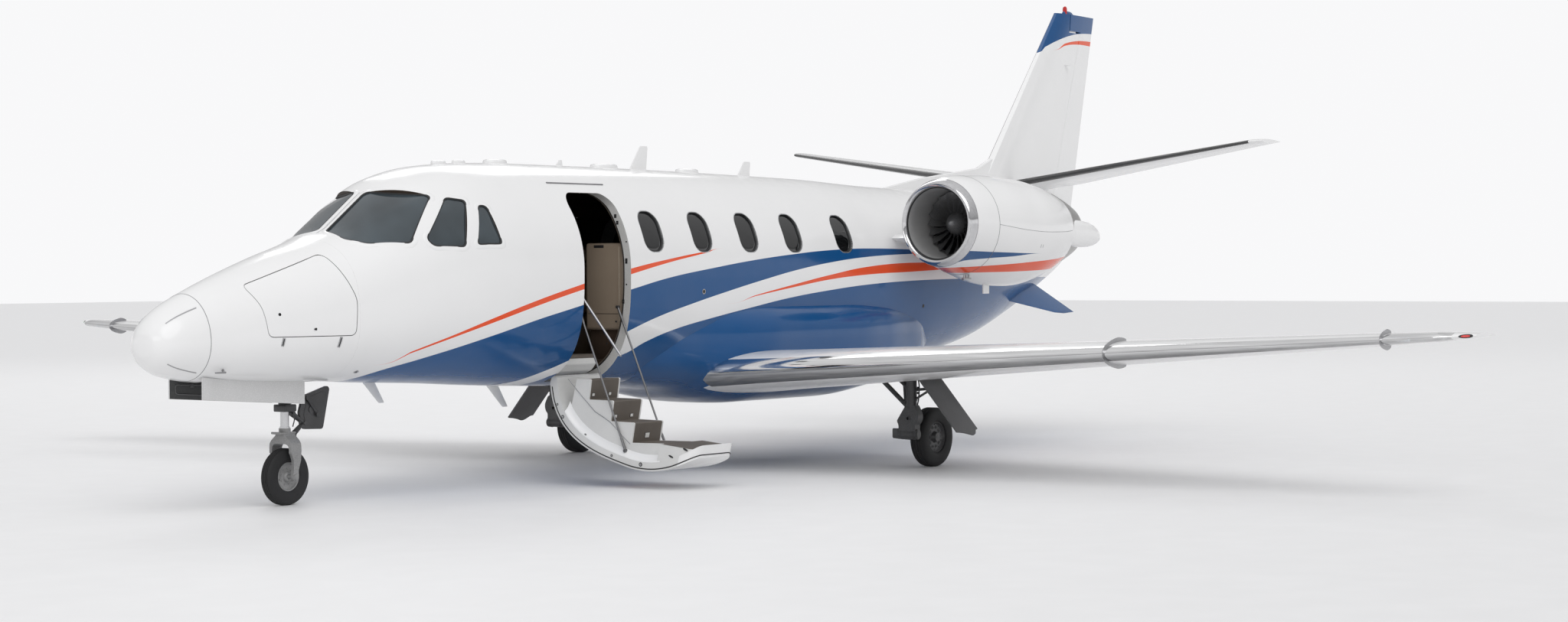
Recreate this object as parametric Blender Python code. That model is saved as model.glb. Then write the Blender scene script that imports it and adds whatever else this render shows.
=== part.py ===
"""A twin-engined business jet, parked on its gear with the airstair down.

Metres. +X is forward, +Y is port, +Z is up. The origin is on the ground, under the middle of the
aircraft's box. Each sub-part is one closed solid, and pieces that meet keep a gap of 0.3 mm.
"""

import math

import bmesh
import bpy
from mathutils import Matrix, Vector

# Driving dimensions of the whole aircraft
LENGTH = 15.68
SPAN = 17.17
HEIGHT = 5.23
NOSE_X = LENGTH / 2
SEAT_GAP = 0.0003
MOVING_GAP = 0.006

# Fuselage: joints between its sections, and its wall
RADOME_X = 7.405
CABIN_FRONT_X = 6.02
CABIN_BACK_X = -2.35
WALL = 0.08
RING_POINTS = 36

# Fuselage stations: x, half width, top, bottom, height of the widest point, lower and upper roundness
STATIONS = [
    (7.84, 0.000, 1.405, 1.405, 1.405, 2.0, 2.0),
    (7.82, 0.115, 1.498, 1.298, 1.400, 2.0, 2.0),
    (7.74, 0.222, 1.612, 1.190, 1.400, 2.0, 2.0),
    (7.60, 0.287, 1.716, 1.129, 1.405, 2.0, 2.0),
    (7.36, 0.349, 1.829, 1.088, 1.420, 2.1, 2.0),
    (7.00, 0.432, 1.966, 1.062, 1.450, 2.2, 2.1),
    (6.50, 0.545, 2.128, 1.050, 1.510, 2.3, 2.25),
    (6.02, 0.655, 2.263, 1.045, 1.590, 2.4, 2.42),
    (5.80, 0.705, 2.345, 1.035, 1.640, 2.4, 2.55),
    (5.55, 0.760, 2.522, 1.020, 1.700, 2.5, 2.42),
    (5.30, 0.810, 2.697, 1.008, 1.760, 2.5, 2.32),
    (5.00, 0.860, 2.837, 0.995, 1.830, 2.6, 2.36),
    (4.60, 0.910, 2.930, 0.975, 1.910, 2.7, 2.30),
    (4.10, 0.945, 2.970, 0.942, 1.970, 2.8, 2.12),
    (3.50, 0.960, 2.985, 0.912, 2.000, 2.9, 2.0),
    (2.60, 0.960, 2.985, 0.890, 2.000, 2.9, 2.0),
    (-1.00, 0.960, 2.950, 0.890, 2.000, 2.9, 2.0),
    (-2.35, 0.945, 2.900, 0.905, 2.000, 2.7, 2.0),
    (-3.20, 0.900, 2.880, 0.985, 2.020, 2.4, 2.0),
    (-4.20, 0.790, 2.850, 1.130, 2.070, 2.2, 2.0),
    (-5.20, 0.620, 2.800, 1.410, 2.150, 2.1, 2.0),
    (-6.00, 0.440, 2.740, 1.690, 2.240, 2.0, 2.0),
    (-6.70, 0.260, 2.660, 1.960, 2.320, 2.0, 2.0),
    (-7.20, 0.090, 2.560, 2.230, 2.400, 2.0, 2.0),
]

# Windows of the cabin: centres along x, size and height
WINDOWS_LEFT = [2.35, 1.585, 0.82, 0.055, -0.863]
WINDOWS_RIGHT = [3.115, 2.35, 1.585, 0.82, 0.055, -0.863]
WINDOW_WIDTH = 0.31
WINDOW_HEIGHT = 0.40
WINDOW_Z = 2.35
GLASS = 0.010
GLASS_DEPTH = 0.030

# Airstair door, measured where it is shut, and how far it opens
DOOR_FRONT_X = 3.42
DOOR_BACK_X = 2.75
DOOR_BOTTOM_Z = 0.96
DOOR_TOP_Z = 2.70
DOOR_CORNER = 0.14
DOOR_HINGE = (0.500, 0.925)
DOOR_OPEN = math.radians(105)
DOOR_INNER_Y = 0.40

# Wing stations: y, leading edge x, trailing edge x, thickness share; and the height of its leading edge
WING_STATIONS = [
    (0.55, 1.500, -1.671, 0.140),
    (1.30, 1.370, -1.467, 0.138),
    (7.85, 1.216, 0.310, 0.120),
    (8.30, 1.190, 0.432, 0.110),
    (SPAN / 2, 0.950, 0.500, 0.080),
]
WING_Z = 0.922
DIHEDRAL = 0.056
INCIDENCE = 0.035
FLAP_Y = (1.34, 4.95)
AILERON_Y = (5.15, 7.80)
FLAP_HINGE = 0.76
AILERON_HINGE = 0.75
CONTROL_GAP = 0.008
SLAT_SHARE = 0.055

# Tailplane stations: y, leading edge x, trailing edge x; fin edge lines: x at z = 0 and slope
TAIL_STATIONS = [
    (0.03, -5.554, -7.037),
    (3.17, -5.770, -6.430),
    (3.275, -5.930, -6.410),
]
TAIL_Z = (2.973, 0.141)
TAIL_HINGE = (-6.564, 0.1148)
ELEVATOR_Y = (0.25, 3.10)
FIN_LEADING = (-2.509, -0.849)
FIN_TRAILING = (-6.573, -0.247)
RUDDER_HINGE = (-5.688, -0.36)
FIN_TOP_Z = 5.13
RUDDER_Z = (2.70, 4.935)

# Engines: centre of the inlet, and sections of the cowl as x, centre z, half height, half width
ENGINE_Y = 1.58
INLET_Z = 2.46
COWL = [
    (-1.600, 2.460, 0.412, 0.412),
    (-1.610, 2.460, 0.428, 0.428),
    (-1.640, 2.461, 0.445, 0.445),
    (-1.700, 2.465, 0.462, 0.462),
    (-1.800, 2.470, 0.485, 0.483),
    (-2.100, 2.440, 0.535, 0.530),
    (-2.600, 2.390, 0.590, 0.570),
    (-3.000, 2.375, 0.585, 0.570),
    (-3.400, 2.380, 0.530, 0.530),
    (-3.750, 2.400, 0.430, 0.450),
]
DUCT = [
    (-1.540, 2.460, 0.440, 0.440),
    (-1.600, 2.460, 0.402, 0.402),
    (-1.615, 2.460, 0.388, 0.388),
    (-1.650, 2.460, 0.372, 0.372),
    (-1.720, 2.460, 0.362, 0.362),
    (-2.120, 2.460, 0.360, 0.360),
    (-3.800, 2.410, 0.340, 0.340),
]
COWL_SPACE = [(-2.300, 2.420, 0.520, 0.510), (-3.000, 2.375, 0.555, 0.540), (-3.800, 2.402, 0.385, 0.405)]
FAN_X = (-1.985, -2.075)
FAN_RADIUS = 0.348
FAN_BLADES = 18

# Landing gear
MAIN_GEAR_X = -0.41
MAIN_GEAR_Y = 2.275
MAIN_LEG_X = -0.02
NOSE_GEAR_X = 6.26
MAIN_TYRE = (0.298, 0.155, 0.170)
NOSE_TYRE = (0.2445, 0.125, 0.115)
WHEEL_POINTS = 28

WHITE = (0.90, 0.91, 0.92)
BLUE = (0.005, 0.083, 0.262)
CHROME = (0.80, 0.80, 0.80)
RUBBER = (0.015, 0.015, 0.016)
DARK_GREY = (0.07, 0.07, 0.07)
LIGHT_GREY = (0.45, 0.45, 0.45)
GLASS_TINT = (0.10, 0.12, 0.13)
BEIGE = (0.36, 0.29, 0.22)
BROWN = (0.09, 0.055, 0.035)


def clear_scene():
    for obj in list(bpy.data.objects):
        bpy.data.objects.remove(obj, do_unlink=True)


def paint(name, colour, roughness=0.3, metallic=0.0):
    material = bpy.data.materials.new(name)
    material.use_nodes = True
    shader = material.node_tree.nodes["Principled BSDF"]
    shader.inputs["Base Color"].default_value = (*colour, 1.0)
    shader.inputs["Roughness"].default_value = roughness
    shader.inputs["Metallic"].default_value = metallic
    return material


def put(name, bm, material):
    """Make the object of a finished bmesh, with its faces pointing out."""
    bmesh.ops.recalc_face_normals(bm, faces=bm.faces[:])
    mesh = bpy.data.meshes.new(name)
    bm.to_mesh(mesh)
    bm.free()
    obj = bpy.data.objects.new(name, mesh)
    bpy.context.scene.collection.objects.link(obj)
    if material:
        obj.data.materials.append(material)
    mesh.shade_smooth()
    mesh.set_sharp_from_angle(angle=math.radians(35))
    return obj


def flat(a, b, c, d):
    """Whether four points lie in one plane."""
    normal = (b - a).cross(c - a)
    return normal.length < 1e-12 or abs(normal.normalized().dot(d - a)) < 1e-6


def add_loft(bm, rings, close=False):
    """Skin a list of rings of equally many points, with flat ends or joined end to end."""
    made = [[bm.verts.new(p) for p in ring] for ring in rings]
    pairs = list(zip(made, made[1:]))
    if close:
        pairs.append((made[-1], made[0]))
    for first, second in pairs:
        count = len(first)
        for i in range(count):
            j = (i + 1) % count
            corners = (first[i], first[j], second[j], second[i])
            if flat(*[v.co for v in corners]):
                bm.faces.new(corners)
            elif sum(v.co.y for v in corners) > 0:
                bm.faces.new(corners[:3])
                bm.faces.new((corners[0], corners[2], corners[3]))
            else:
                bm.faces.new(corners[1:])
                bm.faces.new((corners[0], corners[1], corners[3]))
    if not close:
        bm.faces.new(made[0])
        bm.faces.new(made[-1])
    return made


def loft(name, rings, material=None, close=False):
    bm = bmesh.new()
    add_loft(bm, rings, close)
    return put(name, bm, material)


def prism(name, outline, low, high, axis, material=None):
    """Extrude a flat outline of the two other axes, in X, Y, Z order, from low to high along an axis."""
    def at(a, b, c):
        return {"x": (c, a, b), "y": (a, c, b), "z": (a, b, c)}[axis]

    return loft(name, [[at(a, b, low) for a, b in outline], [at(a, b, high) for a, b in outline]], material)


def box(name, low, high, material=None):
    outline = [(low[0], low[1]), (high[0], low[1]), (high[0], high[1]), (low[0], high[1])]
    return prism(name, outline, low[2], high[2], "z", material)


def circle(centre, radius, points, start=0.0, end=2 * math.pi):
    closed = abs(end - start - 2 * math.pi) < 1e-6
    steps = points if closed else points - 1
    turns = [start + (end - start) * i / steps for i in range(points)]
    return [(centre[0] + radius * math.cos(t), centre[1] + radius * math.sin(t)) for t in turns]


def tube(name, start, end, radius, material=None, points=14, end_radius=None):
    """A round bar between two points."""
    start, end = Vector(start), Vector(end)
    along = (end - start).normalized()
    side = along.orthogonal().normalized()
    other = along.cross(side)
    rings = []
    for centre, r in ((start, radius), (end, radius if end_radius is None else end_radius)):
        turns = [2 * math.pi * i / points for i in range(points)]
        rings.append([centre + side * r * math.cos(t) + other * r * math.sin(t) for t in turns])
    return loft(name, rings, material)


def turned(name, profile, centre, material=None, points=36, axis="y"):
    """Turn a closed profile of (distance along the axis, radius) pairs about an axis through centre."""
    rings = []
    for i in range(points):
        t = 2 * math.pi * (i + 0.5) / points
        c, s = math.cos(t), math.sin(t)
        ring = []
        for along, r in profile:
            place = {"x": (along, r * c, r * s), "y": (r * c, along, r * s), "z": (r * c, r * s, along)}[axis]
            ring.append(Vector(centre) + Vector(place))
        rings.append(ring)
    return loft(name, rings, material, close=True)


def boolean(obj, other, operation):
    """Apply a Boolean with another object, which is then removed."""
    modifier = obj.modifiers.new(operation.lower(), "BOOLEAN")
    modifier.operation = operation
    modifier.solver = "EXACT"
    modifier.object = other
    graph = bpy.context.evaluated_depsgraph_get()
    mesh = bpy.data.meshes.new_from_object(obj.evaluated_get(graph))
    obj.modifiers.clear()
    old = obj.data
    obj.data = mesh
    bpy.data.meshes.remove(old)
    obj.data.name = obj.name
    return obj


def cut(obj, *cutters):
    for cutter in cutters:
        boolean(obj, cutter, "DIFFERENCE")
        bpy.data.objects.remove(cutter, do_unlink=True)
    return obj


def join(obj, *others):
    for other in others:
        boolean(obj, other, "UNION")
        bpy.data.objects.remove(other, do_unlink=True)
    return obj


def common(obj, other):
    boolean(obj, other, "INTERSECT")
    bpy.data.objects.remove(other, do_unlink=True)
    return obj


def mirrored(obj, name):
    """The same piece on the other side."""
    bm = bmesh.new()
    bm.from_mesh(obj.data)
    bmesh.ops.transform(bm, matrix=Matrix.Diagonal((1, -1, 1, 1)), verts=bm.verts[:])
    return put(name, bm, obj.data.materials[0] if obj.data.materials else None)


def placed(obj, matrix):
    obj.data.transform(matrix)
    return obj


def smooth_table(rows, x):
    """Read a table of rows at x by a curve through its values, with no overshoot between them."""
    rows = sorted(rows)
    if x <= rows[0][0]:
        return list(rows[0][1:])
    if x >= rows[-1][0]:
        return list(rows[-1][1:])
    index = max(i for i, row in enumerate(rows[:-1]) if row[0] <= x)
    low, high = rows[index], rows[index + 1]
    width = high[0] - low[0]
    t = (x - low[0]) / width
    values = []
    for k in range(1, len(low)):
        rise = (high[k] - low[k]) / width

        def slope(i):
            if i in (0, len(rows) - 1):
                return rise
            before = (rows[i][k] - rows[i - 1][k]) / (rows[i][0] - rows[i - 1][0])
            after = (rows[i + 1][k] - rows[i][k]) / (rows[i + 1][0] - rows[i][0])
            return 0.0 if before * after <= 0 else 2 * before * after / (before + after)

        m0, m1 = slope(index) * width, slope(index + 1) * width
        values.append((2 * t**3 - 3 * t**2 + 1) * low[k] + (t**3 - 2 * t**2 + t) * m0
                      + (3 * t**2 - 2 * t**3) * high[k] + (t**3 - t**2) * m1)
    return values


def hull_section(x, inset=0.0, points=RING_POINTS):
    """One ring of the fuselage's skin, moved in by inset."""
    half, top, bottom, widest, low_n, high_n = smooth_table(STATIONS, x)
    half = max(half - inset, 0.004)
    top = max(top - inset, widest + 0.004)
    bottom = min(bottom + inset, widest - 0.004)
    ring = []
    for i in range(points):
        t = 2 * math.pi * (i + 0.5) / points
        c, s = math.cos(t), math.sin(t)
        n = high_n if s >= 0 else low_n
        reach = top - widest if s >= 0 else widest - bottom
        y = half * math.copysign(abs(c) ** (2 / n), c)
        z = widest + reach * math.copysign(abs(s) ** (2 / n), s)
        ring.append((x, y, z))
    return ring


def hull(name, low, high, inset=0.0, material=None):
    """A solid length of the fuselage between two x values, with a ring at each station between."""
    inner = sorted(row[0] for row in STATIONS if low + 0.05 < row[0] < high - 0.05)
    return loft(name, [hull_section(x, inset) for x in [low, *inner, high]], material)


def hull_side(x, z):
    """Half width of the skin at a station and height."""
    half, top, bottom, widest, low_n, high_n = smooth_table(STATIONS, x)
    n = high_n if z >= widest else low_n
    reach = top - widest if z >= widest else widest - bottom
    share = min(abs(z - widest) / reach, 1.0)
    return half * (1 - share**n) ** (1 / n)


def shell(name, low, high, wall, material, front_wall=0.0, back_wall=0.0, grow=0.0):
    """A hollow length of the fuselage. A wall closes an end where its thickness is given."""
    outer = hull(name, low, high, -grow, material)
    reach = 0.2
    inner = hull("cavity", low + back_wall if back_wall else low - reach,
                 high - front_wall if front_wall else high + reach, wall + grow)
    return cut(outer, inner)


def between(rows, at):
    """Read a table of rows in order by straight lines between them."""
    rows = sorted(rows)
    for low, high in zip(rows, rows[1:]):
        if at <= high[0] or high is rows[-1]:
            t = (at - low[0]) / (high[0] - low[0])
            return [a + (b - a) * t for a, b in zip(low[1:], high[1:])]


def airfoil(lead, trail, thickness, camber=0.0, points=10):
    """Outline of a wing section as (along, up) pairs, from the trailing edge over the top and back below."""
    chord = trail[0] - lead[0]
    size = abs(chord)
    outline = []
    for side in (1, -1):
        for k in range(points + 1):
            share = 0.5 + 0.5 * math.cos(math.pi * k / points)
            if side < 0:
                share = 0.5 - 0.5 * math.cos(math.pi * k / points)
                if k == 0:
                    continue
            half = 5 * thickness * size * (0.2969 * math.sqrt(share) - 0.126 * share - 0.3516 * share**2
                                           + 0.2843 * share**3 - 0.1036 * share**4) + 0.002 * share
            middle = lead[1] + (trail[1] - lead[1]) * share + 4 * camber * size * share * (1 - share)
            outline.append((lead[0] + chord * share, middle + side * half))
    return outline


def hinge_block(name, start, end, radii, grow=0.0, end_grow=0.0, reach=1.2, height=0.4, up=(0, 0, 1)):
    """The space behind a hinge line: all that is aft of it, and a round nose about it."""
    start, end = Vector(start), Vector(end)
    along = (end - start).normalized()
    aft = Vector((-1, 0, 0))
    aft = (aft - along * aft.dot(along)).normalized()
    lift = along.cross(aft)
    if lift.dot(Vector(up)) < 0:
        lift.negate()
    rings = []
    for point, r in ((start - along * end_grow, radii[0] + grow), (end + along * end_grow, radii[1] + grow)):
        nose = [(-r * math.cos(t), r * math.sin(t)) for t in (math.radians(90 - 15 * k) for k in range(13))]
        outline = [(reach, height), (0.0, height), *nose, (0.0, -height), (reach, -height)]
        rings.append([point + aft * u + lift * v for u, v in outline])
    return loft(name, rings)


def ellipse_rings(table, y, grow=0.0, points=28):
    rings = []
    for x, z, half_height, half_width in table:
        turns = [2 * math.pi * (i + 0.5) / points for i in range(points)]
        rings.append([(x, y + (half_width + grow) * math.cos(t), z + (half_height + grow) * math.sin(t))
                      for t in turns])
    return rings


def rounded(width, height, corner, points=4):
    """A rectangle with round corners about the origin."""
    outline = []
    for cx, cy, start in ((1, 1, 0), (-1, 1, 90), (-1, -1, 180), (1, -1, 270)):
        centre = (cx * (width / 2 - corner), cy * (height / 2 - corner))
        outline += circle(centre, corner, points, math.radians(start), math.radians(start + 90))
    return outline


def arc_at(before, corner, after, reach, points=2):
    """Points of a soft corner between two edges."""
    before, corner, after = Vector(before), Vector(corner), Vector(after)
    first = corner + (before - corner).normalized() * min(reach, (before - corner).length * 0.45)
    last = corner + (after - corner).normalized() * min(reach, (after - corner).length * 0.45)
    steps = [i / points for i in range(points + 1)]
    return [first * (1 - t) ** 2 + corner * 2 * t * (1 - t) + last * t**2 for t in steps]


def round_corners_3d(ring, reach):
    count = len(ring)
    return [p for i in range(count) for p in arc_at(ring[i - 1], ring[i], ring[(i + 1) % count], reach)]


def round_corners(outline, reach):
    ring = [(a, b, 0.0) for a, b in outline]
    return [(p.x, p.y) for p in round_corners_3d(ring, reach)]


def grown(outline, margin):
    """Move each side of a convex outline out by a margin."""
    count = len(outline)
    area = sum(outline[i - 1][0] * outline[i][1] - outline[i][0] * outline[i - 1][1] for i in range(count))
    turn = 1 if area > 0 else -1
    result = []
    for i in range(count):
        before, here, after = (Vector(outline[(i + k) % count]) for k in (-1, 0, 1))
        normals = [Vector((d.y, -d.x)).normalized() * turn for d in (here - before, after - here)]
        middle = (normals[0] + normals[1]).normalized()
        result.append(tuple(here + middle * (margin / max(middle.dot(normals[0]), 0.3))))
    return result


def moved(outline, a, b):
    return [(p + a, q + b) for p, q in outline]


clear_scene()
white = paint("white_paint", WHITE, 0.2)
blue = paint("blue_paint", BLUE, 0.2)
chrome = paint("polished_metal", CHROME, 0.12, 1.0)
rubber = paint("rubber", RUBBER, 0.7)
dark_grey = paint("dark_grey_paint", DARK_GREY, 0.5)
light_grey = paint("light_grey_paint", LIGHT_GREY, 0.4)
glass = paint("tinted_glass", GLASS_TINT, 0.05)
beige = paint("beige_trim", BEIGE, 0.6)
brown = paint("brown_leather", BROWN, 0.6)
steel = paint("steel", (0.35, 0.35, 0.36), 0.35, 0.9)
black = paint("black", (0.02, 0.02, 0.02), 0.5)


# Nose: radome, and the section behind it with the gear bay and the baggage doors

BAY_HALF = 0.17
BAY_X = (5.98, 7.33)
BAY_ROOF_Z = 1.36
BAGGAGE_OUTLINE = [(6.06, 1.449), (6.88, 1.449), (6.915, 1.70), (6.995, 1.87), (6.18, 2.135), (6.045, 1.75)]
BAGGAGE_HINGE_DROP = 0.11
NOSE_WALL = 0.03
BAGGAGE_THICK = 0.022


def nose():
    loft("radome", [hull_section(x) for x in (RADOME_X + SEAT_GAP, 7.48, 7.60, 7.68, 7.74, 7.79, 7.82, 7.838)], white)
    body = shell("nose_section", CABIN_FRONT_X + SEAT_GAP, RADOME_X, NOSE_WALL, white, 0.03, 0.05)
    lining = box("lining", (BAY_X[0] + 0.05, -BAY_HALF - 0.02, 0.9), (BAY_X[1] - 0.02, BAY_HALF + 0.02, BAY_ROOF_Z + 0.02))
    join(body, common(lining, hull("limit", 5.9, RADOME_X, 0.006)))
    cut(body, box("bay", (BAY_X[0] + 0.08, -BAY_HALF, 0.8), (BAY_X[1] - 0.05, BAY_HALF, BAY_ROOF_Z)))
    for side, name in ((1, "left"), (-1, "right")):
        door = shell("baggage_door_" + name, 5.90, 7.20, BAGGAGE_THICK, white)
        outline = round_corners(BAGGAGE_OUTLINE, 0.05)
        common(door, prism("outline", outline, 0.0, side * 1.2, "y"))
        opening = prism("opening", grown(outline, MOVING_GAP), 0.0, side * 1.2, "y")
        cut(opening, hull("land", 5.90, 7.20, BAGGAGE_THICK + SEAT_GAP))
        relief = prism("relief", grown(outline, MOVING_GAP + 0.001), 0.0, side * 1.21, "y")
        back, front = BAGGAGE_OUTLINE[-2], BAGGAGE_OUTLINE[-3]
        band = [(back[0] - 0.2, back[1] + 0.2), (front[0] + 0.2, front[1] + 0.2),
                (front[0] + 0.2, front[1] - BAGGAGE_HINGE_DROP), (back[0] - 0.2, back[1] - BAGGAGE_HINGE_DROP)]
        common(relief, prism("band", band, -0.1 * side, side * 1.3, "y"))
        cut(body, opening, relief, prism("inner", grown(outline, -0.022), 0.0, side * 1.2, "y"))


# Cabin: the shell with its openings, the glass inside it, the floor and what shows through

PANES = {
    "windshield": [(5.336, 0.055, 2.675), (5.042, 0.565, 2.640), (5.431, 0.692, 2.223),
                   (5.771, 0.508, 2.221), (5.883, 0.337, 2.261), (5.821, 0.055, 2.335)],
    "side_window": [(4.926, 0.621, 2.632), (4.740, 0.695, 2.607), (4.902, 0.844, 2.194),
                    (5.229, 0.767, 2.201), (5.280, 0.726, 2.267)],
    "rear_window": [(4.633, 0.743, 2.567), (4.539, 0.758, 2.562), (4.477, 0.896, 2.222), (4.772, 0.862, 2.215)],
}
COCKPIT_GLASS_X = (4.38, 5.94)
COCKPIT_GLASS_Z = (2.15, 2.735)
FLOOR_Z = 1.14
FLOOR_THICK = 0.04
FLOOR_X = (-2.2, 5.30)


def pane_cutter(points, side):
    """A wedge through the wall at a pane, square to the pane."""
    ring = [Vector(p) for p in points]
    middle = sum(ring, Vector()) / len(ring)
    normal = Vector()
    for first, second in zip(ring, ring[1:] + ring[:1]):
        normal += first.cross(second)
    normal.normalize()
    if normal.dot(middle - Vector((middle.x - 0.5, 0, 1.8))) < 0:
        normal.negate()
    rings = []
    for depth in (0.1, -0.2):
        rings.append([(p.x + normal.x * depth, side * (p.y + normal.y * depth), p.z + normal.z * depth)
                      for p in round_corners_3d(ring, 0.045)])
    return loft("pane", rings)


def window_cutter(x, side):
    outline = moved(rounded(WINDOW_WIDTH, WINDOW_HEIGHT, 0.13, 3), x, WINDOW_Z)
    return prism("window", outline, side * 0.5, side * 1.2, "y")


def door_space(name, grow):
    """The space that the shut door fills, through the wall: square below, with round corners at its top."""
    width = DOOR_FRONT_X - DOOR_BACK_X + 2 * grow
    height = DOOR_TOP_Z - 0.5 + grow
    middle = ((DOOR_FRONT_X + DOOR_BACK_X) / 2, 0.5 + height / 2)
    outline = moved(rounded(width, height, DOOR_CORNER + grow, 5), *middle)
    space = prism(name, outline, DOOR_INNER_Y - 0.1, 1.25, "y")
    inner, sill, edge = DOOR_INNER_Y - grow, DOOR_BOTTOM_Z - grow, DOOR_HINGE[0] + 0.002 - grow
    step = [(inner, 3.0), (inner, sill), (edge, sill), (edge, 0.72), (1.2, 0.72), (1.2, 3.0)]
    return common(space, prism("step", step, DOOR_BACK_X - 0.2, DOOR_FRONT_X + 0.2, "x"))


def glass_layer(name, low, high, grow, box_low, box_high, material=None):
    """A sheet of glass that follows the skin, cut to a box."""
    sheet = hull(name, low, high, GLASS_DEPTH - grow, material)
    cut(sheet, hull("inside", low - 0.1, high + 0.1, GLASS_DEPTH + GLASS + grow))
    return common(sheet, box("limits", [v - grow for v in box_low], [v + grow for v in box_high]))


def cabin_glass(name, side, centres, grow, material=None):
    low_x, high_x = min(centres) - 0.19, max(centres) + 0.19
    ends = sorted((side * 0.6, side * 1.1))
    return glass_layer(name, low_x - 0.1, high_x + 0.1, grow, (low_x, ends[0], WINDOW_Z - 0.235),
                       (high_x, ends[1], WINDOW_Z + 0.235), material)


def cockpit_glass(name, grow, material=None):
    return glass_layer(name, COCKPIT_GLASS_X[0] - 0.1, COCKPIT_GLASS_X[1] + 0.1, grow,
                       (COCKPIT_GLASS_X[0], -1.2, COCKPIT_GLASS_Z[0]),
                       (COCKPIT_GLASS_X[1], 1.2, COCKPIT_GLASS_Z[1]), material)


def cabin():
    body = shell("cabin_shell", CABIN_BACK_X, CABIN_FRONT_X, WALL, white, 0.04, 0.04)
    cut(body, cockpit_glass("slot", SEAT_GAP))
    cut(body, cabin_glass("slot", 1, WINDOWS_LEFT, SEAT_GAP), cabin_glass("slot", -1, WINDOWS_RIGHT, SEAT_GAP))
    for side, centres in ((1, WINDOWS_LEFT), (-1, WINDOWS_RIGHT)):
        for x in centres:
            cut(body, window_cutter(x, side))
        for points in PANES.values():
            cut(body, pane_cutter(points, side))
    cut(body, door_space("doorway", MOVING_GAP))
    cockpit_glass("cockpit_glass", 0.0, glass)
    cabin_glass("cabin_glass_left", 1, WINDOWS_LEFT, 0.0, glass)
    cabin_glass("cabin_glass_right", -1, WINDOWS_RIGHT, 0.0, glass)


def fitted(obj):
    """Trim an inside piece to the inner face of the wall."""
    return common(obj, hull("inner_wall", CABIN_BACK_X + 0.04, CABIN_FRONT_X - 0.04, WALL + SEAT_GAP))


def interior():
    floor = box("cabin_floor", (FLOOR_X[0], -0.9, FLOOR_Z - FLOOR_THICK), (FLOOR_X[1], 0.9, FLOOR_Z), beige)
    fitted(floor)
    cut(floor, box("well", (DOOR_BACK_X - 0.05, 0.34, 1.0), (DOOR_FRONT_X + 0.05, 1.0, 1.2)))
    top = FLOOR_Z + SEAT_GAP
    panel = box("instrument_panel", (5.28, -0.9, 1.62), (5.50, 0.9, 2.16), black)
    join(panel, box("pedestal", (4.95, -0.11, top), (5.38, 0.11, 1.80)))
    fitted(panel)
    seats = box("cockpit_seats", (4.30, -0.60, top), (4.80, 0.60, top + 0.10), brown)
    for y in (-0.36, 0.36):
        join(seats, box("base", (4.38, y - 0.16, top + 0.05), (4.72, y + 0.16, 1.52)),
             box("cushion", (4.32, y - 0.24, 1.48), (4.84, y + 0.24, 1.62)),
             box("back", (4.26, y - 0.24, 1.55), (4.40, y + 0.24, 2.28)))
    fitted(seats)
    ledge = box("cabin_seats_left", (-1.9, 0.60, top), (2.05, 0.95, 1.72), beige)
    for x, back in ((1.55, -1), (0.40, 1), (-0.55, 1), (-1.45, 1)):
        join(ledge, box("cushion", (x - 0.27, 0.22, top), (x + 0.27, 0.64, 1.58)),
             box("back", (x - back * 0.27 - 0.07, 0.22, top + 0.2), (x - back * 0.27 + 0.07, 0.64, 2.22)))
    fitted(ledge)
    mirrored(ledge, "cabin_seats_right")
    cabinet = box("galley_cabinet", (2.22, 0.10, top), (2.66, 0.9, 2.36), beige)
    fitted(cabinet)


# Airstair: the door with its steps, modelled shut and then swung down, and its two cables

STEP_X = (2.80, 3.37)
STEP_OUTLINE = [(0.366, 1.215), (0.321, 1.371), (0.511, 1.392), (0.440, 1.671), (0.631, 1.686), (0.565, 1.956),
                (0.752, 1.970), (0.654, 2.322), (0.700, 2.400)]
CABLES = {
    "airstair_cable_front": [(3.395, 0.881, 1.595), (3.385, 1.389, 0.20), (3.395, 3.4257)],
    "airstair_cable_back": [(2.775, 0.824, 1.640), (2.790, 1.400, 0.20), (2.7443, 2.775)],
}


def swing():
    y, z = DOOR_HINGE
    return (Matrix.Translation((0, y, z)) @ Matrix.Rotation(-DOOR_OPEN, 4, "X")
            @ Matrix.Translation((0, -y, -z)))


def airstair():
    door = shell("airstair", DOOR_BACK_X - 0.3, DOOR_FRONT_X + 0.3, WALL, white)
    common(door, door_space("outline", 0.0))
    heights = [2.42, 2.3, 2.1, 1.9, 1.7, 1.5, 1.35, 1.2]
    outer = [(hull_side(3.1, z) - 0.04, z) for z in heights]
    join(door, prism("steps", [*STEP_OUTLINE, *outer, (0.64, 1.215)], *STEP_X, "x"))
    placed(door, swing())
    for name, (top, bottom, plate) in CABLES.items():
        cable = tube(name, top, bottom, 0.007, steel, 8)
        join(cable, box("fitting", (min(plate), top[1] - 0.02, top[2] - 0.02), (max(plate), top[1] + 0.02, top[2] + 0.02)))
        cutter = shell("door_wall", DOOR_BACK_X - 0.3, DOOR_FRONT_X + 0.3, WALL, None, grow=SEAT_GAP)
        cut(cable, placed(cutter, swing()))
        keep = box("keep", (2.5, 0.5, 0.235), (3.6, 1.6, 2.0))
        common(cable, keep)


# Wing, belly fairing and the moving surfaces

FAIRING = [
    (2.35, 0.70, 0.95), (1.90, 0.86, 0.865), (1.50, 0.93, 0.80), (1.00, 1.04, 0.69), (0.50, 1.10, 0.63),
    (-0.93, 1.10, 0.63), (-1.55, 1.04, 0.68), (-2.03, 0.95, 0.76), (-2.45, 0.86, 0.87), (-2.80, 0.70, 1.02),
]
FAIRING_MIDDLE = 1.25
FAIRING_TOP = 1.75


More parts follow.
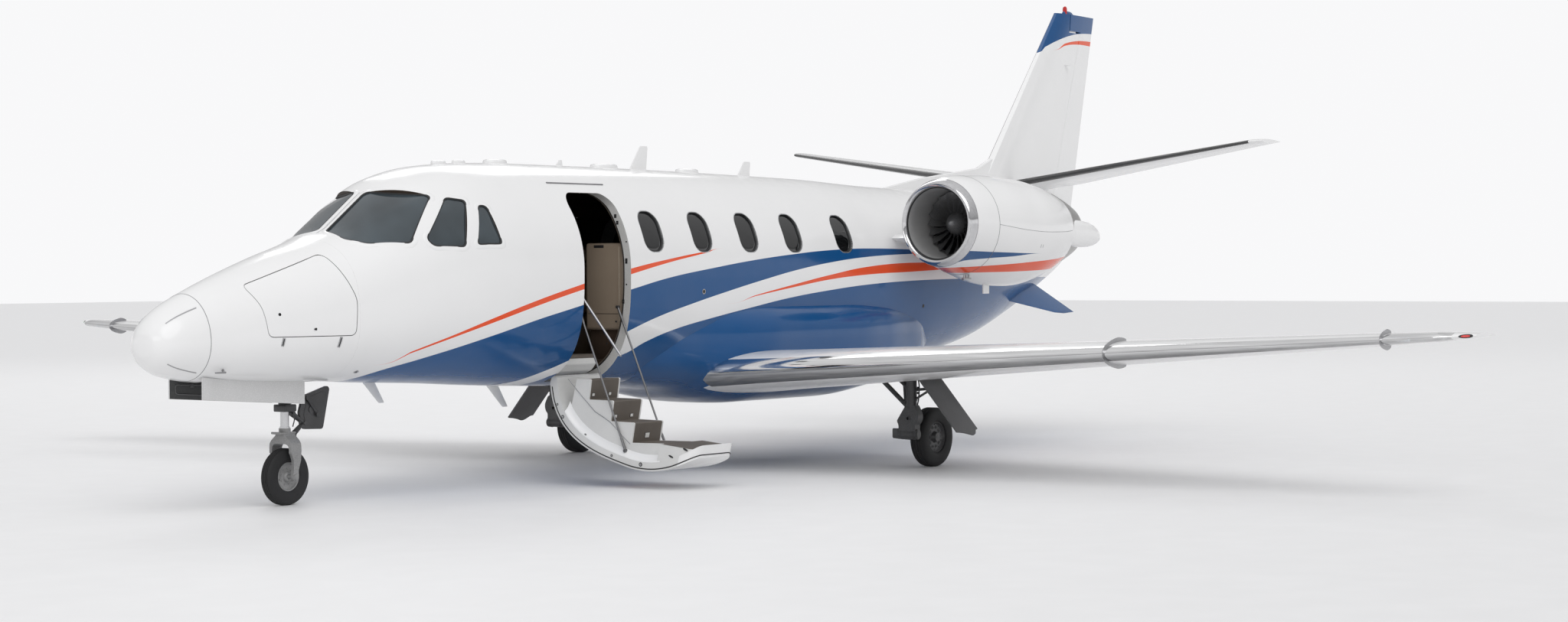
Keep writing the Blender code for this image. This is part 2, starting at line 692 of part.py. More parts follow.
def fairing_solid(name, grow=0.0, material=None):
    rings = []
    for x, half, bottom in FAIRING:
        ring = []
        for i in range(40):
            t = 2 * math.pi * (i + 0.5) / 40
            c, s = math.cos(t), math.sin(t)
            reach = (FAIRING_TOP if s > 0 else 2 * FAIRING_MIDDLE - bottom) - FAIRING_MIDDLE + grow
            ring.append((x + (grow if x > 0 else -grow), (half + grow) * math.copysign(abs(c) ** (2 / 3), c),
                         FAIRING_MIDDLE + reach * math.copysign(abs(s) ** (2 / 3), s)))
        rings.append(ring)
    return loft(name, rings, material)


def wing_station(row, grow):
    y, lead, trail, thickness = row
    z = WING_Z + DIHEDRAL * y
    drop = INCIDENCE * (1 - y / WING_STATIONS[-1][0]) * (lead - trail)
    outline = airfoil((lead + grow, z), (trail - grow, z - drop), thickness + 2 * grow / (lead - trail), 0.008)
    return [Vector((x, y, up)) for x, up in outline]


def wing_section(y, grow=0.0):
    """The wing's section at y, on the straight lines between its stations."""
    for low, high in zip(WING_STATIONS, WING_STATIONS[1:]):
        if y <= high[0] or high is WING_STATIONS[-1]:
            share = (y - low[0]) / (high[0] - low[0])
            return [a.lerp(b, share) for a, b in zip(wing_station(low, grow), wing_station(high, grow))]


def wing_solid(name, grow=0.0, material=None, low_y=0.55):
    stations = [row[0] for row in WING_STATIONS if row[0] > low_y + 0.01]
    return loft(name, [wing_section(y, grow) for y in (low_y, *stations)], material)


def surface_hinge(section, y, share):
    """Middle of a section at a share of its chord, and half its thickness there."""
    points = section(y)
    count = len(points) // 2
    x = points[count][0] + (points[0][0] - points[count][0]) * share

    def height(side):
        for a, b in zip(side, side[1:]):
            if (a[0] - x) * (b[0] - x) <= 0:
                return a[2] + (b[2] - a[2]) * (x - a[0]) / (b[0] - a[0])

    top, bottom = height(points[: count + 1]), height(points[count:])
    return (x, y, (top + bottom) / 2), (top - bottom) / 2 * 0.99


def control(name, parent, section, ends, share, material):
    """Cut a moving surface out of its parent along a hinge line at a share of the chord."""
    (start, r0), (end, r1) = surface_hinge(section, ends[0], share), surface_hinge(section, ends[1], share)
    piece = parent.copy()
    piece.data = parent.data.copy()
    piece.name = name
    piece.data.name = name
    bpy.context.scene.collection.objects.link(piece)
    common(piece, hinge_block("moving", start, end, (r0, r1)))
    piece.data.materials.clear()
    piece.data.materials.append(material)
    cut(parent, hinge_block("space", start, end, (r0, r1), CONTROL_GAP, CONTROL_GAP))
    start, end = Vector(start), Vector(end)
    along = (end - start).normalized()
    join(parent, tube("pin", start - along * 0.05, start - along * SEAT_GAP, 0.008, None, 10),
         tube("pin", end + along * SEAT_GAP, end + along * 0.05, 0.008, None, 10))
    return piece


def wings():
    fairing = fairing_solid("belly_fairing", 0.0, white)
    cut(fairing, hull("body", -3.2, 2.8, -SEAT_GAP))
    wing = wing_solid("wing_left", 0.0, white)
    cut(wing, fairing_solid("fairing", SEAT_GAP), hull("body", -3.2, 2.8, -SEAT_GAP))
    pieces = [wing]
    pieces.append(control("flap_left", wing, wing_section, FLAP_Y, FLAP_HINGE, white))
    pieces.append(control("aileron_left", wing, wing_section, AILERON_Y, AILERON_HINGE, white))
    edge = [between(WING_STATIONS, y) for y in (0.80, 1.30, 7.85)]
    line = [(row[0] - SLAT_SHARE * (row[0] - row[1]), y) for row, y in zip(edge, (0.80, 1.30, 7.85))]
    outline = [(2.2, 0.80), *line, (2.2, 7.85)]
    slat = wing.copy()
    slat.data = wing.data.copy()
    slat.name = "wing_edge_left"
    bpy.context.scene.collection.objects.link(slat)
    common(slat, prism("edge", outline, 0.5, 2.0, "z"))
    slat.data.materials.clear()
    slat.data.materials.append(chrome)
    wide = [(2.3, 0.70), (line[0][0] - SEAT_GAP, 0.70), *[(x - SEAT_GAP, y) for x, y in line[1:]]]
    wide[-1] = (wide[-1][0], 7.85 + SEAT_GAP)
    cut(wing, prism("edge", [*wide, (2.3, 7.85 + SEAT_GAP)], 0.4, 2.1, "z"))
    pieces.append(slat)
    for piece in pieces:
        mirrored(piece, piece.name.replace("left", "right"))


# Tail: the cone behind the cabin with its strakes, the fin and rudder, the tailplane and elevators

FIN_HOLLOW = [(0.07, 0.032), (0.25, 0.048), (0.45, 0.045), (0.64, 0.034)]
FIN_HOLLOW_TOP = 4.70
FIN_SKIN = 0.010
STRAKE = [(-4.41, 1.64), (-5.649, 1.831), (-5.916, 1.463), (-5.458, 1.443)]
DORSAL = [(-2.45, 2.80, 0.03, 0.012), (-3.756, 3.017, 0.06, 0.016), (-4.997, 3.164, 0.10, 0.03),
          (-5.60, 3.40, 0.11, 0.03)]


def tail_cone():
    body = shell("tail_cone", -7.20, CABIN_BACK_X - SEAT_GAP, 0.022, white, 0.0, 0.04)
    for side in (1, -1):
        rings = []
        for y, front, back, height in ((0.40, -4.35, -5.62, 1.78), (0.80, -5.458, -5.916, 1.455)):
            middle = (front + back) / 2
            rings.append([(front, side * y, height + (0.0 if y > 0.6 else -0.09)),
                          (middle, side * (y + 0.008), height + 0.012), (back, side * y, height + (0.0 if y > 0.6 else 0.03)),
                          (middle, side * (y - 0.008), height - 0.012)])
        strake = loft("strake", rings)
        cut(strake, hull("inside", -6.4, -3.6, 0.011))
        join(body, strake)
    low = RUDDER_Z[0]
    join(body, tube("pin", (rudder_x(low - 0.05), 0, low - 0.05), (rudder_x(low - 0.0006), 0, low - 0.0006), 0.014,
                    None, 10, 0.002))


def fin_section(z):
    lead = FIN_LEADING[0] + FIN_LEADING[1] * z
    trail = FIN_TRAILING[0] + FIN_TRAILING[1] * z
    return [(x, y, z) for x, y in airfoil((lead, 0.0), (trail, 0.0), 0.10)]


def fin_hollow(z):
    """The space between the fin's skins, ahead of the rudder's hinge."""
    lead = FIN_LEADING[0] + FIN_LEADING[1] * z
    chord = lead - FIN_TRAILING[0] - FIN_TRAILING[1] * z
    upper = [(lead - chord * share, chord * half - FIN_SKIN) for share, half in FIN_HOLLOW]
    return [(x, y, z) for x, y in upper] + [(x, -y, z) for x, y in reversed(upper)]


def rudder_x(z):
    return RUDDER_HINGE[0] + RUDDER_HINGE[1] * z


def fin_and_rudder():
    fin = loft("fin", [fin_section(2.60), fin_section(FIN_TOP_Z)], white)
    half = []
    for z in (2.3, 5.3):
        ring = fin_section(z)
        x = rudder_x(z)
        half += [abs(a[1] + (b[1] - a[1]) * (x - a[0]) / (b[0] - a[0]))
                 for a, b in zip(ring[:11], ring[1:11]) if (a[0] - x) * (b[0] - x) <= 0][:1]
    radii = [h * 0.99 for h in half]
    ends = ((rudder_x(2.3), 0, 2.3), (rudder_x(5.3), 0, 5.3))
    low, high = RUDDER_Z
    moving = hinge_block("moving", *ends, radii, 0.0, 0.0, 1.2, 0.4, (0, 1, 0))
    common(moving, box("span", (-9, -0.35, low), (-6, 0.35, high)))
    join(moving, prism("horn", [(-7.16, high - 0.01), (-7.23, 5.4), (-8.5, 5.4), (-8.5, high - 0.01)], -0.3, 0.3, "y"))
    rudder = fin.copy()
    rudder.data = fin.data.copy()
    rudder.name = "rudder"
    bpy.context.scene.collection.objects.link(rudder)
    common(rudder, moving)
    cut(rudder, box("low", (-9, -0.5, 2.0), (-5, 0.5, low)))
    space = hinge_block("space", *ends, radii, CONTROL_GAP + 0.002, 0.0, 1.2, 0.4, (0, 1, 0))
    common(space, box("span", (-9, -0.35, 2.2), (-6, 0.35, high + 0.02)))
    gap = 0.02
    join(space, prism("horn", [(-7.16 + gap, high - 0.01 - gap), (-7.23 + gap, 5.4), (-8.5, 5.4),
                               (-8.5, high - 0.01 - gap)], -0.3, 0.3, "y"))
    cut(fin, space)
    rings = [[(x, -base, 2.6), (x, base, 2.6), (x, ridge, top - 0.01), (x, 0.3 * ridge, top), (x, -0.3 * ridge, top),
              (x, -ridge, top - 0.01)] for x, top, base, ridge in DORSAL]
    join(fin, loft("dorsal", rings))
    cut(fin, loft("hollow", [fin_hollow(2.30), fin_hollow(FIN_HOLLOW_TOP)]))
    cut(fin, hull("body", -7.3, -2.0, -SEAT_GAP))
    beacon = [(5.10, 0.028), (5.20, 0.028), (5.222, 0.020), (HEIGHT, 0.008)]
    join(fin, loft("beacon", [[(-7.12 + r * math.cos(t), r * math.sin(t), z) for t in
                              [2 * math.pi * i / 10 for i in range(10)]] for z, r in beacon]))


def tail_section(y, grow=0.0):
    lead, trail = between(TAIL_STATIONS, y)
    z = TAIL_Z[0] + TAIL_Z[1] * y
    return [(x, y, up) for x, up in airfoil((lead + grow, z), (trail - grow, z), 0.09)]


def fin_blank(grow):
    rings = []
    for z in (2.60, FIN_TOP_Z):
        rings.append([(x + (grow if x > -6 else 0), y + math.copysign(grow, y) if abs(y) > 1e-9 else y, z)
                      for x, y, z in fin_section(z)])
    return loft("fin_blank", rings)


def tailplanes():
    plane = loft("tailplane_left", [tail_section(row[0]) for row in TAIL_STATIONS], white)
    cut(plane, fin_blank(SEAT_GAP))
    hinge = []
    for y in ELEVATOR_Y:
        lead, trail = between(TAIL_STATIONS, y)
        hinge.append((TAIL_HINGE[0] + TAIL_HINGE[1] * y - lead) / (trail - lead))
    (start, r0), (end, r1) = (surface_hinge(tail_section, y, share) for y, share in zip(ELEVATOR_Y, hinge))
    elevator = plane.copy()
    elevator.data = plane.data.copy()
    elevator.name = "elevator_left"
    bpy.context.scene.collection.objects.link(elevator)
    common(elevator, hinge_block("moving", start, end, (r0, r1)))
    inner = Vector(start) - (Vector(end) - Vector(start)).normalized() * 0.5
    radius = r0 + (r0 - r1) / (ELEVATOR_Y[1] - ELEVATOR_Y[0]) * 0.5
    cut(plane, hinge_block("space", inner, end, (radius, r1), CONTROL_GAP, CONTROL_GAP))
    along = (Vector(end) - Vector(start)).normalized()
    join(plane, tube("pin", Vector(end) + along * SEAT_GAP, Vector(end) + along * 0.04, 0.006, None, 10))
    line = []
    for y in (0.0, 3.17):
        lead, trail = between(TAIL_STATIONS, y)
        line.append((lead - 0.06 * (lead - trail), y))
    boot = plane.copy()
    boot.data = plane.data.copy()
    boot.name = "tailplane_boot_left"
    bpy.context.scene.collection.objects.link(boot)
    common(boot, prism("edge", [(-5.0, 0.0), *line, (-5.0, 3.17)], 2.5, 4.0, "z"))
    boot.data.materials.clear()
    boot.data.materials.append(rubber)
    wide = [(-4.9, -0.1), (line[0][0] - SEAT_GAP, -0.1), (line[1][0] - SEAT_GAP, 3.17 + SEAT_GAP),
            (-4.9, 3.17 + SEAT_GAP)]
    cut(plane, prism("edge", wide, 2.4, 4.1, "z"))
    for piece in (plane, elevator, boot):
        mirrored(piece, piece.name.replace("left", "right"))


# Engines: cowl, engine, fan, thrust reverser and pylon

def engines():
    cowl = loft("nacelle_left", ellipse_rings(COWL, ENGINE_Y), white)
    cut(cowl, loft("duct", ellipse_rings(DUCT, ENGINE_Y)), loft("space", ellipse_rings(COWL_SPACE, ENGINE_Y, 0.0, 14)))
    inner = [(x, *between(DUCT, x)) for x in (-3.72, -2.12)]
    engine = loft("engine_left", ellipse_rings(inner, ENGINE_Y, -SEAT_GAP), steel)
    plug = [(-3.70, 2.412, 0.24, 0.24), (-3.95, 2.405, 0.17, 0.17), (-4.12, 2.40, 0.06, 0.06)]
    join(engine, loft("plug", ellipse_rings(plug, ENGINE_Y, 0.0, 20)),
         tube("shaft", (-2.085 - SEAT_GAP, ENGINE_Y, INLET_Z), (-2.2, ENGINE_Y, INLET_Z), 0.06, None, 12))
    hub = [(-1.86, INLET_Z, 0.010, 0.010), (-1.90, INLET_Z, 0.055, 0.055), (-1.96, INLET_Z, 0.095, 0.095),
           (-2.085, INLET_Z, 0.120, 0.120)]
    fan = loft("fan_left", ellipse_rings(hub, ENGINE_Y, 0.0, 24), steel)
    for i in range(FAN_BLADES):
        turn = 2 * math.pi * i / FAN_BLADES
        out = Vector((0, math.cos(turn), math.sin(turn)))
        round_ = Vector((0, -math.sin(turn), math.cos(turn)))
        middle = Vector(((FAN_X[0] + FAN_X[1]) / 2, ENGINE_Y, INLET_Z))
        rings = []
        for r, chord, thick in ((0.080, 0.060, 0.009), (FAN_RADIUS, 0.095, 0.006)):
            lean = math.radians(30)
            along = Vector((1, 0, 0)) * math.cos(lean) + round_ * math.sin(lean)
            across = Vector((1, 0, 0)) * -math.sin(lean) + round_ * math.cos(lean)
            centre = middle + out * r
            rings.append([centre + along * chord / 2, centre + across * thick / 2, centre - along * chord / 2,
                          centre - across * thick / 2])
        join(fan, loft("blade", rings))
    profile = [(-3.7503, 0.43), (-3.95, 0.385), (-4.20, 0.31), (-4.20, 0.285), (-3.7503, 0.345)]
    reverser = turned("reverser_left", profile, (0, ENGINE_Y, 2.405), steel, 28, "x")
    for side in (1, -1):
        fairing = [(-3.7503, 2.36, 0.13, 0.05), (-3.90, 2.35, 0.15, 0.07), (-4.20, 2.34, 0.13, 0.06),
                   (-4.40, 2.33, 0.08, 0.04), (-4.47, 2.33, 0.04, 0.02)]
        join(reverser, loft("stang", ellipse_rings(fairing, ENGINE_Y + side * 0.36, 0.0, 12)))
    outline = airfoil((-1.80, 2.31), (-3.70, 2.31), 0.065, 0.0, 8)
    pylon = loft("pylon_left", [[(x, y, z) for x, z in outline] for y in (0.70, 1.35)], white)
    cut(pylon, loft("cowl", ellipse_rings([(-1.5, 2.46, 0.40, 0.40), *COWL, (-3.9, 2.40, 0.43, 0.45)], ENGINE_Y, SEAT_GAP)),
        hull("body", -4.3, -0.9, -SEAT_GAP))
    for piece in (cowl, engine, fan, reverser, pylon):
        mirrored(piece, piece.name.replace("left", "right"))


# Landing gear

def wheel_pair(tyre_name, wheel_name, x, y, size, hub, side=1):
    outer, inner, width = size
    z = outer * math.cos(math.pi / WHEEL_POINTS)
    half = width / 2
    tyre = [(-half * 0.72, inner), (-half * 0.95, inner + 0.03), (-half, (inner + outer) / 2),
            (-half * 0.80, outer - 0.026), (-half * 0.40, outer), (half * 0.40, outer), (half * 0.80, outer - 0.026),
            (half, (inner + outer) / 2), (half * 0.95, inner + 0.03), (half * 0.72, inner)]
    turned(tyre_name, tyre, (x, y, z), rubber, WHEEL_POINTS)
    rim = inner - SEAT_GAP
    wheel = [(-half * 0.85, hub), (-half * 0.85, hub + 0.022), (-half * 0.2, rim - 0.03),
             (-half * 0.70, rim - 0.012), (-half * 0.70, rim), (half * 0.70, rim), (half * 0.70, rim - 0.012),
             (half * 0.35, rim - 0.03), (half * 0.85, hub + 0.022), (half * 0.85, hub)]
    wheel = [(side * a, r) for a, r in wheel]
    turned(wheel_name, wheel, (x, y, z), light_grey, WHEEL_POINTS)
    return z


def main_gear():
    z = wheel_pair("main_tyre_left", "main_wheel_left", MAIN_GEAR_X, MAIN_GEAR_Y, MAIN_TYRE, 0.0246)
    wheel_pair("main_tyre_right", "main_wheel_right", MAIN_GEAR_X, -MAIN_GEAR_Y, MAIN_TYRE, 0.0246, -1)
    leg = tube("main_leg_left", (MAIN_LEG_X, 2.265, 1.02), (MAIN_LEG_X, 2.265, 0.50), 0.045, dark_grey, 16)
    join(leg, box("knuckle", (MAIN_LEG_X - 0.055, 2.20, 0.40), (MAIN_LEG_X + 0.065, 2.33, 0.60)),
         tube("pivot", (MAIN_LEG_X, 2.07, 0.385), (MAIN_LEG_X, 2.37, 0.385), 0.050, None, 16))
    arm = [(MAIN_LEG_X + 0.035, 0.435), (MAIN_LEG_X + 0.035, 0.345), (MAIN_GEAR_X - 0.045, z - 0.045),
           (MAIN_GEAR_X - 0.055, z + 0.035), (MAIN_GEAR_X + 0.1, z + 0.085)]
    join(leg, prism("arm", arm, 2.085, 2.145, "y"),
         tube("axle", (MAIN_GEAR_X, 2.10, z), (MAIN_GEAR_X, 2.325, z), 0.024, None, 14),
         tube("shock", (-0.25, 2.115, 0.33), (-0.045, 2.20, 1.02), 0.030, None, 12),
         tube("brace", (MAIN_LEG_X, 2.24, 0.62), (MAIN_LEG_X - 0.02, 1.72, 1.05), 0.024, None, 10),
         tube("link", (MAIN_LEG_X, 2.28, 0.66), (-0.08, 2.50, 0.80), 0.012, None, 8))
    slope = Vector((0, 2.89 - 2.47, 0.36 - 0.85)).normalized()
    across = slope.cross(Vector((1, 0, 0))).normalized() * 0.007
    corners = [Vector(p) for p in ((0.07, 2.43, 0.897), (-0.33, 2.43, 0.897), (-0.33, 2.87, 0.384), (-0.28, 2.90, 0.349),
                                   (-0.13, 2.87, 0.384), (-0.02, 2.90, 0.349), (0.07, 2.88, 0.372))]
    join(leg, loft("door", [[p - across for p in corners], [p + across for p in corners]]))
    cut(leg, wing_solid("wing", SEAT_GAP, None, 1.30))
    common(leg, box("below", (-1.0, 1.5, 0.0), (0.6, 3.1, 0.99)))
    mirrored(leg, "main_leg_right")


def nose_gear():
    z = wheel_pair("nose_tyre", "nose_wheel", NOSE_GEAR_X, 0.0, NOSE_TYRE, 0.0186)
    x = NOSE_GEAR_X
    leg = tube("nose_leg", (x, 0, 0.655 + SEAT_GAP), (x, 0, BAY_ROOF_Z - SEAT_GAP), 0.045, light_grey, 16)
    join(leg, tube("brace", (x, 0, 0.93), (x + 0.48, 0, 1.45), 0.024, None, 10),
         box("trunnion", (x - 0.04, -0.10, 1.16), (x + 0.04, 0.10, 1.24)))
    plate = [(5.735, 0.975), (5.760, 0.999), (6.02, 0.800), (6.25, 0.800), (6.25, 0.690), (6.14, 0.640), (5.945, 0.630)]
    join(leg, prism("plate", plate, -0.012, 0.012, "y"))
    cut(leg, hull("body", 5.4, 6.06, -0.006), box("above", (x - 0.6, -0.2, BAY_ROOF_Z - SEAT_GAP), (x + 0.8, 0.2, 1.7)))
    fork = tube("nose_fork", (x, 0, 0.56), (x, 0, 0.655), 0.050, light_grey, 16)
    join(fork, box("crown", (x - 0.04, -0.130, 0.525), (x + 0.04, 0.130, 0.585)),
         box("arm", (x - 0.03, 0.100, z - 0.035), (x + 0.03, 0.126, 0.55)),
         box("arm", (x - 0.03, -0.126, z - 0.035), (x + 0.03, -0.100, 0.55)),
         tube("axle", (x, -0.113, z), (x, 0.113, z), 0.018, None, 12))
    for side, name in ((1, "left"), (-1, "right")):
        door = prism("nose_gear_door_" + name, [(6.22, 1.30), (7.26, 1.30), (7.26, 0.945), (6.22, 0.865)], 0.186, 0.198, "y", white)
        if side < 0:
            door.data.transform(Matrix.Translation((0, -0.384, 0)))
        cut(door, hull("body", 5.9, RADOME_X, -SEAT_GAP))


nose()
cabin()
interior()
airstair()
wings()
tail_cone()
fin_and_rudder()
tailplanes()
engines()
main_gear()
nose_gear()
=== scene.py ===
"""Looks of a parked twin-engined business jet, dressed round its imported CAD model.

Metres. +X is forward, +Y is port, +Z is up, and the origin is on the ground.
"""

import functools
import math

import bmesh
import bpy
from mathutils import Matrix, Vector
from mathutils.bvhtree import BVHTree


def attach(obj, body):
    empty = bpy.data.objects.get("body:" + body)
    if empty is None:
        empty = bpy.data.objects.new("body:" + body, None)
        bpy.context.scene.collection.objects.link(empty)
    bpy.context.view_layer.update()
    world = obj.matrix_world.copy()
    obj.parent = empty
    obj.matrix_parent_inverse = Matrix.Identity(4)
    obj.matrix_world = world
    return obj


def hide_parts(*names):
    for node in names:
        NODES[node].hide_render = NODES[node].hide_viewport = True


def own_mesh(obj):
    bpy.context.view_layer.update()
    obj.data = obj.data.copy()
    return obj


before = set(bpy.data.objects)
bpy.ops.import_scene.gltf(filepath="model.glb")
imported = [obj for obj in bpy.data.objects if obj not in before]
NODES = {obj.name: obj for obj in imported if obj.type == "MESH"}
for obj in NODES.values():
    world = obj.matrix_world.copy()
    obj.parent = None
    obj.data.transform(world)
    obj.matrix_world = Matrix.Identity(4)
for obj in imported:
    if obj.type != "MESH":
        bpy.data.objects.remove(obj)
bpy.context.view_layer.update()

bl_info = {
    "name": "Business jet looks",
    "version": (1, 0, 0),
    "blender": (4, 5, 0),
    "location": "View3D > Sidebar > Jet",
    "description": "Dresses a business jet: painted skin, windows, engines, airstair, gear and cabin",
    "category": "Object",
}

SIDES = ((1, "left"), (-1, "right"))

# Fuselage stations: x, half width, top, bottom, height of the widest point, lower and upper roundness
STATIONS = [
    (7.84, 0.000, 1.405, 1.405, 1.405, 2.0, 2.0),
    (7.82, 0.115, 1.498, 1.298, 1.400, 2.0, 2.0),
    (7.74, 0.222, 1.612, 1.190, 1.400, 2.0, 2.0),
    (7.60, 0.287, 1.716, 1.129, 1.405, 2.0, 2.0),
    (7.36, 0.349, 1.829, 1.088, 1.420, 2.1, 2.0),
    (7.00, 0.432, 1.966, 1.062, 1.450, 2.2, 2.1),
    (6.50, 0.545, 2.128, 1.050, 1.510, 2.3, 2.25),
    (6.02, 0.655, 2.263, 1.045, 1.590, 2.4, 2.42),
    (5.80, 0.705, 2.345, 1.035, 1.640, 2.4, 2.55),
    (5.55, 0.760, 2.522, 1.020, 1.700, 2.5, 2.42),
    (5.30, 0.810, 2.697, 1.008, 1.760, 2.5, 2.32),
    (5.00, 0.860, 2.837, 0.995, 1.830, 2.6, 2.36),
    (4.60, 0.910, 2.930, 0.975, 1.910, 2.7, 2.30),
    (4.10, 0.945, 2.970, 0.942, 1.970, 2.8, 2.12),
    (3.50, 0.960, 2.985, 0.912, 2.000, 2.9, 2.0),
    (2.60, 0.960, 2.985, 0.890, 2.000, 2.9, 2.0),
    (-1.00, 0.960, 2.950, 0.890, 2.000, 2.9, 2.0),
    (-2.35, 0.945, 2.900, 0.905, 2.000, 2.7, 2.0),
    (-3.20, 0.900, 2.880, 0.985, 2.020, 2.4, 2.0),
    (-4.20, 0.790, 2.850, 1.130, 2.070, 2.2, 2.0),
    (-5.20, 0.620, 2.800, 1.410, 2.150, 2.1, 2.0),
    (-6.00, 0.440, 2.740, 1.690, 2.240, 2.0, 2.0),
    (-6.70, 0.260, 2.660, 1.960, 2.320, 2.0, 2.0),
    (-7.20, 0.090, 2.560, 2.230, 2.400, 2.0, 2.0),
]
RADOME_X = 7.405
CABIN_FRONT_X = 6.02
CABIN_BACK_X = -2.35
WALL = 0.08
NOSE_WALL = 0.03
TAIL_WALL = 0.022
HAIR = 0.0003
MOVING_GAP = 0.006

WINDOWS = {1: [2.35, 1.585, 0.82, 0.055, -0.863], -1: [3.115, 2.35, 1.585, 0.82, 0.055, -0.863]}
WINDOW_SIZE = (0.31, 0.40, 0.13)
WINDOW_Z = 2.35
PANES = {
    "windshield": [(5.336, 0.055, 2.675), (5.042, 0.565, 2.640), (5.431, 0.692, 2.223),
                   (5.771, 0.508, 2.221), (5.883, 0.337, 2.261), (5.821, 0.055, 2.335)],
    "side_window": [(4.926, 0.621, 2.632), (4.740, 0.695, 2.607), (4.902, 0.844, 2.194),
                    (5.229, 0.767, 2.201), (5.280, 0.726, 2.267)],
    "rear_window": [(4.633, 0.743, 2.567), (4.539, 0.758, 2.562), (4.477, 0.896, 2.222),
                    (4.772, 0.862, 2.215)],
}
DOOR_X = (2.75, 3.42)
DOOR_Z = (0.96, 2.70)
DOOR_CORNER = 0.14
DOOR_HINGE = (0.500, 0.925)
DOOR_OPEN = math.radians(105)
DOOR_INNER_Y = 0.40
BAGGAGE = [(6.06, 1.449), (6.88, 1.449), (6.915, 1.70), (6.995, 1.87), (6.18, 2.135), (6.045, 1.75)]
BAGGAGE_THICK = 0.022
BAY_HALF = 0.17
BAY_X = (6.06, 7.28)
BAY_ROOF_Z = 1.36

FAIRING = [
    (2.35, 0.70, 0.95), (1.90, 0.86, 0.865), (1.50, 0.93, 0.80), (1.00, 1.04, 0.69), (0.50, 1.10, 0.63),
    (-0.93, 1.10, 0.63), (-1.55, 1.04, 0.68), (-2.03, 0.95, 0.76), (-2.45, 0.86, 0.87), (-2.80, 0.70, 1.02),
]
FAIRING_MIDDLE = 1.25
FAIRING_TOP = 1.75

# Wing stations: y, leading edge x, trailing edge x, thickness share
WING_STATIONS = [
    (0.55, 1.500, -1.671, 0.140),
    (1.30, 1.370, -1.467, 0.138),
    (7.85, 1.216, 0.310, 0.120),
    (8.30, 1.190, 0.432, 0.110),
    (8.585, 0.950, 0.500, 0.080),
]
WING_Z = 0.922
DIHEDRAL = 0.056
INCIDENCE = 0.035
FLAP_Y = (1.34, 4.95)
AILERON_Y = (5.15, 7.80)
FLAP_HINGE = 0.76
AILERON_HINGE = 0.75
CONTROL_GAP = 0.008
EDGE_SHARE = 0.055

ENGINE_Y = 1.58
INLET_Z = 2.46
COWL = [
    (-1.600, 2.460, 0.412, 0.412), (-1.610, 2.460, 0.428, 0.428), (-1.640, 2.461, 0.445, 0.445),
    (-1.700, 2.465, 0.462, 0.462), (-1.800, 2.470, 0.485, 0.483), (-2.100, 2.440, 0.535, 0.530),
    (-2.600, 2.390, 0.590, 0.570), (-3.000, 2.375, 0.585, 0.570), (-3.400, 2.380, 0.530, 0.530),
    (-3.750, 2.400, 0.430, 0.450),
]
DUCT = [
    (-1.600, 2.460, 0.402, 0.402), (-1.615, 2.460, 0.388, 0.388), (-1.650, 2.460, 0.372, 0.372),
    (-1.720, 2.460, 0.362, 0.362), (-2.120, 2.460, 0.360, 0.360), (-2.300, 2.455, 0.358, 0.358),
]
LIP_X = -1.705
FAN_RADIUS = 0.348
FAN_BLADES = 20


# Paint edges as x and height: the blue belly, the blue sweep above it, and the two orange stripes
BLUE_TOP = [(5.95, 0.90), (5.754, 1.06), (5.616, 1.133), (5.294, 1.221), (4.932, 1.316), (4.506, 1.426),
            (4.005, 1.55),
            (3.542, 1.646), (2.722, 1.807), (2.117, 1.917), (1.445, 2.003), (0.835, 2.072), (0.143, 2.133),
            (-0.577, 2.18), (-1.325, 2.199), (-1.79, 2.197), (-2.5, 2.18), (-3.3, 2.15)]
BLUE_LOW = [(4.00, 0.86), (3.889, 0.94), (3.806, 0.985), (3.712, 1.035), (3.598, 1.086), (3.20, 1.245),
            (2.744, 1.405),
            (2.293, 1.543), (1.773, 1.661), (1.188, 1.778), (0.614, 1.883), (0.018, 1.981), (-0.55, 2.052),
            (-1.197, 2.107), (-1.931, 2.138), (-2.6, 2.147), (-3.3, 2.15)]
BELLY_TOP = [(3.62, 0.84), (3.57, 0.93), (3.534, 0.99), (3.40, 1.045), (2.687, 1.19), (2.408, 1.307),
             (1.972, 1.424),
             (1.411, 1.52), (0.818, 1.607), (0.149, 1.698), (-0.55, 1.767), (-1.288, 1.821), (-2.07, 1.852),
             (-2.867, 1.867), (-4.5, 1.872), (-7.3, 1.875)]
ORANGE_TOP = [(5.737, 1.183), (5.426, 1.294), (5.04, 1.422), (4.568, 1.575), (4.096, 1.709), (3.532, 1.841),
              (2.696, 2.007), (2.111, 2.094), (1.556, 2.163), (1.29, 2.191)]
ORANGE_LOW = [(5.737, 1.183), (5.419, 1.281), (5.016, 1.406), (4.538, 1.541), (4.023, 1.677), (3.532, 1.79),
              (2.696, 1.955), (2.115, 2.063), (1.555, 2.149), (1.29, 2.191)]
AFT_ORANGE_TOP = [(1.23, 1.649), (0.743, 1.731), (0.16, 1.821), (-0.548, 1.924), (-1.291, 2.01),
                  (-2.073, 2.048),
                  (-3.0, 2.05), (-4.2, 2.02)]
AFT_ORANGE_LOW = [(1.23, 1.649), (0.742, 1.721), (0.067, 1.807), (-0.596, 1.881), (-1.29, 1.926),
                  (-2.125, 1.951),
                  (-3.0, 1.98), (-4.2, 2.02)]
COWL_BLUE_TOP = [(-1.60, 2.168), (-2.119, 2.155), (-2.911, 2.142)]
COWL_BLUE_LOW = [(-1.60, 2.02), (-1.75, 2.065), (-1.952, 2.085), (-2.346, 2.108), (-2.911, 2.142)]
COWL_ORANGE_TOP = [(-1.60, 1.985), (-1.775, 1.993), (-2.258, 2.02), (-2.80, 2.052), (-3.362, 2.085),
                   (-3.76, 2.11)]
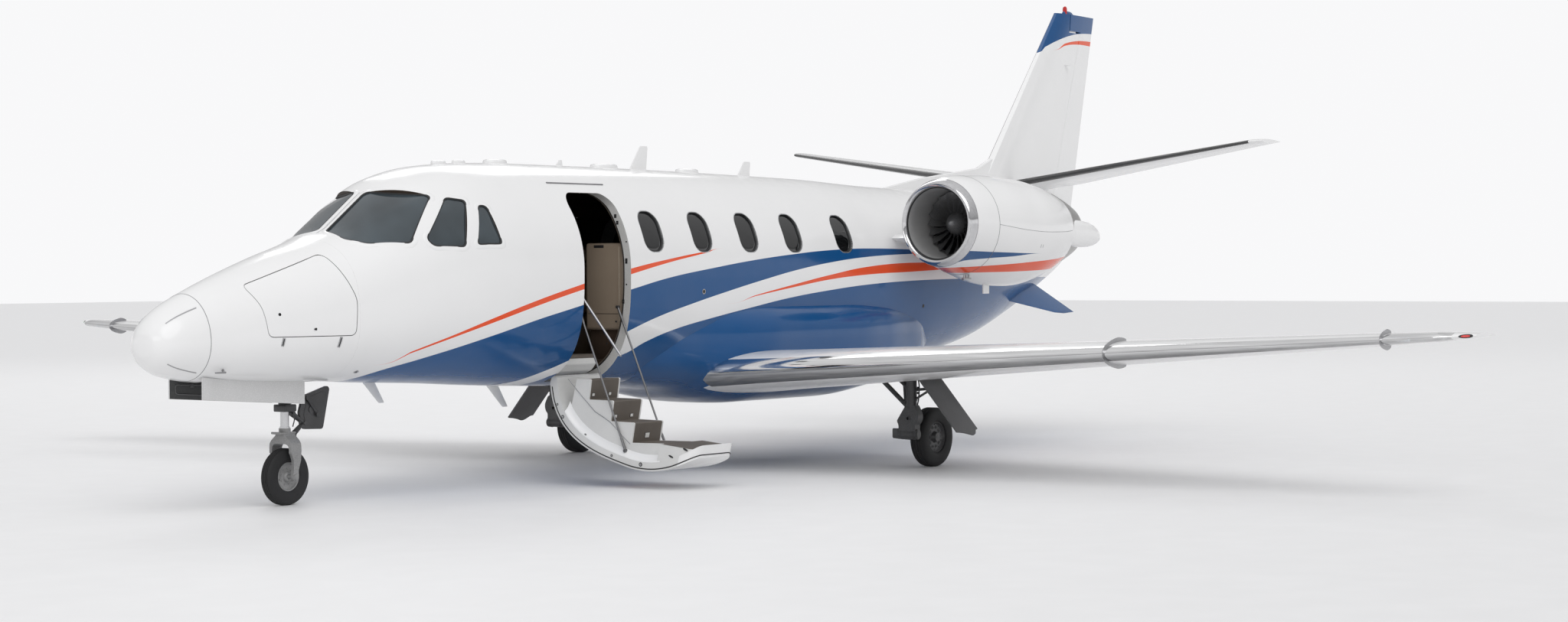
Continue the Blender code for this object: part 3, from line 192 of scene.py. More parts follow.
COWL_ORANGE_LOW = [(-1.60, 1.93), (-2.165, 1.941), (-2.595, 1.948), (-3.10, 1.962), (-3.76, 1.985)]
CAP_LOW = [(-6.30, 4.60), (-6.578, 4.697), (-6.852, 4.79), (-7.173, 4.868), (-7.406, 4.904),
           (-7.763, 4.927),
           (-7.90, 4.93)]
CAP_ORANGE_TOP = [(-6.706, 4.664), (-6.993, 4.753), (-7.265, 4.802), (-7.508, 4.823), (-7.80, 4.829)]
CAP_ORANGE_LOW = [(-6.706, 4.664), (-7.015, 4.731), (-7.289, 4.764), (-7.535, 4.773), (-7.80, 4.771)]
LIVERY_SPAN = (-8.0, 8.0)

# Airstair, measured where it is shut: step line, edge of its side ridge, and lights as riser ends and places
STEP_X = (2.94, 3.37)
STEP_LINE = [(0.366, 1.215), (0.321, 1.371), (0.511, 1.392), (0.440, 1.671), (0.631, 1.686), (0.565, 1.956),
             (0.752, 1.970), (0.654, 2.322)]
RIDGE = [(0.0005, 0.074), (0.001, 0.086), (0.006, 0.094), (0.016, 0.101), (0.030, 0.112), (0.041, 0.128),
         (0.0485, 0.147), (0.055, 0.147), (0.055, 0.070)]
STEP_LIGHTS = [
    ((0.321, 1.371), (0.511, 1.392), ((3.31, 0.74), (3.07, 0.74)), 0.034, 0.026),
    ((0.440, 1.671), (0.631, 1.686), ((3.305, 0.74), (3.07, 0.74)), 0.036, 0.027),
    ((0.565, 1.956), (0.752, 1.970), ((3.155, 0.64),), 0.058, 0.044),
]
RIB = [(3.3715, 0.714, 0.984), (3.3715, 0.879, 0.826), (3.3715, 1.030, 0.690), (3.3715, 1.130, 0.640),
       (3.3715, 1.206, 0.598), (3.3715, 1.270, 0.545), (3.3715, 1.327, 0.494), (3.3715, 1.435, 0.407)]
SILL = [(0.345, 1.03), (0.345, 1.188), (0.590, 1.194), (0.606, 1.184), (0.622, 1.15), (0.626, 1.11),
        (0.575, 1.05),
        (0.50, 1.014), (0.42, 1.0)]
SILL_X = (2.86, 3.415)
CABLES = (("front", (3.395, 0.881, 1.595), (3.388, 1.392, 0.345)),
          ("back", (2.775, 0.824, 1.640), (2.788, 1.395, 0.350)))
HANDRAIL = ((3.40, 0.848, 1.812), (3.40, 1.355, 1.208))

# Landing gear: nose wheel x and z; main wheel x, y and z; knuckle outline; lower edge of the leg door
NOSE_GEAR = (6.26, 0.24296)
MAIN_GEAR = (-0.41, 2.275, 0.29613)
KNUCKLE = [(2.245, 0.632), (2.345, 0.632), (2.372, 0.585), (2.392, 0.54), (2.392, 0.50), (2.378, 0.46),
           (2.356, 0.44),
           (2.356, 0.36), (2.160, 0.36), (2.160, 0.43), (2.140, 0.475), (2.19, 0.55)]
DOOR_EDGE = [(-0.33, -0.014), (-0.29, -0.006), (-0.262, 0.018), (-0.225, 0.046), (-0.175, 0.052),
             (-0.10, 0.030),
             (-0.02, 0.012), (0.07, 0.0)]
FLOOR_TOP = 1.1403
NOSE_DOOR_REACH = 0.11

# Along the wing: polished edge, stall fences, landing light and tip lamp
EDGE_Y = (0.80, 1.30, 7.85)
POLISH_END_Y = 8.44
FENCE_Y = (5.18, 7.83)
LANDING_LIGHT_Y = 8.01
TIP_LAMP_Y = 8.515

# Beacon on the fin: its foot, and its ends along x
BEACON_Z = 5.128
BEACON_X = (-7.16, -7.08)

# Camera and light
CAMERA_PLACE = (23.755, 17.6243, 2.0095)
CAMERA_TURN = (-2.5714, -0.0157, -0.0043)
CAMERA_LENS = 65.54
CAMERA_SHIFT = (-0.0859, 0.0)
SKY = ((-1.0, 0.80), (-0.02, 0.97), (0.105, 0.97), (0.13, 0.34), (0.24, 0.50), (0.50, 0.62), (1.0, 0.86))
SKY_STRENGTH = 0.97
SUN = ((20.0, 24.0, 34.0), 1.05, 0.9)
SOFTBOXES = (
    ("side", (26.0, 2.0, 9.0), (3.0, 0.0, 1.5), (9.0, 6.0), 300.0),
    ("back", (-20.0, -20.0, 20.0), (0.0, 0.0, 1.0), (16.0, 10.0), 900.0),
)


# Sizes and colours that a user would change

def length(name, description, default):
    return bpy.props.FloatProperty(name=name, description=description, default=default, unit="LENGTH")


def colour(name, description, default):
    return bpy.props.FloatVectorProperty(
        name=name, description=description, default=default, subtype="COLOR", min=0, max=1)


class JetSizes(bpy.types.PropertyGroup):
    seam_width: length("Seam width", "Width of the lines between skin panels", 0.005)
    window_rim: length("Window rim", "Width of the rim round a cabin window", 0.016)
    pane_frame: length("Pane frame", "Width of the riveted frame round a cockpit pane", 0.040)
    handrail: length("Handrail", "Diameter of the airstair's handrail", 0.022)


class JetColours(bpy.types.PropertyGroup):
    white: colour("White", "Main paint", (0.83, 0.83, 0.83))
    blue: colour("Blue", "Belly and sweep paint", (0.0005, 0.070, 0.225))
    orange: colour("Orange", "Stripe paint", (0.80, 0.078, 0.012))
    leather: colour("Leather", "Seats", (0.30, 0.22, 0.15))
    lining: colour("Lining", "Walls of the entrance", (0.050, 0.034, 0.024))


# Finishes

def new_material(name):
    material = bpy.data.materials.get(name)
    if material:
        return material, None
    material = bpy.data.materials.new(name)
    material.use_nodes = True
    return material, material.node_tree.nodes["Principled BSDF"]


def node(material, kind, **inputs):
    made = material.node_tree.nodes.new(kind)
    for key, value in inputs.items():
        made.inputs[key.replace("_", " ")].default_value = value
    return made


def wire(material, start, end):
    material.node_tree.links.new(start, end)


def object_place(material, turn=None):
    place = node(material, "ShaderNodeTexCoord").outputs["Object"]
    if turn:
        mapping = node(material, "ShaderNodeMapping")
        mapping.inputs["Location"].default_value = turn[0]
        mapping.inputs["Rotation"].default_value = turn[1]
        wire(material, place, mapping.inputs["Vector"])
        place = mapping.outputs["Vector"]
    return place


def noise(material, place, scale, detail=3.0, stretch=None):
    if stretch:
        mapping = node(material, "ShaderNodeMapping")
        mapping.inputs["Scale"].default_value = stretch
        wire(material, place, mapping.inputs["Vector"])
        place = mapping.outputs["Vector"]
    made = node(material, "ShaderNodeTexNoise", Scale=scale, Detail=detail)
    wire(material, place, made.inputs["Vector"])
    return made.outputs["Fac"]


def spread(material, value, low, high, from_low=0.3, from_high=0.7):
    made = node(material, "ShaderNodeMapRange")
    made.inputs["From Min"].default_value = from_low
    made.inputs["From Max"].default_value = from_high
    made.inputs["To Min"].default_value = low
    made.inputs["To Max"].default_value = high
    wire(material, value, made.inputs["Value"])
    return made.outputs["Result"]


def mixed(material, factor, first, second):
    made = material.node_tree.nodes.new("ShaderNodeMix")
    made.data_type = "RGBA"
    for socket, value in ((made.inputs[0], factor), (made.inputs[6], first), (made.inputs[7], second)):
        if isinstance(value, (tuple, list)):
            socket.default_value = value
        elif isinstance(value, float):
            socket.default_value = value
        else:
            wire(material, value, socket)
    return made.outputs[2]


def bumped(material, shader, height, strength, distance=0.002):
    bump = node(material, "ShaderNodeBump", Strength=strength, Distance=distance)
    wire(material, height, bump.inputs["Height"])
    wire(material, bump.outputs["Normal"], shader.inputs["Normal"])


def finish(name, colour, roughness=0.4, metallic=0.0, grain=120.0, bump=0.1, vary=0.08, rough_vary=0.08,
           coat=0.0,
           stretch=None, **sockets):
    """A finish with a slow change of shade, a change of gloss, and a fine grain in its bump."""
    material, shader = new_material(name)
    if shader is None:
        return material
    place = object_place(material)
    broad = noise(material, place, 3.0, 4.0)
    fine = noise(material, place, grain, 3.0, stretch)
    both = node(material, "ShaderNodeMath")
    both.operation = "MULTIPLY"
    wire(material, broad, both.inputs[0])
    wire(material, fine, both.inputs[1])
    dark = tuple(c * (1 - vary) for c in colour) + (1.0,)
    light = tuple(min(1.0, c * (1 + vary)) for c in colour) + (1.0,)
    wire(material, mixed(material, spread(material, both.outputs[0], 0, 1, 0.15, 0.38), dark, light),
         shader.inputs["Base Color"])
    wire(material, spread(material, fine, max(0.02, roughness - rough_vary),
                          min(1.0, roughness + rough_vary)),
         shader.inputs["Roughness"])
    shader.inputs["Metallic"].default_value = metallic
    if coat:
        shader.inputs["Coat Weight"].default_value = coat
        shader.inputs["Coat Roughness"].default_value = 0.06
    for key, value in sockets.items():
        shader.inputs[key.replace("_", " ")].default_value = value
    if bump:
        bumped(material, shader, fine, bump)
    return material


def paint_line(material, x_share, points, heights):
    """The height of a paint edge at x, as a share of the range of heights."""
    made = material.node_tree.nodes.new("ShaderNodeFloatCurve")
    curve = made.mapping.curves[0]
    low, high = LIVERY_SPAN
    placed = sorted(((x - low) / (high - low), (z - heights[0]) / (heights[1] - heights[0])) for x,
                    z in points)
    made.mapping.use_clip = False
    curve.points[0].location = (0.0, placed[0][1])
    curve.points[1].location = (1.0, placed[-1][1])
    for spot in placed:
        curve.points.new(*spot)
    for point in curve.points:
        point.handle_type = "AUTO_CLAMPED"
    made.mapping.update()
    wire(material, x_share, made.inputs["Value"])
    return made.outputs["Value"]


def maths(material, operation, *values, clamp=False):
    made = material.node_tree.nodes.new("ShaderNodeMath")
    made.operation = operation
    made.use_clamp = clamp
    for socket, value in zip(made.inputs, values):
        if isinstance(value, (int, float)):
            socket.default_value = value
        else:
            wire(material, value, socket)
    return made.outputs[0]


def above(material, z_share, line):
    """1 above a paint edge and 0 below it, with an edge of about a millimetre."""
    return maths(material, "MULTIPLY_ADD", maths(material, "SUBTRACT", z_share, line), 1200.0, 0.5,
                 clamp=True)


def stripe(material, x, z_share, low, high, heights, x_share, reach=None):
    """Where a stripe lies: over its lower edge, under its upper edge, and between its ends."""
    parts = []
    if low:
        parts.append(above(material, z_share, paint_line(material, x_share, low, heights)))
    if high:
        parts.append(maths(material, "SUBTRACT", 1.0,
                           above(material, z_share, paint_line(material, x_share, high, heights))))
    if reach:
        parts.append(maths(material, "GREATER_THAN", x, reach[0]))
        parts.append(maths(material, "LESS_THAN", x, reach[1]))
    result = parts[0]
    for part in parts[1:]:
        result = maths(material, "MULTIPLY", result, part)
    return result


def skin_paint(name, stripes, heights=(0.6, 2.6), turn=None):
    """Gloss paint with its stripes, given as colour and a list of (lower edge, upper edge, reach along x)."""
    material, shader = new_material(name)
    if shader is None:
        return material
    colours = bpy.context.scene.jet_colours
    place = object_place(material, turn)
    split = node(material, "ShaderNodeSeparateXYZ")
    wire(material, place, split.inputs[0])
    x, z = split.outputs[0], split.outputs[2]
    x_share = spread(material, x, 0, 1, *LIVERY_SPAN)
    z_share = spread(material, z, 0, 1, *heights)
    colour = (*colours.white, 1.0)
    for tint, pieces in stripes:
        mask = None
        for low, high, reach in pieces:
            part = stripe(material, x, z_share, low, high, heights, x_share, reach)
            mask = part if mask is None else maths(material, "MAXIMUM", mask, part)
        colour = mixed(material, mask, colour, (*tint, 1.0)) if mask else colour
    dust = noise(material, place, 1.7, 5.0)
    shade = mixed(material, spread(material, dust, 0.0, 0.035), colour, (0.42, 0.43, 0.44, 1.0))
    wire(material, shade, shader.inputs["Base Color"])
    wire(material, spread(material, noise(material, place, 9.0, 6.0), 0.16, 0.26),
         shader.inputs["Roughness"])
    shader.inputs["Coat Weight"].default_value = 0.35
    shader.inputs["Coat Roughness"].default_value = 0.05
    shader.inputs["Specular IOR Level"].default_value = 0.25
    bumped(material, shader, noise(material, place, 60.0, 2.0), 0.008, 0.001)
    return material


def body_paint(name="body_paint", turn=None):
    colours = bpy.context.scene.jet_colours
    return skin_paint(name, [
        (tuple(colours.blue), [(BLUE_LOW, BLUE_TOP, (-3.3, 8.0)), (None, BELLY_TOP, None)]),
        (tuple(colours.orange), [(ORANGE_LOW, ORANGE_TOP, (1.29, 5.737)),
                                 (AFT_ORANGE_LOW, AFT_ORANGE_TOP, (-4.2, 1.23))]),
    ], turn=turn)


def cowl_paint():
    colours = bpy.context.scene.jet_colours
    return skin_paint("cowl_paint", [
        (tuple(colours.blue), [(COWL_BLUE_LOW, COWL_BLUE_TOP, (-2.911, -1.0))]),
        (tuple(colours.orange), [(COWL_ORANGE_LOW, COWL_ORANGE_TOP, (-4.0, -1.0))]),
    ])


def fin_paint():
    colours = bpy.context.scene.jet_colours
    return skin_paint("fin_paint", [
        (tuple(colours.blue), [(CAP_LOW, None, None)]),
        (tuple(colours.orange), [(CAP_ORANGE_LOW, CAP_ORANGE_TOP, (-8.0, -6.706))]),
    ], heights=(4.4, 5.4))


def white_paint():
    return skin_paint("white_gloss", [])


def chrome():
    return finish("polished_edge", (0.62, 0.62, 0.63), 0.08, 1.0, grain=40.0, bump=0.015, vary=0.06,
                  rough_vary=0.03)


def wing_polish():
    """Polished leading edge with painted shade and highlight: darker below the nose of the section and
    lighter above it, standing in for its reflections, with fine rubbing marks along the span.
    """
    material, shader = new_material("wing_edge_polish")
    if shader is None:
        return material
    place = object_place(material)
    split = node(material, "ShaderNodeSeparateXYZ")
    wire(material, place, split.inputs[0])
    reach = maths(material, "ABSOLUTE", split.outputs[1])
    level = maths(material, "SUBTRACT", split.outputs[2], maths(material, "MULTIPLY", reach, DIHEDRAL))
    # Painted reflection: this share mixes the painted shade below the nose of the section into the painted
    # highlight above it.
    share = spread(material, level, 0.0, 1.0, WING_Z - 0.045, WING_Z + 0.015)
    marks = spread(material, noise(material, place, 26.0, 5.0, (1.0, 0.03, 1.0)), 0.0, 1.0)
    painted_shade_below = mixed(material, marks, (0.26, 0.26, 0.265, 1.0), (0.44, 0.44, 0.445, 1.0))
    bright = mixed(material, marks, (0.66, 0.66, 0.665, 1.0), (0.88, 0.88, 0.88, 1.0))
    wire(material, mixed(material, share, painted_shade_below, bright), shader.inputs["Base Color"])
    wire(material, spread(material, noise(material, place, 30.0, 4.0), 0.07, 0.13),
         shader.inputs["Roughness"])
    shader.inputs["Metallic"].default_value = 1.0
    bumped(material, shader, noise(material, place, 40.0, 2.0, (1.0, 0.1, 1.0)), 0.02, 0.001)
    return material


def satin_metal():
    return finish("satin_metal", (0.42, 0.42, 0.43), 0.32, 1.0, grain=220.0, bump=0.05, vary=0.12,
                  stretch=(1, 1, 8))


def dark_metal():
    return finish("dark_metal", (0.045, 0.045, 0.048), 0.36, 0.85, grain=150.0, bump=0.05, vary=0.2)


def duct_grey():
    return finish("duct_grey", (0.36, 0.36, 0.36), 0.38, 0.2, grain=90.0, bump=0.04, vary=0.06)


def gear_dark():
    return finish("gear_dark_paint", (0.050, 0.050, 0.052), 0.42, 0.0, grain=130.0, bump=0.15, vary=0.3,
                  coat=0.2)


def gear_light():
    return finish("gear_light_paint", (0.25, 0.25, 0.25), 0.35, 0.0, grain=130.0, bump=0.12, vary=0.18,
                  coat=0.3)


def tyre_rubber():
    return finish("tyre_rubber", (0.016, 0.016, 0.017), 0.72, 0.0, grain=180.0, bump=0.35, vary=0.35)


def seal_rubber():
    return finish("seal_rubber", (0.018, 0.018, 0.019), 0.55, 0.0, grain=220.0, bump=0.15, vary=0.25)


def boot_rubber():
    return finish("boot_rubber", (0.012, 0.012, 0.013), 0.38, 0.0, grain=60.0, bump=0.06, vary=0.25,
                  coat=0.25)


def seam_line():
    return finish("seam_shadow", (0.22, 0.22, 0.23), 0.6, 0.0, grain=90.0, bump=0.05, vary=0.25)


def trim_grey():
    return finish("door_jamb_paint", (0.58, 0.575, 0.56), 0.4, 0.0, grain=110.0, bump=0.08, vary=0.08,
                  coat=0.2)


def moulded_white():
    return finish("moulded_plastic", (0.66, 0.66, 0.65), 0.38, 0.0, grain=260.0, bump=0.10, vary=0.05,
                  coat=0.15)


def riser_brown():
    return finish("riser_covering", (0.115, 0.098, 0.082), 0.6, 0.0, grain=420.0, bump=0.35, vary=0.15)


def dark_glass(name="cabin_window_glass", colour=(0.006, 0.0065, 0.007), alpha=0.96):
    material, shader = new_material(name)
    if shader is None:
        return material
    place = object_place(material)
    tint = spread(material, noise(material, place, 2.2, 2.0), 0.0, 1.0)
    wire(material, mixed(material, tint, (*[c * 0.7 for c in colour], 1.0),
                         (*[c * 1.5 for c in colour], 1.0)),
         shader.inputs["Base Color"])
    wire(material, spread(material, noise(material, place, 14.0, 3.0), 0.02, 0.06),
         shader.inputs["Roughness"])
    shader.inputs["Coat Weight"].default_value = 0.5
    shader.inputs["Coat Roughness"].default_value = 0.02
    shader.inputs["Alpha"].default_value = alpha
    return material


# Shapes of the aircraft

def smooth_table(rows, x):
    """Read a table of rows at x by a curve through its values, with no overshoot between them."""
    if x <= rows[0][0]:
        return list(rows[0][1:])
    if x >= rows[-1][0]:
        return list(rows[-1][1:])
    index = max(i for i, row in enumerate(rows[:-1]) if row[0] <= x)
    low, high = rows[index], rows[index + 1]
    width = high[0] - low[0]
    t = (x - low[0]) / width
    values = []
    for k in range(1, len(low)):
        rise = (high[k] - low[k]) / width
        slopes = []
        for i in (index, index + 1):
            if i in (0, len(rows) - 1):
                slopes.append(rise * width)
                continue
            before = (rows[i][k] - rows[i - 1][k]) / (rows[i][0] - rows[i - 1][0])
            after = (rows[i + 1][k] - rows[i][k]) / (rows[i + 1][0] - rows[i][0])
            slopes.append(0.0 if before * after <= 0 else 2 * before * after / (before + after) * width)
        values.append((2 * t**3 - 3 * t**2 + 1) * low[k] + (t**3 - 2 * t**2 + t) * slopes[0]
                      + (3 * t**2 - 2 * t**3) * high[k] + (t**3 - t**2) * slopes[1])
    return values


STATION_ROWS = sorted(STATIONS)
COWL_ROWS = sorted(COWL)
DUCT_ROWS = sorted(DUCT)
FAIRING_ROWS = sorted(FAIRING)


@functools.lru_cache(maxsize=None)
def hull_row(x):
    return tuple(smooth_table(STATION_ROWS, x))


def hull_section(x, inset=0.0, points=144):
    half, top, bottom, widest, low_n, high_n = hull_row(round(x, 5))
    half = max(half - inset, 0.004)
    top = max(top - inset, widest + 0.004)
    bottom = min(bottom + inset, widest - 0.004)
    ring = []
    for i in range(points):
        t = 2 * math.pi * (i + 0.5) / points
        c, s = math.cos(t), math.sin(t)
        n = high_n if s >= 0 else low_n
        reach = top - widest if s >= 0 else widest - bottom
        ring.append((x, half * math.copysign(abs(c) ** (2 / n), c),
                     widest + reach * math.copysign(abs(s) ** (2 / n), s)))
    return ring


def hull_level(x, y, z):
    """1 on the skin, less inside it and more outside."""
    half, top, bottom, widest, low_n, high_n = hull_row(round(x, 5))
    n = high_n if z >= widest else low_n
    reach = max(top - widest if z >= widest else widest - bottom, 1e-4)
    return (abs(y) / max(half, 1e-4)) ** n + (abs(z - widest) / reach) ** n


def hull_normal(point):
    x, y, z = point
    step = 0.0005
    slope = (hull_level(x + 0.004, y, z) - hull_level(x - 0.004, y, z)) / 0.008
    across = (hull_level(x, y + step, z) - hull_level(x, y - step, z)) / (2 * step)
    up = (hull_level(x, y, z + step) - hull_level(x, y, z - step)) / (2 * step)
    normal = Vector((slope, across, up))
    return normal.normalized() if normal.length > 1e-9 else Vector((1, 0, 0))


def hull_side(x, z):
    """Half width of the skin at a station and height."""
    half, top, bottom, widest, low_n, high_n = hull_row(round(x, 5))
    n = high_n if z >= widest else low_n
    reach = top - widest if z >= widest else widest - bottom
    share = min(abs(z - widest) / reach, 1.0)
    return half * (1 - share**n) ** (1 / n)


def between(rows, at):
    for low, high in zip(rows, rows[1:]):
        if at <= high[0] or high is rows[-1]:
            t = (at - low[0]) / (high[0] - low[0])
            return [a + (b - a) * t for a, b in zip(low[1:], high[1:])]


def airfoil(lead, trail, thickness, camber=0.0, points=32):
    """Outline of a wing section as (along, up) pairs, from the trailing edge over the top and back below."""
    chord = trail[0] - lead[0]
    size = abs(chord)
    outline = []
    for side in (1, -1):
        for k in range(1 if side < 0 else 0, points + 1):
            share = 0.5 + 0.5 * side * math.cos(math.pi * k / points)
            half = 5 * thickness * size * (0.2969 * math.sqrt(share) - 0.126 * share - 0.3516 * share**2
                                           + 0.2843 * share**3 - 0.1036 * share**4) + 0.002 * share
            middle = lead[1] + (trail[1] - lead[1]) * share + 4 * camber * size * share * (1 - share)
            outline.append((lead[0] + chord * share, middle + side * half))
    return outline


def turns(count, shift=0):
    """Angles of equally many steps round a full turn."""
    return [2 * math.pi * (k + shift) / count for k in range(count)]


def unit_foil(points):
    """A symmetrical section, one long and one thick."""
    return airfoil((0.5, 0.0), (-0.5, 0.0), 1.0, 0.0, points)


def circle(centre, radius, points, start=0.0, end=2 * math.pi):
    full = abs(end - start - 2 * math.pi) < 1e-6
    steps = points if full else points - 1
    angles = [start + (end - start) * i / steps for i in range(points)]
    return [(centre[0] + radius * math.cos(t), centre[1] + radius * math.sin(t)) for t in angles]


def rounded(width, height, corner, points=8):
    outline = []
    for cx, cy, start in ((1, 1, 0), (-1, 1, 90), (-1, -1, 180), (1, -1, 270)):
        centre = (cx * (width / 2 - corner), cy * (height / 2 - corner))
        outline += circle(centre, corner, points, math.radians(start), math.radians(start + 90))
    return outline


def soft_corners(ring, reach, points=6):
    """A closed ring of 3-D points with each corner replaced by a short curve."""
    result = []
    count = len(ring)
    for i in range(count):
        before, corner, after = (Vector(ring[(i + k) % count]) for k in (-1, 0, 1))
        first = corner + (before - corner).normalized() * min(reach, (before - corner).length * 0.45)
        last = corner + (after - corner).normalized() * min(reach, (after - corner).length * 0.45)
        for step in range(points + 1):
            t = step / points
            result.append(first * (1 - t) ** 2 + corner * 2 * t * (1 - t) + last * t**2)
    return result


def soft_outline(outline, reach, points=6):
    return [(p.x, p.y) for p in soft_corners([(a, b, 0.0) for a, b in outline], reach, points)]


def grown(outline, margin):
    """Move each side of a convex outline out by a margin."""
    count = len(outline)
    area = sum(outline[i - 1][0] * outline[i][1] - outline[i][0] * outline[i - 1][1] for i in range(count))
    turn = 1 if area > 0 else -1
    result = []
    for i in range(count):
        before, here, after = (Vector(outline[(i + k) % count]) for k in (-1, 0, 1))
        normals = []
        for d in (here - before, after - here):
            normals.append(Vector((d.y, -d.x)).normalized() * turn if d.length > 1e-9 else Vector((0, 0)))
        middle = (normals[0] + normals[1]).normalized()
        result.append(tuple(here + middle * (margin / max(middle.dot(normals[0]), 0.3))))
    return result


# Mesh helpers

def mesh_object(name, bm, *materials, recalc=True):
    if recalc:
        bmesh.ops.recalc_face_normals(bm, faces=bm.faces[:])
    mesh = bpy.data.meshes.new(name)
    bm.to_mesh(mesh)
    bm.free()
    obj = bpy.data.objects.new(name, mesh)
    bpy.context.scene.collection.objects.link(obj)
    for material in materials:
        mesh.materials.append(material)
    return obj


def smooth(obj, angle=35):
    obj.data.shade_smooth()
    obj.data.set_sharp_from_angle(angle=math.radians(angle))
    return obj


def roll_up(bm, rings, closed=False, ends=True, across=True):
    """Skin rings of equally many points, rolled across each ring and closed end to end where asked."""
    rings = [[Vector(p) for p in ring] for ring in rings]
    if closed:
        rings = [*rings, rings[0]]
    count, length = len(rings[0]), len(rings) - 1
    wide = count if across else count - 1
    before = set(bm.verts)
    bmesh.ops.create_grid(bm, x_segments=wide, y_segments=length, size=1.0)
    made = [v for v in bm.verts if v not in before]
    for v in made:
        i = round((v.co.x + 1) / 2 * wide) % count if across else round((v.co.x + 1) / 2 * wide)
        v.co = rings[round((v.co.y + 1) / 2 * length)][i]
    bmesh.ops.remove_doubles(bm, verts=made, dist=1e-5)
    made = [v for v in made if v.is_valid]
    if ends and not closed:
        edges = {e for v in made for e in v.link_edges if e.is_boundary}
        bmesh.ops.holes_fill(bm, edges=list(edges), sides=0)
    return made


def loft(name, rings, *materials, closed=False, ends=True):
    bm = bmesh.new()
    roll_up(bm, rings, closed, ends)
    return mesh_object(name, bm, *materials)


def prism(name, outline, low, high, axis, *materials):
    def at(a, b, c):
        return {"x": (c, a, b), "y": (a, c, b), "z": (a, b, c)}[axis]

    return loft(name, [[at(a, b, low) for a, b in outline], [at(a, b, high) for a, b in outline]],
                *materials)


def block(name, low, high, *materials, bevel=0.0, segments=2):
    """A box between two corners with soft edges."""
    bm = bmesh.new()
    add_block(bm, low, high, bevel, segments)
    return mesh_object(name, bm, *materials)


def add_block(bm, low, high, bevel=0.0, segments=2):
    low, high = Vector(low), Vector(high)
    size = high - low
    matrix = Matrix.Translation((low + high) / 2) @ Matrix.Diagonal((*size, 1))
    made = bmesh.ops.create_cube(bm, size=1.0, matrix=matrix)["verts"]
    if bevel:
        edges = list(dict.fromkeys(e for v in made for e in v.link_edges))
        made = bmesh.ops.bevel(bm, geom=edges, offset=bevel, segments=segments, profile=0.5, affect="EDGES",
                               material=-1)["verts"]
    return made


def add_bar(bm, start, end, radius, points=16, end_radius=None):
    """A round bar between two points."""
    start, end = Vector(start), Vector(end)
    along = end - start
    matrix = Matrix.Translation((start + end) / 2) @ along.to_track_quat("Z", "Y").to_matrix().to_4x4()
    return bmesh.ops.create_cone(bm, cap_ends=True, segments=points, radius1=radius,
                                 radius2=radius if end_radius is None else end_radius, depth=along.length,
                                 matrix=matrix)["verts"]


def add_pipe(bm, path, radius, points=12):
    """A round pipe along a path of points."""
    path = [Vector(p) for p in path]
    rings = []
    side = None
    for i, p in enumerate(path):
        along = (path[min(i + 1, len(path) - 1)] - path[max(i - 1, 0)]).normalized()
        side = along.orthogonal() if side is None else side - along * side.dot(along)
        side.normalize()
        other = along.cross(side)
        rings.append([p + side * radius * math.cos(t) + other * radius * math.sin(t)
                      for t in turns(points)])
    return roll_up(bm, rings)


def add_turned(bm, profile, centre, axis="y", steps=64):
    """Turn a closed profile of (distance along the axis, radius) pairs about an axis through centre."""
    centre = Vector(centre)
    place = {"x": lambda a, r: Vector((a, r, 0)), "y": lambda a, r: Vector((r, a, 0)), "z": lambda a,
             r: Vector((r, 0, a))}
    verts = [bm.verts.new(centre + place[axis](a, r)) for a, r in profile]
    edges = [bm.edges.new((verts[i], verts[(i + 1) % len(verts)])) for i in range(len(verts))]
    direction = {"x": (1, 0, 0), "y": (0, 1, 0), "z": (0, 0, 1)}[axis]
    bmesh.ops.spin(bm, geom=verts + edges, cent=centre, axis=direction, angle=2 * math.pi, steps=steps,
                   use_merge=True)


def curve_points(points, steps=10):
    """A smooth path through a few points."""
    points = [Vector(p) for p in points]
    padded = [points[0] * 2 - points[1], *points, points[-1] * 2 - points[-2]]
    result = []
    for a, b, c, d in zip(padded, padded[1:], padded[2:], padded[3:]):
        for k in range(steps):
            t = k / steps
            result.append(0.5 * (2 * b + (c - a) * t + (2 * a - 5 * b + 4 * c - d) * t**2
                                 + (3 * b - a - 3 * c + d) * t**3))
    return [*result, points[-1]]


def boolean(obj, other, operation):
    modifier = obj.modifiers.new(operation.lower(), "BOOLEAN")
    modifier.operation = operation
    modifier.solver = "EXACT"
    modifier.object = other
    graph = bpy.context.evaluated_depsgraph_get()
    mesh = bpy.data.meshes.new_from_object(obj.evaluated_get(graph))
    obj.modifiers.clear()
    old = obj.data
    obj.data = mesh
    bpy.data.meshes.remove(old)
    return obj


def cut(obj, *others):
    for other in others:
        boolean(obj, other, "DIFFERENCE")
        bpy.data.objects.remove(other, do_unlink=True)
    return obj


def keep(obj, other):
    boolean(obj, other, "INTERSECT")
    bpy.data.objects.remove(other, do_unlink=True)
    return obj


def weld(obj, *others):
    for other in others:
        boolean(obj, other, "UNION")
        bpy.data.objects.remove(other, do_unlink=True)
    return obj


def joined(name, *objs):
    """One piece of several, keeping each one's materials."""
    bm = bmesh.new()
    materials = []
    for obj in objs:
        own = list(obj.data.materials)
        start = len(bm.faces)
        bm.from_mesh(obj.data)
        bm.faces.ensure_lookup_table()
        for material in own:
            if material not in materials:
                materials.append(material)
        for face in bm.faces[start:] if own else ():
            face.material_index = materials.index(own[min(face.material_index, len(own) - 1)])
        bpy.data.objects.remove(obj, do_unlink=True)
    return mesh_object(name, bm, *materials, recalc=False)


def mirrored(obj, name):
    bm = bmesh.new()
    bm.from_mesh(obj.data)
    bmesh.ops.transform(bm, matrix=Matrix.Diagonal((1, -1, 1, 1)), verts=bm.verts[:])
    bmesh.ops.reverse_faces(bm, faces=bm.faces[:])
    copy = mesh_object(name, bm, *obj.data.materials, recalc=False)
    return copy


def ride_on(obj, body, slot, *nodes):
    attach(obj, body)
    if nodes:
        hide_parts(*nodes)
    return obj


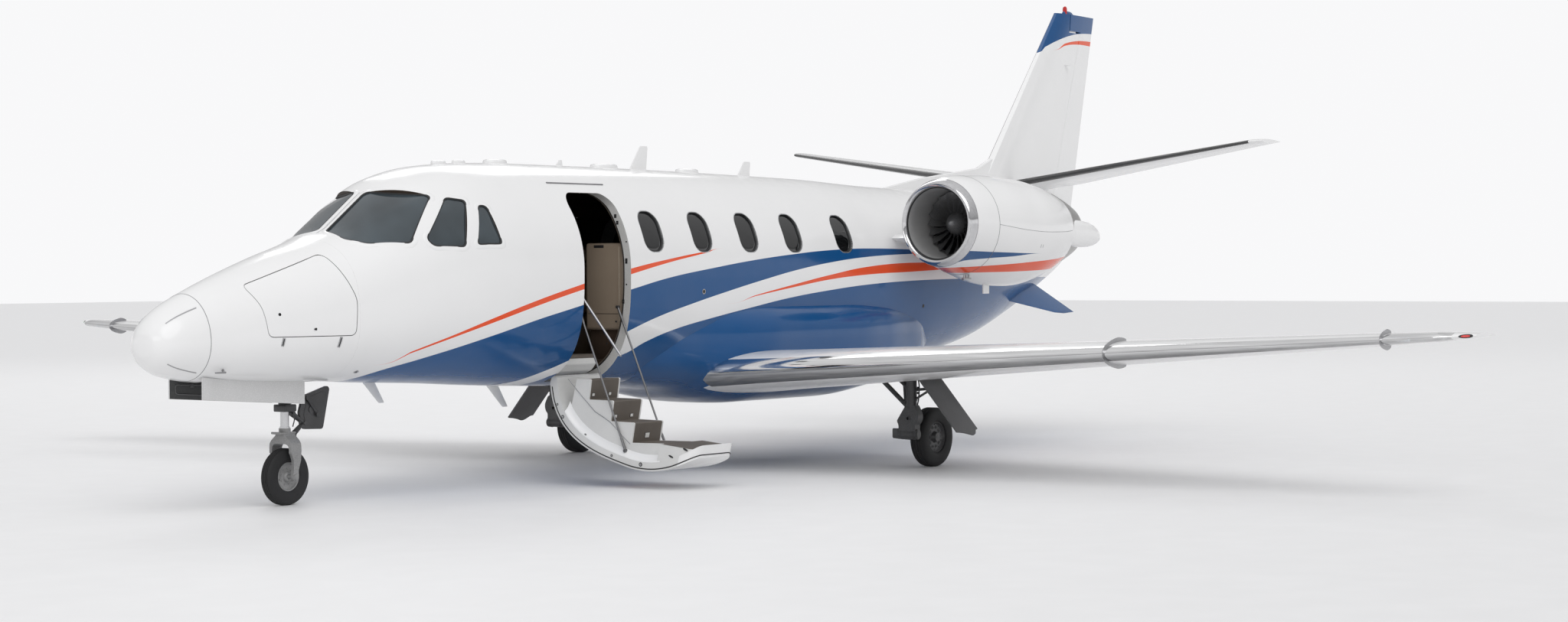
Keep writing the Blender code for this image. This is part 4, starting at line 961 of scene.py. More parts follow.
def put(name, bm, material, slot, *nodes, body="airframe", angle=40):
    """A smooth mesh on its body, in place of the CAD nodes that are named."""
    return ride_on(smooth(mesh_object(name, bm, material), angle), body, slot, *nodes)


def merged_copy(node_name, name, *materials, angle=35, bevel=0.0):
    """A CAD node's shape as one clean mesh."""
    bm = bmesh.new()
    bm.from_mesh(NODES[node_name].data)
    bmesh.ops.remove_doubles(bm, verts=bm.verts[:], dist=2e-5)
    bmesh.ops.dissolve_limit(bm, angle_limit=math.radians(0.4), verts=bm.verts[:], edges=bm.edges[:])
    bmesh.ops.recalc_face_normals(bm, faces=bm.faces[:])
    obj = mesh_object(name, bm, *materials)
    if "custom_normal" in obj.data.attributes:
        obj.data.attributes.remove(obj.data.attributes["custom_normal"])
    smooth(obj, angle)
    if bevel:
        modifier = obj.modifiers.new("soft_edges", "BEVEL")
        modifier.width = bevel
        modifier.segments = 2
        modifier.limit_method = "ANGLE"
        modifier.angle_limit = math.radians(40)
        modifier.harden_normals = True
    return obj


def skin_shading(obj, inset=0.0, tolerance=0.004, level=hull_level, normal=hull_normal):
    """Light the skin by the true surface, so that openings leave no dents in its gloss."""
    mesh = obj.data
    mesh.shade_smooth()
    known = {}
    for vert in mesh.vertices:
        co = vert.co
        if abs(level(co.x, co.y, co.z) - 1) < tolerance:
            known[vert.index] = normal(co)
    normals = []
    for face in mesh.polygons:
        for index in face.vertices:
            true = known.get(index)
            good = true is not None and true.dot(face.normal) > 0.85
            normals.append(true if good else face.normal)
    mesh.normals_split_custom_set([tuple(n) for n in normals])
    return obj


@functools.lru_cache(maxsize=None)
def skin_tree():
    bm = bmesh.new()
    stations = ring_stations(-7.20, 7.838, 0.05)
    roll_up(bm, [hull_section(x, 0.0, 180) for x in stations])
    tree = BVHTree.FromBMesh(bm)
    bm.free()
    return tree


def on_skin(point, direction=None):
    """The nearest point of the fuselage's skin, or the one along a direction, and its normal."""
    point = Vector(point)
    if direction is not None:
        direction = Vector(direction).normalized()
        found = skin_tree().ray_cast(point + direction * 0.25, -direction, 0.6)[0]
        if found is not None:
            return found, hull_normal(found)
    found = skin_tree().find_nearest(point)[0]
    return found, hull_normal(found)


def ring_stations(low, high, step):
    count = max(2, round((high - low) / step))
    stations = [low + (high - low) * i / count for i in range(count + 1)]
    if high > 7.3:
        stations += [high - 0.1 * k / 8 for k in range(1, 8)]
    return sorted(set(round(x, 5) for x in stations))


def hull(name, low, high, inset=0.0, *materials, step=0.06, points=144):
    return loft(name, [hull_section(x, inset, points) for x in ring_stations(low, high, step)], *materials)


def shell(name, low, high, wall, *materials, front_wall=0.0, back_wall=0.0, grow=0.0, step=0.06,
          points=144):
    """A hollow length of the fuselage. A wall closes an end where its thickness is given."""
    outer = hull(name, low, high, -grow, *materials, step=step, points=points)
    inner = hull("cavity", low + back_wall if back_wall else low - 0.2,
                 high - front_wall if front_wall else high + 0.2, wall + grow, step=0.2, points=72)
    return cut(outer, inner)


def ribbon(bm, path, width, lift=0.0012, depth=0.003, place=on_skin, closed=False):
    """A thin line laid on the skin."""
    spots = [place(p) for p in path]
    rings = []
    count = len(spots)
    for i, (point, normal) in enumerate(spots):
        ahead = spots[(i + 1) % count][0] if closed or i + 1 < count else point
        behind = spots[i - 1][0] if closed or i else point
        along = (ahead - behind).normalized()
        side = along.cross(normal).normalized() * (width / 2)
        rings.append([point - side - normal * depth, point + side - normal * depth,
                      point + side + normal * lift, point - side + normal * lift])
    roll_up(bm, rings, closed=closed)


# Fuselage

def window_outline(x, grow=0.0):
    width, height, corner = WINDOW_SIZE
    return [(a + x, b + WINDOW_Z) for a, b in rounded(width + 2 * grow, height + 2 * grow, corner + grow,
            10)]


def pane_ring(points, side, grow=0.0, lift=0.0):
    """A cockpit pane's outline on the skin, grown by a margin and lifted off the skin."""
    ring = [Vector((p[0], side * p[1], p[2])) for p in points]
    middle = sum(ring, Vector()) / len(ring)
    normal = Vector()
    for first, second in zip(ring, ring[1:] + ring[:1]):
        normal += first.cross(second)
    normal.normalize()
    if normal.dot(middle - Vector((middle.x - 0.5, 0, 1.8))) < 0:
        normal.negate()
    right = (ring[0] - middle - normal * (ring[0] - middle).dot(normal)).normalized()
    up = normal.cross(right)
    flat = [((p - middle).dot(right), (p - middle).dot(up)) for p in ring]
    wide = grown(flat, grow) if grow else flat
    wide = soft_outline(wide, max(0.012, 0.045 + grow * 0.6))
    placed = []
    for a, b in wide:
        point, outward = on_skin(middle + right * a + up * b, normal)
        placed.append(point + outward * lift)
    return placed, normal


def pane_cutter(points, side, grow=0.0):
    ring, normal = pane_ring(points, side, grow)
    return loft("pane", [[p + normal * 0.1 for p in ring], [p - normal * 0.16 for p in ring]])


def pane_glass(name, points, side, lift=-0.011):
    """A curved pane that follows the skin, a little below it."""
    rings = []
    ring, normal = pane_ring(points, side, 0.006)
    middle = sum(ring, Vector()) / len(ring)
    for share in (1.0, 0.92, 0.8, 0.62, 0.42, 0.2, 0.02):
        spots = [on_skin(middle + (p - middle) * share, normal) for p in ring]
        rings.append([p + n * lift for p, n in spots])
    inner = [[p - normal * 0.006 for p in ring] for ring in reversed(rings)]
    bm = bmesh.new()
    roll_up(bm, [*inner, *rings], closed=False)
    return mesh_object(name, bm, dark_glass("cockpit_glass_tint", (0.045, 0.060, 0.070), 0.86))


def cabin_openings():
    """Cutters for every opening of the cabin's wall."""
    windows = [prism("window", window_outline(x), side * 0.5, side * 1.2, "y")
               for side, centres in WINDOWS.items() for x in centres]
    panes = [pane_cutter(points, side) for side in WINDOWS for points in PANES.values()]
    return [joined("windows", *windows), *panes]


def door_space(name, grow):
    width = DOOR_X[1] - DOOR_X[0] + 2 * grow
    height = DOOR_Z[1] - 0.5 + grow
    middle = ((DOOR_X[1] + DOOR_X[0]) / 2, 0.5 + height / 2)
    outline = [(a + middle[0], b + middle[1]) for a, b in rounded(width, height, DOOR_CORNER + grow, 12)]
    space = prism(name, outline, DOOR_INNER_Y - 0.1, 1.25, "y")
    inner, sill, edge = DOOR_INNER_Y - grow, DOOR_Z[0] - grow, DOOR_HINGE[0] + 0.002 - grow
    step = [(inner, 3.0), (inner, sill), (edge, sill), (edge, 0.72), (1.2, 0.72), (1.2, 3.0)]
    return keep(space, prism("step", step, DOOR_X[0] - 0.2, DOOR_X[1] + 0.2, "x"))


def baggage_outline(grow=0.0):
    outline = soft_outline(BAGGAGE, 0.05, 8)
    return grown(outline, grow) if grow else outline


class JET_OT_fuselage(bpy.types.Operator):
    """Rebuild the painted skin from nose to tail, with its openings"""
    bl_idname = "jet.fuselage"
    bl_label = "Fuselage"

    def execute(self, context):
        paint = body_paint()
        cabin = shell("cabin_skin", CABIN_BACK_X, CABIN_FRONT_X, WALL, paint, front_wall=0.04,
                      back_wall=0.04)
        cut(cabin, *cabin_openings(), door_space("doorway", MOVING_GAP))
        lining = finish("entrance_lining", tuple(context.scene.jet_colours.lining), 0.55, grain=300.0,
                        bump=0.25)
        jamb = trim_grey()
        cabin.data.materials.append(lining)
        cabin.data.materials.append(jamb)
        for face in cabin.data.polygons:
            c = face.center
            level = hull_level(c.x, c.y, c.z)
            at_door = DOOR_X[0] - 0.03 < c.x < DOOR_X[1] + 0.03 and c.y > 0.2
            side_wall = abs(face.normal.x) > 0.9 or (abs(face.normal.z) > 0.9 and c.z > 2.6)
            if at_door and level < 0.998 and (side_wall or c.y > inset_side(c.x, min(c.z, 2.74),
                    WALL * 0.93)):
                face.material_index = 2
            elif level < 0.94:
                face.material_index = 1
        skin_shading(cabin)
        ride_on(cabin, "airframe", "white_paint", "cabin_shell")

        radome = hull("radome_skin", RADOME_X + HAIR, 7.838, 0.0, paint, step=0.03)
        skin_shading(radome)
        ride_on(radome, "airframe", "white_paint", "radome")

        nose = shell("nose_skin", CABIN_FRONT_X + HAIR, RADOME_X, NOSE_WALL, paint, front_wall=0.03,
                     back_wall=0.05)
        bay = block("bay_lining", (6.03, -BAY_HALF - 0.02, 0.9), (7.31, BAY_HALF + 0.02, BAY_ROOF_Z + 0.02))
        weld(nose, keep(bay, hull("limit", 5.9, RADOME_X, 0.006)))
        cut(nose, block("bay", (BAY_X[0], -BAY_HALF, 0.8), (BAY_X[1], BAY_HALF, BAY_ROOF_Z)))
        for side in (1, -1):
            opening = prism("opening", baggage_outline(MOVING_GAP), 0.0, side * 1.2, "y")
            cut(nose, opening)
        bay_paint = finish("bay_primer", (0.30, 0.31, 0.30), 0.5, grain=70.0, bump=0.1, vary=0.2)
        nose.data.materials.append(bay_paint)
        for face in nose.data.polygons:
            c = face.center
            if hull_level(c.x, c.y, c.z) < 0.985:
                face.material_index = 1
        skin_shading(nose)
        ride_on(nose, "airframe", "white_paint", "nose_section")

        for side, word in SIDES:
            door = shell("baggage_hatch_" + word, 5.90, 7.20, BAGGAGE_THICK, paint, step=0.04)
            keep(door, prism("outline", baggage_outline(), 0.0, side * 1.2, "y"))
            skin_shading(door)
            ride_on(door, "baggage_door_" + word, "white_paint", "baggage_door_" + word)

        tail = shell("tail_skin", -7.20, CABIN_BACK_X - HAIR, TAIL_WALL, paint, back_wall=0.04)
        skin_shading(tail)
        ride_on(tail, "airframe", "white_paint", "tail_cone")
        for side, word in SIDES:
            rings = []
            for y, front, back, height in ((0.36, -4.24, -5.60, 1.81), (0.80, -5.458, -5.916, 1.455)):
                middle = (front + back) / 2
                root = y < 0.6
                rings.append([(front, side * y, height - (0.09 if root else 0.0)),
                              (middle, side * (y + 0.010), height + 0.014),
                              (back, side * y, height + (0.03 if root else 0.0)),
                              (middle, side * (y - 0.010), height - 0.014)])
            strake = smooth(loft("strake_" + word, rings, paint), 25)
            modifier = strake.modifiers.new("edge", "BEVEL")
            modifier.width = 0.004
            modifier.segments = 2
            ride_on(strake, "airframe", "white_paint")
        return {"FINISHED"}


class JET_OT_windows(bpy.types.Operator):
    """Fit the glass, rims and seals of the cockpit and cabin windows"""
    bl_idname = "jet.windows"
    bl_label = "Windows"

    def execute(self, context):
        sizes = context.scene.jet_sizes
        seal, white, rim = seal_rubber(), white_paint(), finish(
            "window_rim_metal", (0.55, 0.56, 0.57), 0.28, 0.9, grain=160.0, bump=0.05, vary=0.06)
        glasses, frames, seals = [], [], []
        for side in (1, -1):
            for name, points in PANES.items():
                glasses.append(pane_glass("pane", points, side))
                w = sizes.pane_frame
                rings = [pane_ring(points, side, grow, lift)[0] for grow, lift in (
                    (w, -0.004), (w, 0.0005), (w - 0.003, 0.0025), (0.007, 0.0025), (0.004, 0.0010),
                    (0.004, -0.012))]
                frames.append(loft("frame", list(rings), white, closed=True))
                rings = [pane_ring(points, side, grow, lift)[0] for grow, lift in (
                    (0.0045, -0.014), (0.0045, 0.0008), (0.000, 0.0016), (-0.007, 0.0005), (-0.010, -0.004),
                    (-0.010, -0.014))]
                seals.append(loft("seal", list(rings), seal, closed=True))
        ride_on(smooth(joined("cockpit_panes", *glasses), 40), "airframe", "glass", "cockpit_glass")
        ride_on(smooth(joined("cockpit_pane_frames", *frames), 50), "airframe", "white_paint")
        ride_on(smooth(joined("cockpit_pane_seals", *seals), 50), "airframe", "rubber")
        for side, word in SIDES:
            glasses, rims, seals = [], [], []
            for x in WINDOWS[side]:
                def ring(grow, depth):
                    return [(a, side * (hull_side(a, b) - depth), b) for a, b in window_outline(x, grow)]

                r = sizes.window_rim
                rims.append(loft("rim", [ring(*v) for v in ((0.001, 0.014), (0.001, 0.0015), (-0.002, 0.0),
                                                            (-0.008, 0.001), (-0.008, 0.014))],
                                 rim, closed=True))
                seals.append(loft("seal", [ring(*v) for v in ((-0.006, 0.030), (-0.006, 0.011), (-r, 0.012),
                                                              (-r - 0.004, 0.020), (-r - 0.004, 0.030))],
                                  seal, closed=True))
                rings = [ring(0.002, 0.030)]
                for share in (0.9, 0.7, 0.45, 0.2, 0.02):
                    rings.append([(x + (a - x) * share,
                                   side * (hull_side(x + (a - x) * share, WINDOW_Z + (b - WINDOW_Z) * share)
                                                               - 0.022), WINDOW_Z + (b - WINDOW_Z) * share)
                                  for a, b in window_outline(x)])
                glasses.append(loft("pane", [[(p[0], p[1] - side * 0.01, p[2]) for p in rings[-1]],
                                             *reversed(rings)],
                                    dark_glass()))
            glass = smooth(joined("cabin_panes_" + word, *glasses), 50)
            ride_on(glass, "airframe", "glass", "cabin_glass_" + word)
            ride_on(smooth(joined("cabin_window_rims_" + word, *rims), 50), "airframe", "polished_metal")
            ride_on(smooth(joined("cabin_window_seals_" + word, *seals), 50), "airframe", "rubber")
        return {"FINISHED"}


class JET_OT_skin_details(bpy.types.Operator):
    """Lay the seams, latches, vents, antennas and probes on the fuselage"""
    bl_idname = "jet.skin_details"
    bl_label = "Skin details"

    def execute(self, context):
        width = context.scene.jet_sizes.seam_width
        bm = bmesh.new()
        ribbon(bm, hull_section(RADOME_X, 0.0, 120), width, closed=True)
        ribbon(bm, [(x, hull_side(x, 2.79), 2.79) for x in [3.50 - 0.02 * k for k in range(42)]], 0.012,
               0.007, 0.004)
        put("fuselage_seams", bm, seam_line(), "rubber")

        bm = bmesh.new()
        for k in range(20):
            p = Vector((5.335, 0.0, 2.675)).lerp(Vector((5.861, 0.0, 2.303)), k / 19)
            if k:
                q = Vector((5.335, 0.0, 2.675)).lerp(Vector((5.861, 0.0, 2.303)), (k - 1) / 19)
                ribbon(bm, [q, p], width * 0.6)
        put("windshield_post_seam", bm, seam_line(), "rubber")

        def puck(bm, x, y, length, wide, tall):
            point, normal = on_skin((x, y, 3.1), (0, 0, 1))
            rings = []
            for share, lift in ((1.0, -0.006), (1.0, 0.004), (0.93, tall * 0.8), (0.75, tall),
                                (0.3, tall * 1.03),
                                (0.02, tall * 1.03)):
                rings.append([point + Vector((length / 2 * share * math.cos(t),
                                              wide / 2 * share * math.sin(t), 0))
                              + normal * lift for t in turns(32)])
            roll_up(bm, rings)

        def blade(bm, x, z, low, high, thick, tall, y=0.0, down=False, sweep=0.4):
            """A swept blade antenna standing on the skin: its chords at root and tip."""
            point, normal = on_skin((x, y, z), (0, 0, -1 if down else 1))
            rings = []
            for share in (-0.1, 0.0, 0.35, 0.7, 0.93, 1.0):
                chord = low + (high - low) * max(share, 0)
                if share == 1.0:
                    chord *= 0.86
                wide = thick * (1 - 0.45 * max(share, 0)) * (0.5 if share == 1.0 else 1.0)
                centre = point + normal * (tall * share) + Vector((-sweep * tall * max(share, 0), 0, 0))
                across = normal.cross(Vector((1, 0, 0))).normalized()
                rings.append([centre + Vector((chord * a, 0, 0)) + across * (wide * b) for a, b in
                              unit_foil(10)])
            roll_up(bm, rings)

        bm = bmesh.new()
        puck(bm, 4.32, 0.0, 0.17, 0.11, 0.028)
        puck(bm, 4.05, 0.0, 0.15, 0.10, 0.026)
        puck(bm, 3.55, 0.0, 0.27, 0.19, 0.032)
        puck(bm, 1.95, 0.0, 0.36, 0.20, 0.036)
        puck(bm, 0.62, 0.0, 0.32, 0.18, 0.034)
        blade(bm, 2.63, 3.1, 0.11, 0.05, 0.012, 0.055)
        blade(bm, 1.42, 3.1, 0.27, 0.13, 0.020, 0.235)
        blade(bm, -0.35, 3.1, 0.22, 0.12, 0.018, 0.150)
        blade(bm, 5.24, 0.9, 0.15, 0.075, 0.016, 0.185, down=True, sweep=0.9)
        blade(bm, 3.72, 0.9, 0.16, 0.08, 0.016, 0.20, 0.10, True, 0.9)
        put("antennas", bm, white_paint(), "white_paint")

        bm = bmesh.new()
        # The dark pieces are painted shade: dark lines where the latch slots lie, and dark discs where the
        # ports and vents open.
        dark = bmesh.new()
        for side in (1, -1):
            for x in (6.741, 6.196):
                upper, normal = on_skin((x, side * 0.6, 1.437), (0, side, 0))
                lower, normal = on_skin((x + 0.012, side * 0.6, 1.345), (0, side, -0.2))
                ribbon(bm, [upper.lerp(lower, k / 6) for k in range(7)], 0.026, 0.004, 0.004)
                ribbon(dark, [upper.lerp(lower, 0.1 + 0.8 * k / 6) for k in range(7)], 0.008, 0.0055, 0.001)
            point, normal = on_skin((7.26, side * 0.3, 1.19), (0, side, 0))
            base = point + Vector((-0.03, 0, 0))
            add_bar(bm, base - normal * 0.01, base + normal * 0.035 + Vector((0.01, 0, 0)), 0.011, 14)
            add_bar(bm, base + normal * 0.035 + Vector((-0.012, 0, 0)),
                    base + normal * 0.035 + Vector((0.10, 0, 0)), 0.0085,
                    18, 0.0065)
            point, normal = on_skin((5.85, side * 0.44, 1.128), (0, side, 0))
            add_bar(bm, point - normal * 0.004, point + normal * 0.003, 0.022, 28)
            add_bar(dark, point + normal * 0.002, point + normal * 0.0045, 0.008, 18)
            point, normal = on_skin((1.612, side * 0.956, 1.773), (0, side, 0))
            add_bar(bm, point - normal * 0.004, point + normal * 0.002, 0.026, 28)
            add_bar(dark, point + normal * 0.001, point + normal * 0.003, 0.017, 24)
            point, normal = on_skin((-2.394, side * 0.912, 1.577), (0, side, 0))
            add_bar(dark, point - normal * 0.004, point + normal * 0.001, 0.020, 24)
            for z, y in ((1.645, 0.19), (1.19, 0.20)):
                path = [on_skin((x, side * y, z), (0, side * 0.5, 1 if z > 1.4 else -1))[0] for x in
                        [7.72 - 0.045 * k for k in range(7)]]
                ribbon(bm, path, 0.010, 0.003)
        put("probes_and_latches", bm, satin_metal(), "steel")
        put("latch_slot_shade", dark, seal_rubber(), "rubber")
        for side, word in SIDES:
            bm = bmesh.new()
            point, normal = on_skin((6.771, side * 0.469, 1.633), (0, side, 0))
            add_bar(bm, point - normal * 0.004, point + normal * 0.0015, 0.013, 22)
            point, normal = on_skin((6.44, side * 0.557, 1.506), (0, side, 0))
            rings = []
            for share, lift in ((1.0, -0.004), (1.0, 0.001), (0.8, 0.0015), (0.02, 0.0015)):
                rings.append([point + normal * lift + Vector((0.024 * share * math.cos(t), 0,
                        0.010 * share * math.sin(t)))
                              for t in turns(28)])
            roll_up(bm, rings)
            put("baggage_lock_" + word, bm, dark_metal(), "rubber", body="baggage_door_" + word)
        return {"FINISHED"}


# Wing, belly fairing and control surfaces

def fairing_section(x, grow=0.0, points=120):
    half, bottom = smooth_table(FAIRING_ROWS, x)
    ring = []
    for i in range(points):
        t = 2 * math.pi * (i + 0.5) / points
        c, s = math.cos(t), math.sin(t)
        reach = (FAIRING_TOP if s > 0 else 2 * FAIRING_MIDDLE - bottom) - FAIRING_MIDDLE + grow
        ring.append((x, (half + grow) * math.copysign(abs(c) ** (2 / 3), c),
                     FAIRING_MIDDLE + reach * math.copysign(abs(s) ** (2 / 3), s)))
    return ring


def fairing_level(x, y, z):
    half, bottom = smooth_table(FAIRING_ROWS, x)
    reach = FAIRING_TOP - FAIRING_MIDDLE if z > FAIRING_MIDDLE else FAIRING_MIDDLE - bottom
    return (abs(y) / half) ** 3 + (abs(z - FAIRING_MIDDLE) / reach) ** 3


def fairing_normal(p):
    step = 0.002
    slopes = []
    for d in (Vector((step, 0, 0)), Vector((0, step, 0)), Vector((0, 0, step))):
        a, b = p + d, p - d
        slopes.append(fairing_level(*a) - fairing_level(*b))
    return Vector(slopes).normalized()


def fairing_solid(name, grow=0.0, *materials):
    low, high = FAIRING_ROWS[0][0], FAIRING_ROWS[-1][0]
    stations = [low + (high - low) * k / 70 for k in range(71)]
    return loft(name, [fairing_section(x, grow) for x in stations], *materials)


def wing_station(row, grow, points):
    y, lead, trail, thickness = row
    z = WING_Z + DIHEDRAL * y
    drop = INCIDENCE * (1 - y / WING_STATIONS[-1][0]) * (lead - trail)
    outline = airfoil((lead + grow, z), (trail - grow, z - drop), thickness + 2 * grow / (lead - trail),
                      0.008, points)
    return [Vector((x, y, up)) for x, up in outline]


def wing_section(y, grow=0.0, points=32):
    """The wing's section at y, on the straight lines between its stations."""
    for low, high in zip(WING_STATIONS, WING_STATIONS[1:]):
        if y <= high[0] or high is WING_STATIONS[-1]:
            share = (y - low[0]) / (high[0] - low[0])
            return [a.lerp(b, share) for a, b in zip(wing_station(low, grow, points),
                    wing_station(high, grow, points))]


def wing_solid(name, grow, low_y, *materials):
    stations = [low_y + (1.30 - low_y) * k / 3 for k in range(3)] + [1.30 + 6.55 * k / 24 for k in range(25)]
    stations += [8.0, 8.15, 8.30, 8.36, 8.42, 8.48, 8.53, 8.56, 8.575, 8.585]
    return loft(name, [wing_section(y, grow) for y in stations], *materials)


def surface_hinge(section, y, share):
    """Middle of a section at a share of its chord, and half its thickness there."""
    points = section(y)
    count = len(points) // 2
    x = points[count][0] + (points[0][0] - points[count][0]) * share

    def height(side):
        for a, b in zip(side, side[1:]):
            if (a[0] - x) * (b[0] - x) <= 0:
                return a[2] + (b[2] - a[2]) * (x - a[0]) / (b[0] - a[0])

    top, bottom = height(points[: count + 1]), height(points[count:])
    return (x, y, (top + bottom) / 2), (top - bottom) / 2 * 0.99


def hinge_block(name, start, end, radii, grow=0.0, end_grow=0.0, reach=1.2, height=0.4, up=(0, 0, 1)):
    """The space behind a hinge line: all that is aft of it, and a round nose about it."""
    start, end = Vector(start), Vector(end)
    along = (end - start).normalized()
    aft = Vector((-1, 0, 0))
    aft = (aft - along * aft.dot(along)).normalized()
    lift = along.cross(aft)
    if lift.dot(Vector(up)) < 0:
        lift.negate()
    rings = []
    for point, r in ((start - along * end_grow, radii[0] + grow),
                     (end + along * end_grow, radii[1] + grow)):
        nose = [(-r * math.cos(t),
                 r * math.sin(t)) for t in (math.radians(90 - 7.5 * k) for k in range(25))]
        outline = [(reach, height), (0.0, height), *nose, (0.0, -height), (reach, -height)]
        rings.append([point + aft * u + lift * v for u, v in outline])
    return loft(name, rings)


def copy_of(obj, name):
    copy = obj.copy()
    copy.data = obj.data.copy()
    copy.name = name
    bpy.context.scene.collection.objects.link(copy)
    return copy


def both_sides(obj, left_name, body, slot, node_name, angle=30):
    """Finish a port piece and make its starboard twin, each standing for its CAD node."""
    obj.name = left_name
    smooth(obj, angle)
    right = smooth(mirrored(obj, left_name.replace("left", "right")), angle)
    for piece, word in ((obj, "left"), (right, "right")):
        own = body.replace("left", word)
        ride_on(piece, own, slot, *([node_name.replace("left", word)] if node_name else []))
    return obj, right


def edge_line():
    return [(row[0] - EDGE_SHARE * (row[0] - row[1]), y)
            for row, y in zip([between(WING_STATIONS, y) for y in EDGE_Y], EDGE_Y)]


class JET_OT_wings(bpy.types.Operator):
    """Make the belly fairing, the wings with their polished edges, and the flaps and ailerons"""
    bl_idname = "jet.wings"
    bl_label = "Wings"

    def execute(self, context):
        fairing = fairing_solid("belly_fairing_skin", 0.0, body_paint())
        cut(fairing, hull("body", -3.2, 2.8, -HAIR, step=0.1))
        skin_shading(fairing, tolerance=0.02, level=fairing_level, normal=fairing_normal)
        ride_on(fairing, "airframe", "white_paint", "belly_fairing")

        white = white_paint()
        wing = wing_solid("wing_skin_left", 0.0, 0.60, white)
        cut(wing, fairing_solid("fairing", HAIR), hull("body", -3.2, 2.8, -HAIR, step=0.2))
        for name, ends, share, node_name in (("flap_skin_left", FLAP_Y, FLAP_HINGE, "flap_left"),
                                             ("aileron_skin_left", AILERON_Y, AILERON_HINGE,
                                              "aileron_left")):
            (start, r0), (end, r1) = surface_hinge(wing_section, ends[0],
                    share), surface_hinge(wing_section, ends[1], share)
            moving = keep(copy_of(wing, name), hinge_block("moving", start, end, (r0, r1)))
            cut(wing, hinge_block("space", start, end, (r0, r1), CONTROL_GAP, CONTROL_GAP))
            both_sides(moving, name, node_name, "white_paint", node_name)
        line = edge_line()
        edge = keep(copy_of(wing, "wing_edge_skin_left"),
                    prism("edge", [(2.2, EDGE_Y[0]), *line, (2.2, EDGE_Y[-1])], 0.5, 2.0, "z"))
        edge.data.materials.clear()
        edge.data.materials.append(wing_polish())
        both_sides(edge, "wing_edge_skin_left", "airframe", "polished_metal", "wing_edge_left")
        wide = [(2.3, 0.70), (line[0][0] - HAIR, 0.70), *[(x - HAIR, y) for x, y in line[1:]]]
        wide[-1] = (wide[-1][0], EDGE_Y[-1] + HAIR)
        cut(wing, prism("edge", [*wide, (2.3, EDGE_Y[-1] + HAIR)], 0.4, 2.1, "z"))
        wing.data.materials.append(wing_polish())
        for face in wing.data.polygons:
            c = face.center
            if EDGE_Y[-1] < c.y < POLISH_END_Y and c.x > wing_section(c.y)[32].x - 0.10:
                face.material_index = 1
        both_sides(wing, "wing_skin_left", "airframe", "white_paint", "wing_left")

        bm = bmesh.new()
        for y in FENCE_Y:
            section = wing_section(y, 0.0, 60)
            nose = section[60 - 20:60 + 21]
            outer = []
            for k, p in enumerate(nose):
                along = (nose[min(k + 1, 40)] - nose[max(k - 1, 0)]).normalized()
                away = Vector((-along.z, 0, along.x))
                away = away if away.dot(p - section[60] - Vector((-0.2, 0, 0))) > 0 else -away
                share = abs(k - 20) / 20
                outer.append(p + away * (0.020 + 0.026 * share) * min(1.0, (1.02 - share) / 0.22) ** 0.5)
            rings = []
            for dy in (-0.003, 0.003):
                rings.append([p + Vector((0, dy, 0)) for p in [*[p + Vector((-0.004, 0, 0)) for p in nose],
                        *reversed(outer)]])
            roll_up(bm, rings)
        fences = mesh_object("wing_fences_left", bm, satin_metal())
        both_sides(fences, "wing_fences_left", "airframe", "polished_metal", None)

        light = finish("landing_light_plate", (0.62, 0.64, 0.66), 0.18, 0.35, grain=90.0, bump=0.05,
                       vary=0.1, coat=0.6)
        bm = bmesh.new()
        section = wing_section(LANDING_LIGHT_Y, 0.0, 40)
        front = section[40]
        rings = []
        for share, lift in ((1.0, -0.006), (1.0, 0.0015), (0.86, 0.0025), (0.02, 0.0025)):
            rings.append([Vector((front.x - 0.007 - 0.02 * abs(b / 0.02) ** 2 * 0.3 + lift,
                                  LANDING_LIGHT_Y + a, front.z + b))
                          for a, b in rounded(0.17 * share, 0.038 * share, 0.016 * share, 6)])
        roll_up(bm, rings)
        plate = mesh_object("landing_light_left", bm, light)
        both_sides(plate, "landing_light_left", "airframe", "glass", None)

        for side, word, tint in ((1, "left", (0.70, 0.012, 0.008)), (-1, "right", (0.01, 0.38, 0.06))):
            bm = bmesh.new()
            lens = bmesh.new()
            for target, size, lift in ((bm, 1.0, 0.002), (lens, 0.62, 0.007)):
                rings = []
                for share, rise in ((1.0, -0.012), (1.0, lift * 0.5), (0.8, lift), (0.4, lift * 1.3),
                                    (0.02, lift * 1.35)):
                    ring = []
                    for k in range(32):
                        t = 2 * math.pi * k / 32
                        y = TIP_LAMP_Y + 0.05 * size * share * math.cos(t)
                        section = wing_section(y, 0.0, 40)
                        ring.append(Vector((section[40].x + rise - 0.012 * abs(math.sin(t)) * size * share,
                                            side * y,
                                            section[40].z + 0.017 * size * share * math.sin(t))))
                    rings.append(ring)
                roll_up(target, rings)
            put("wingtip_lamp_case_" + word, bm, seal_rubber(), "rubber", angle=50)
            red = finish("lamp_" + word, tint, 0.1, 0.0, grain=60.0, bump=0.05, vary=0.15, coat=0.8)
            put("wingtip_lamp_" + word, lens, red, "glass", angle=50)
        return {"FINISHED"}


# Tail

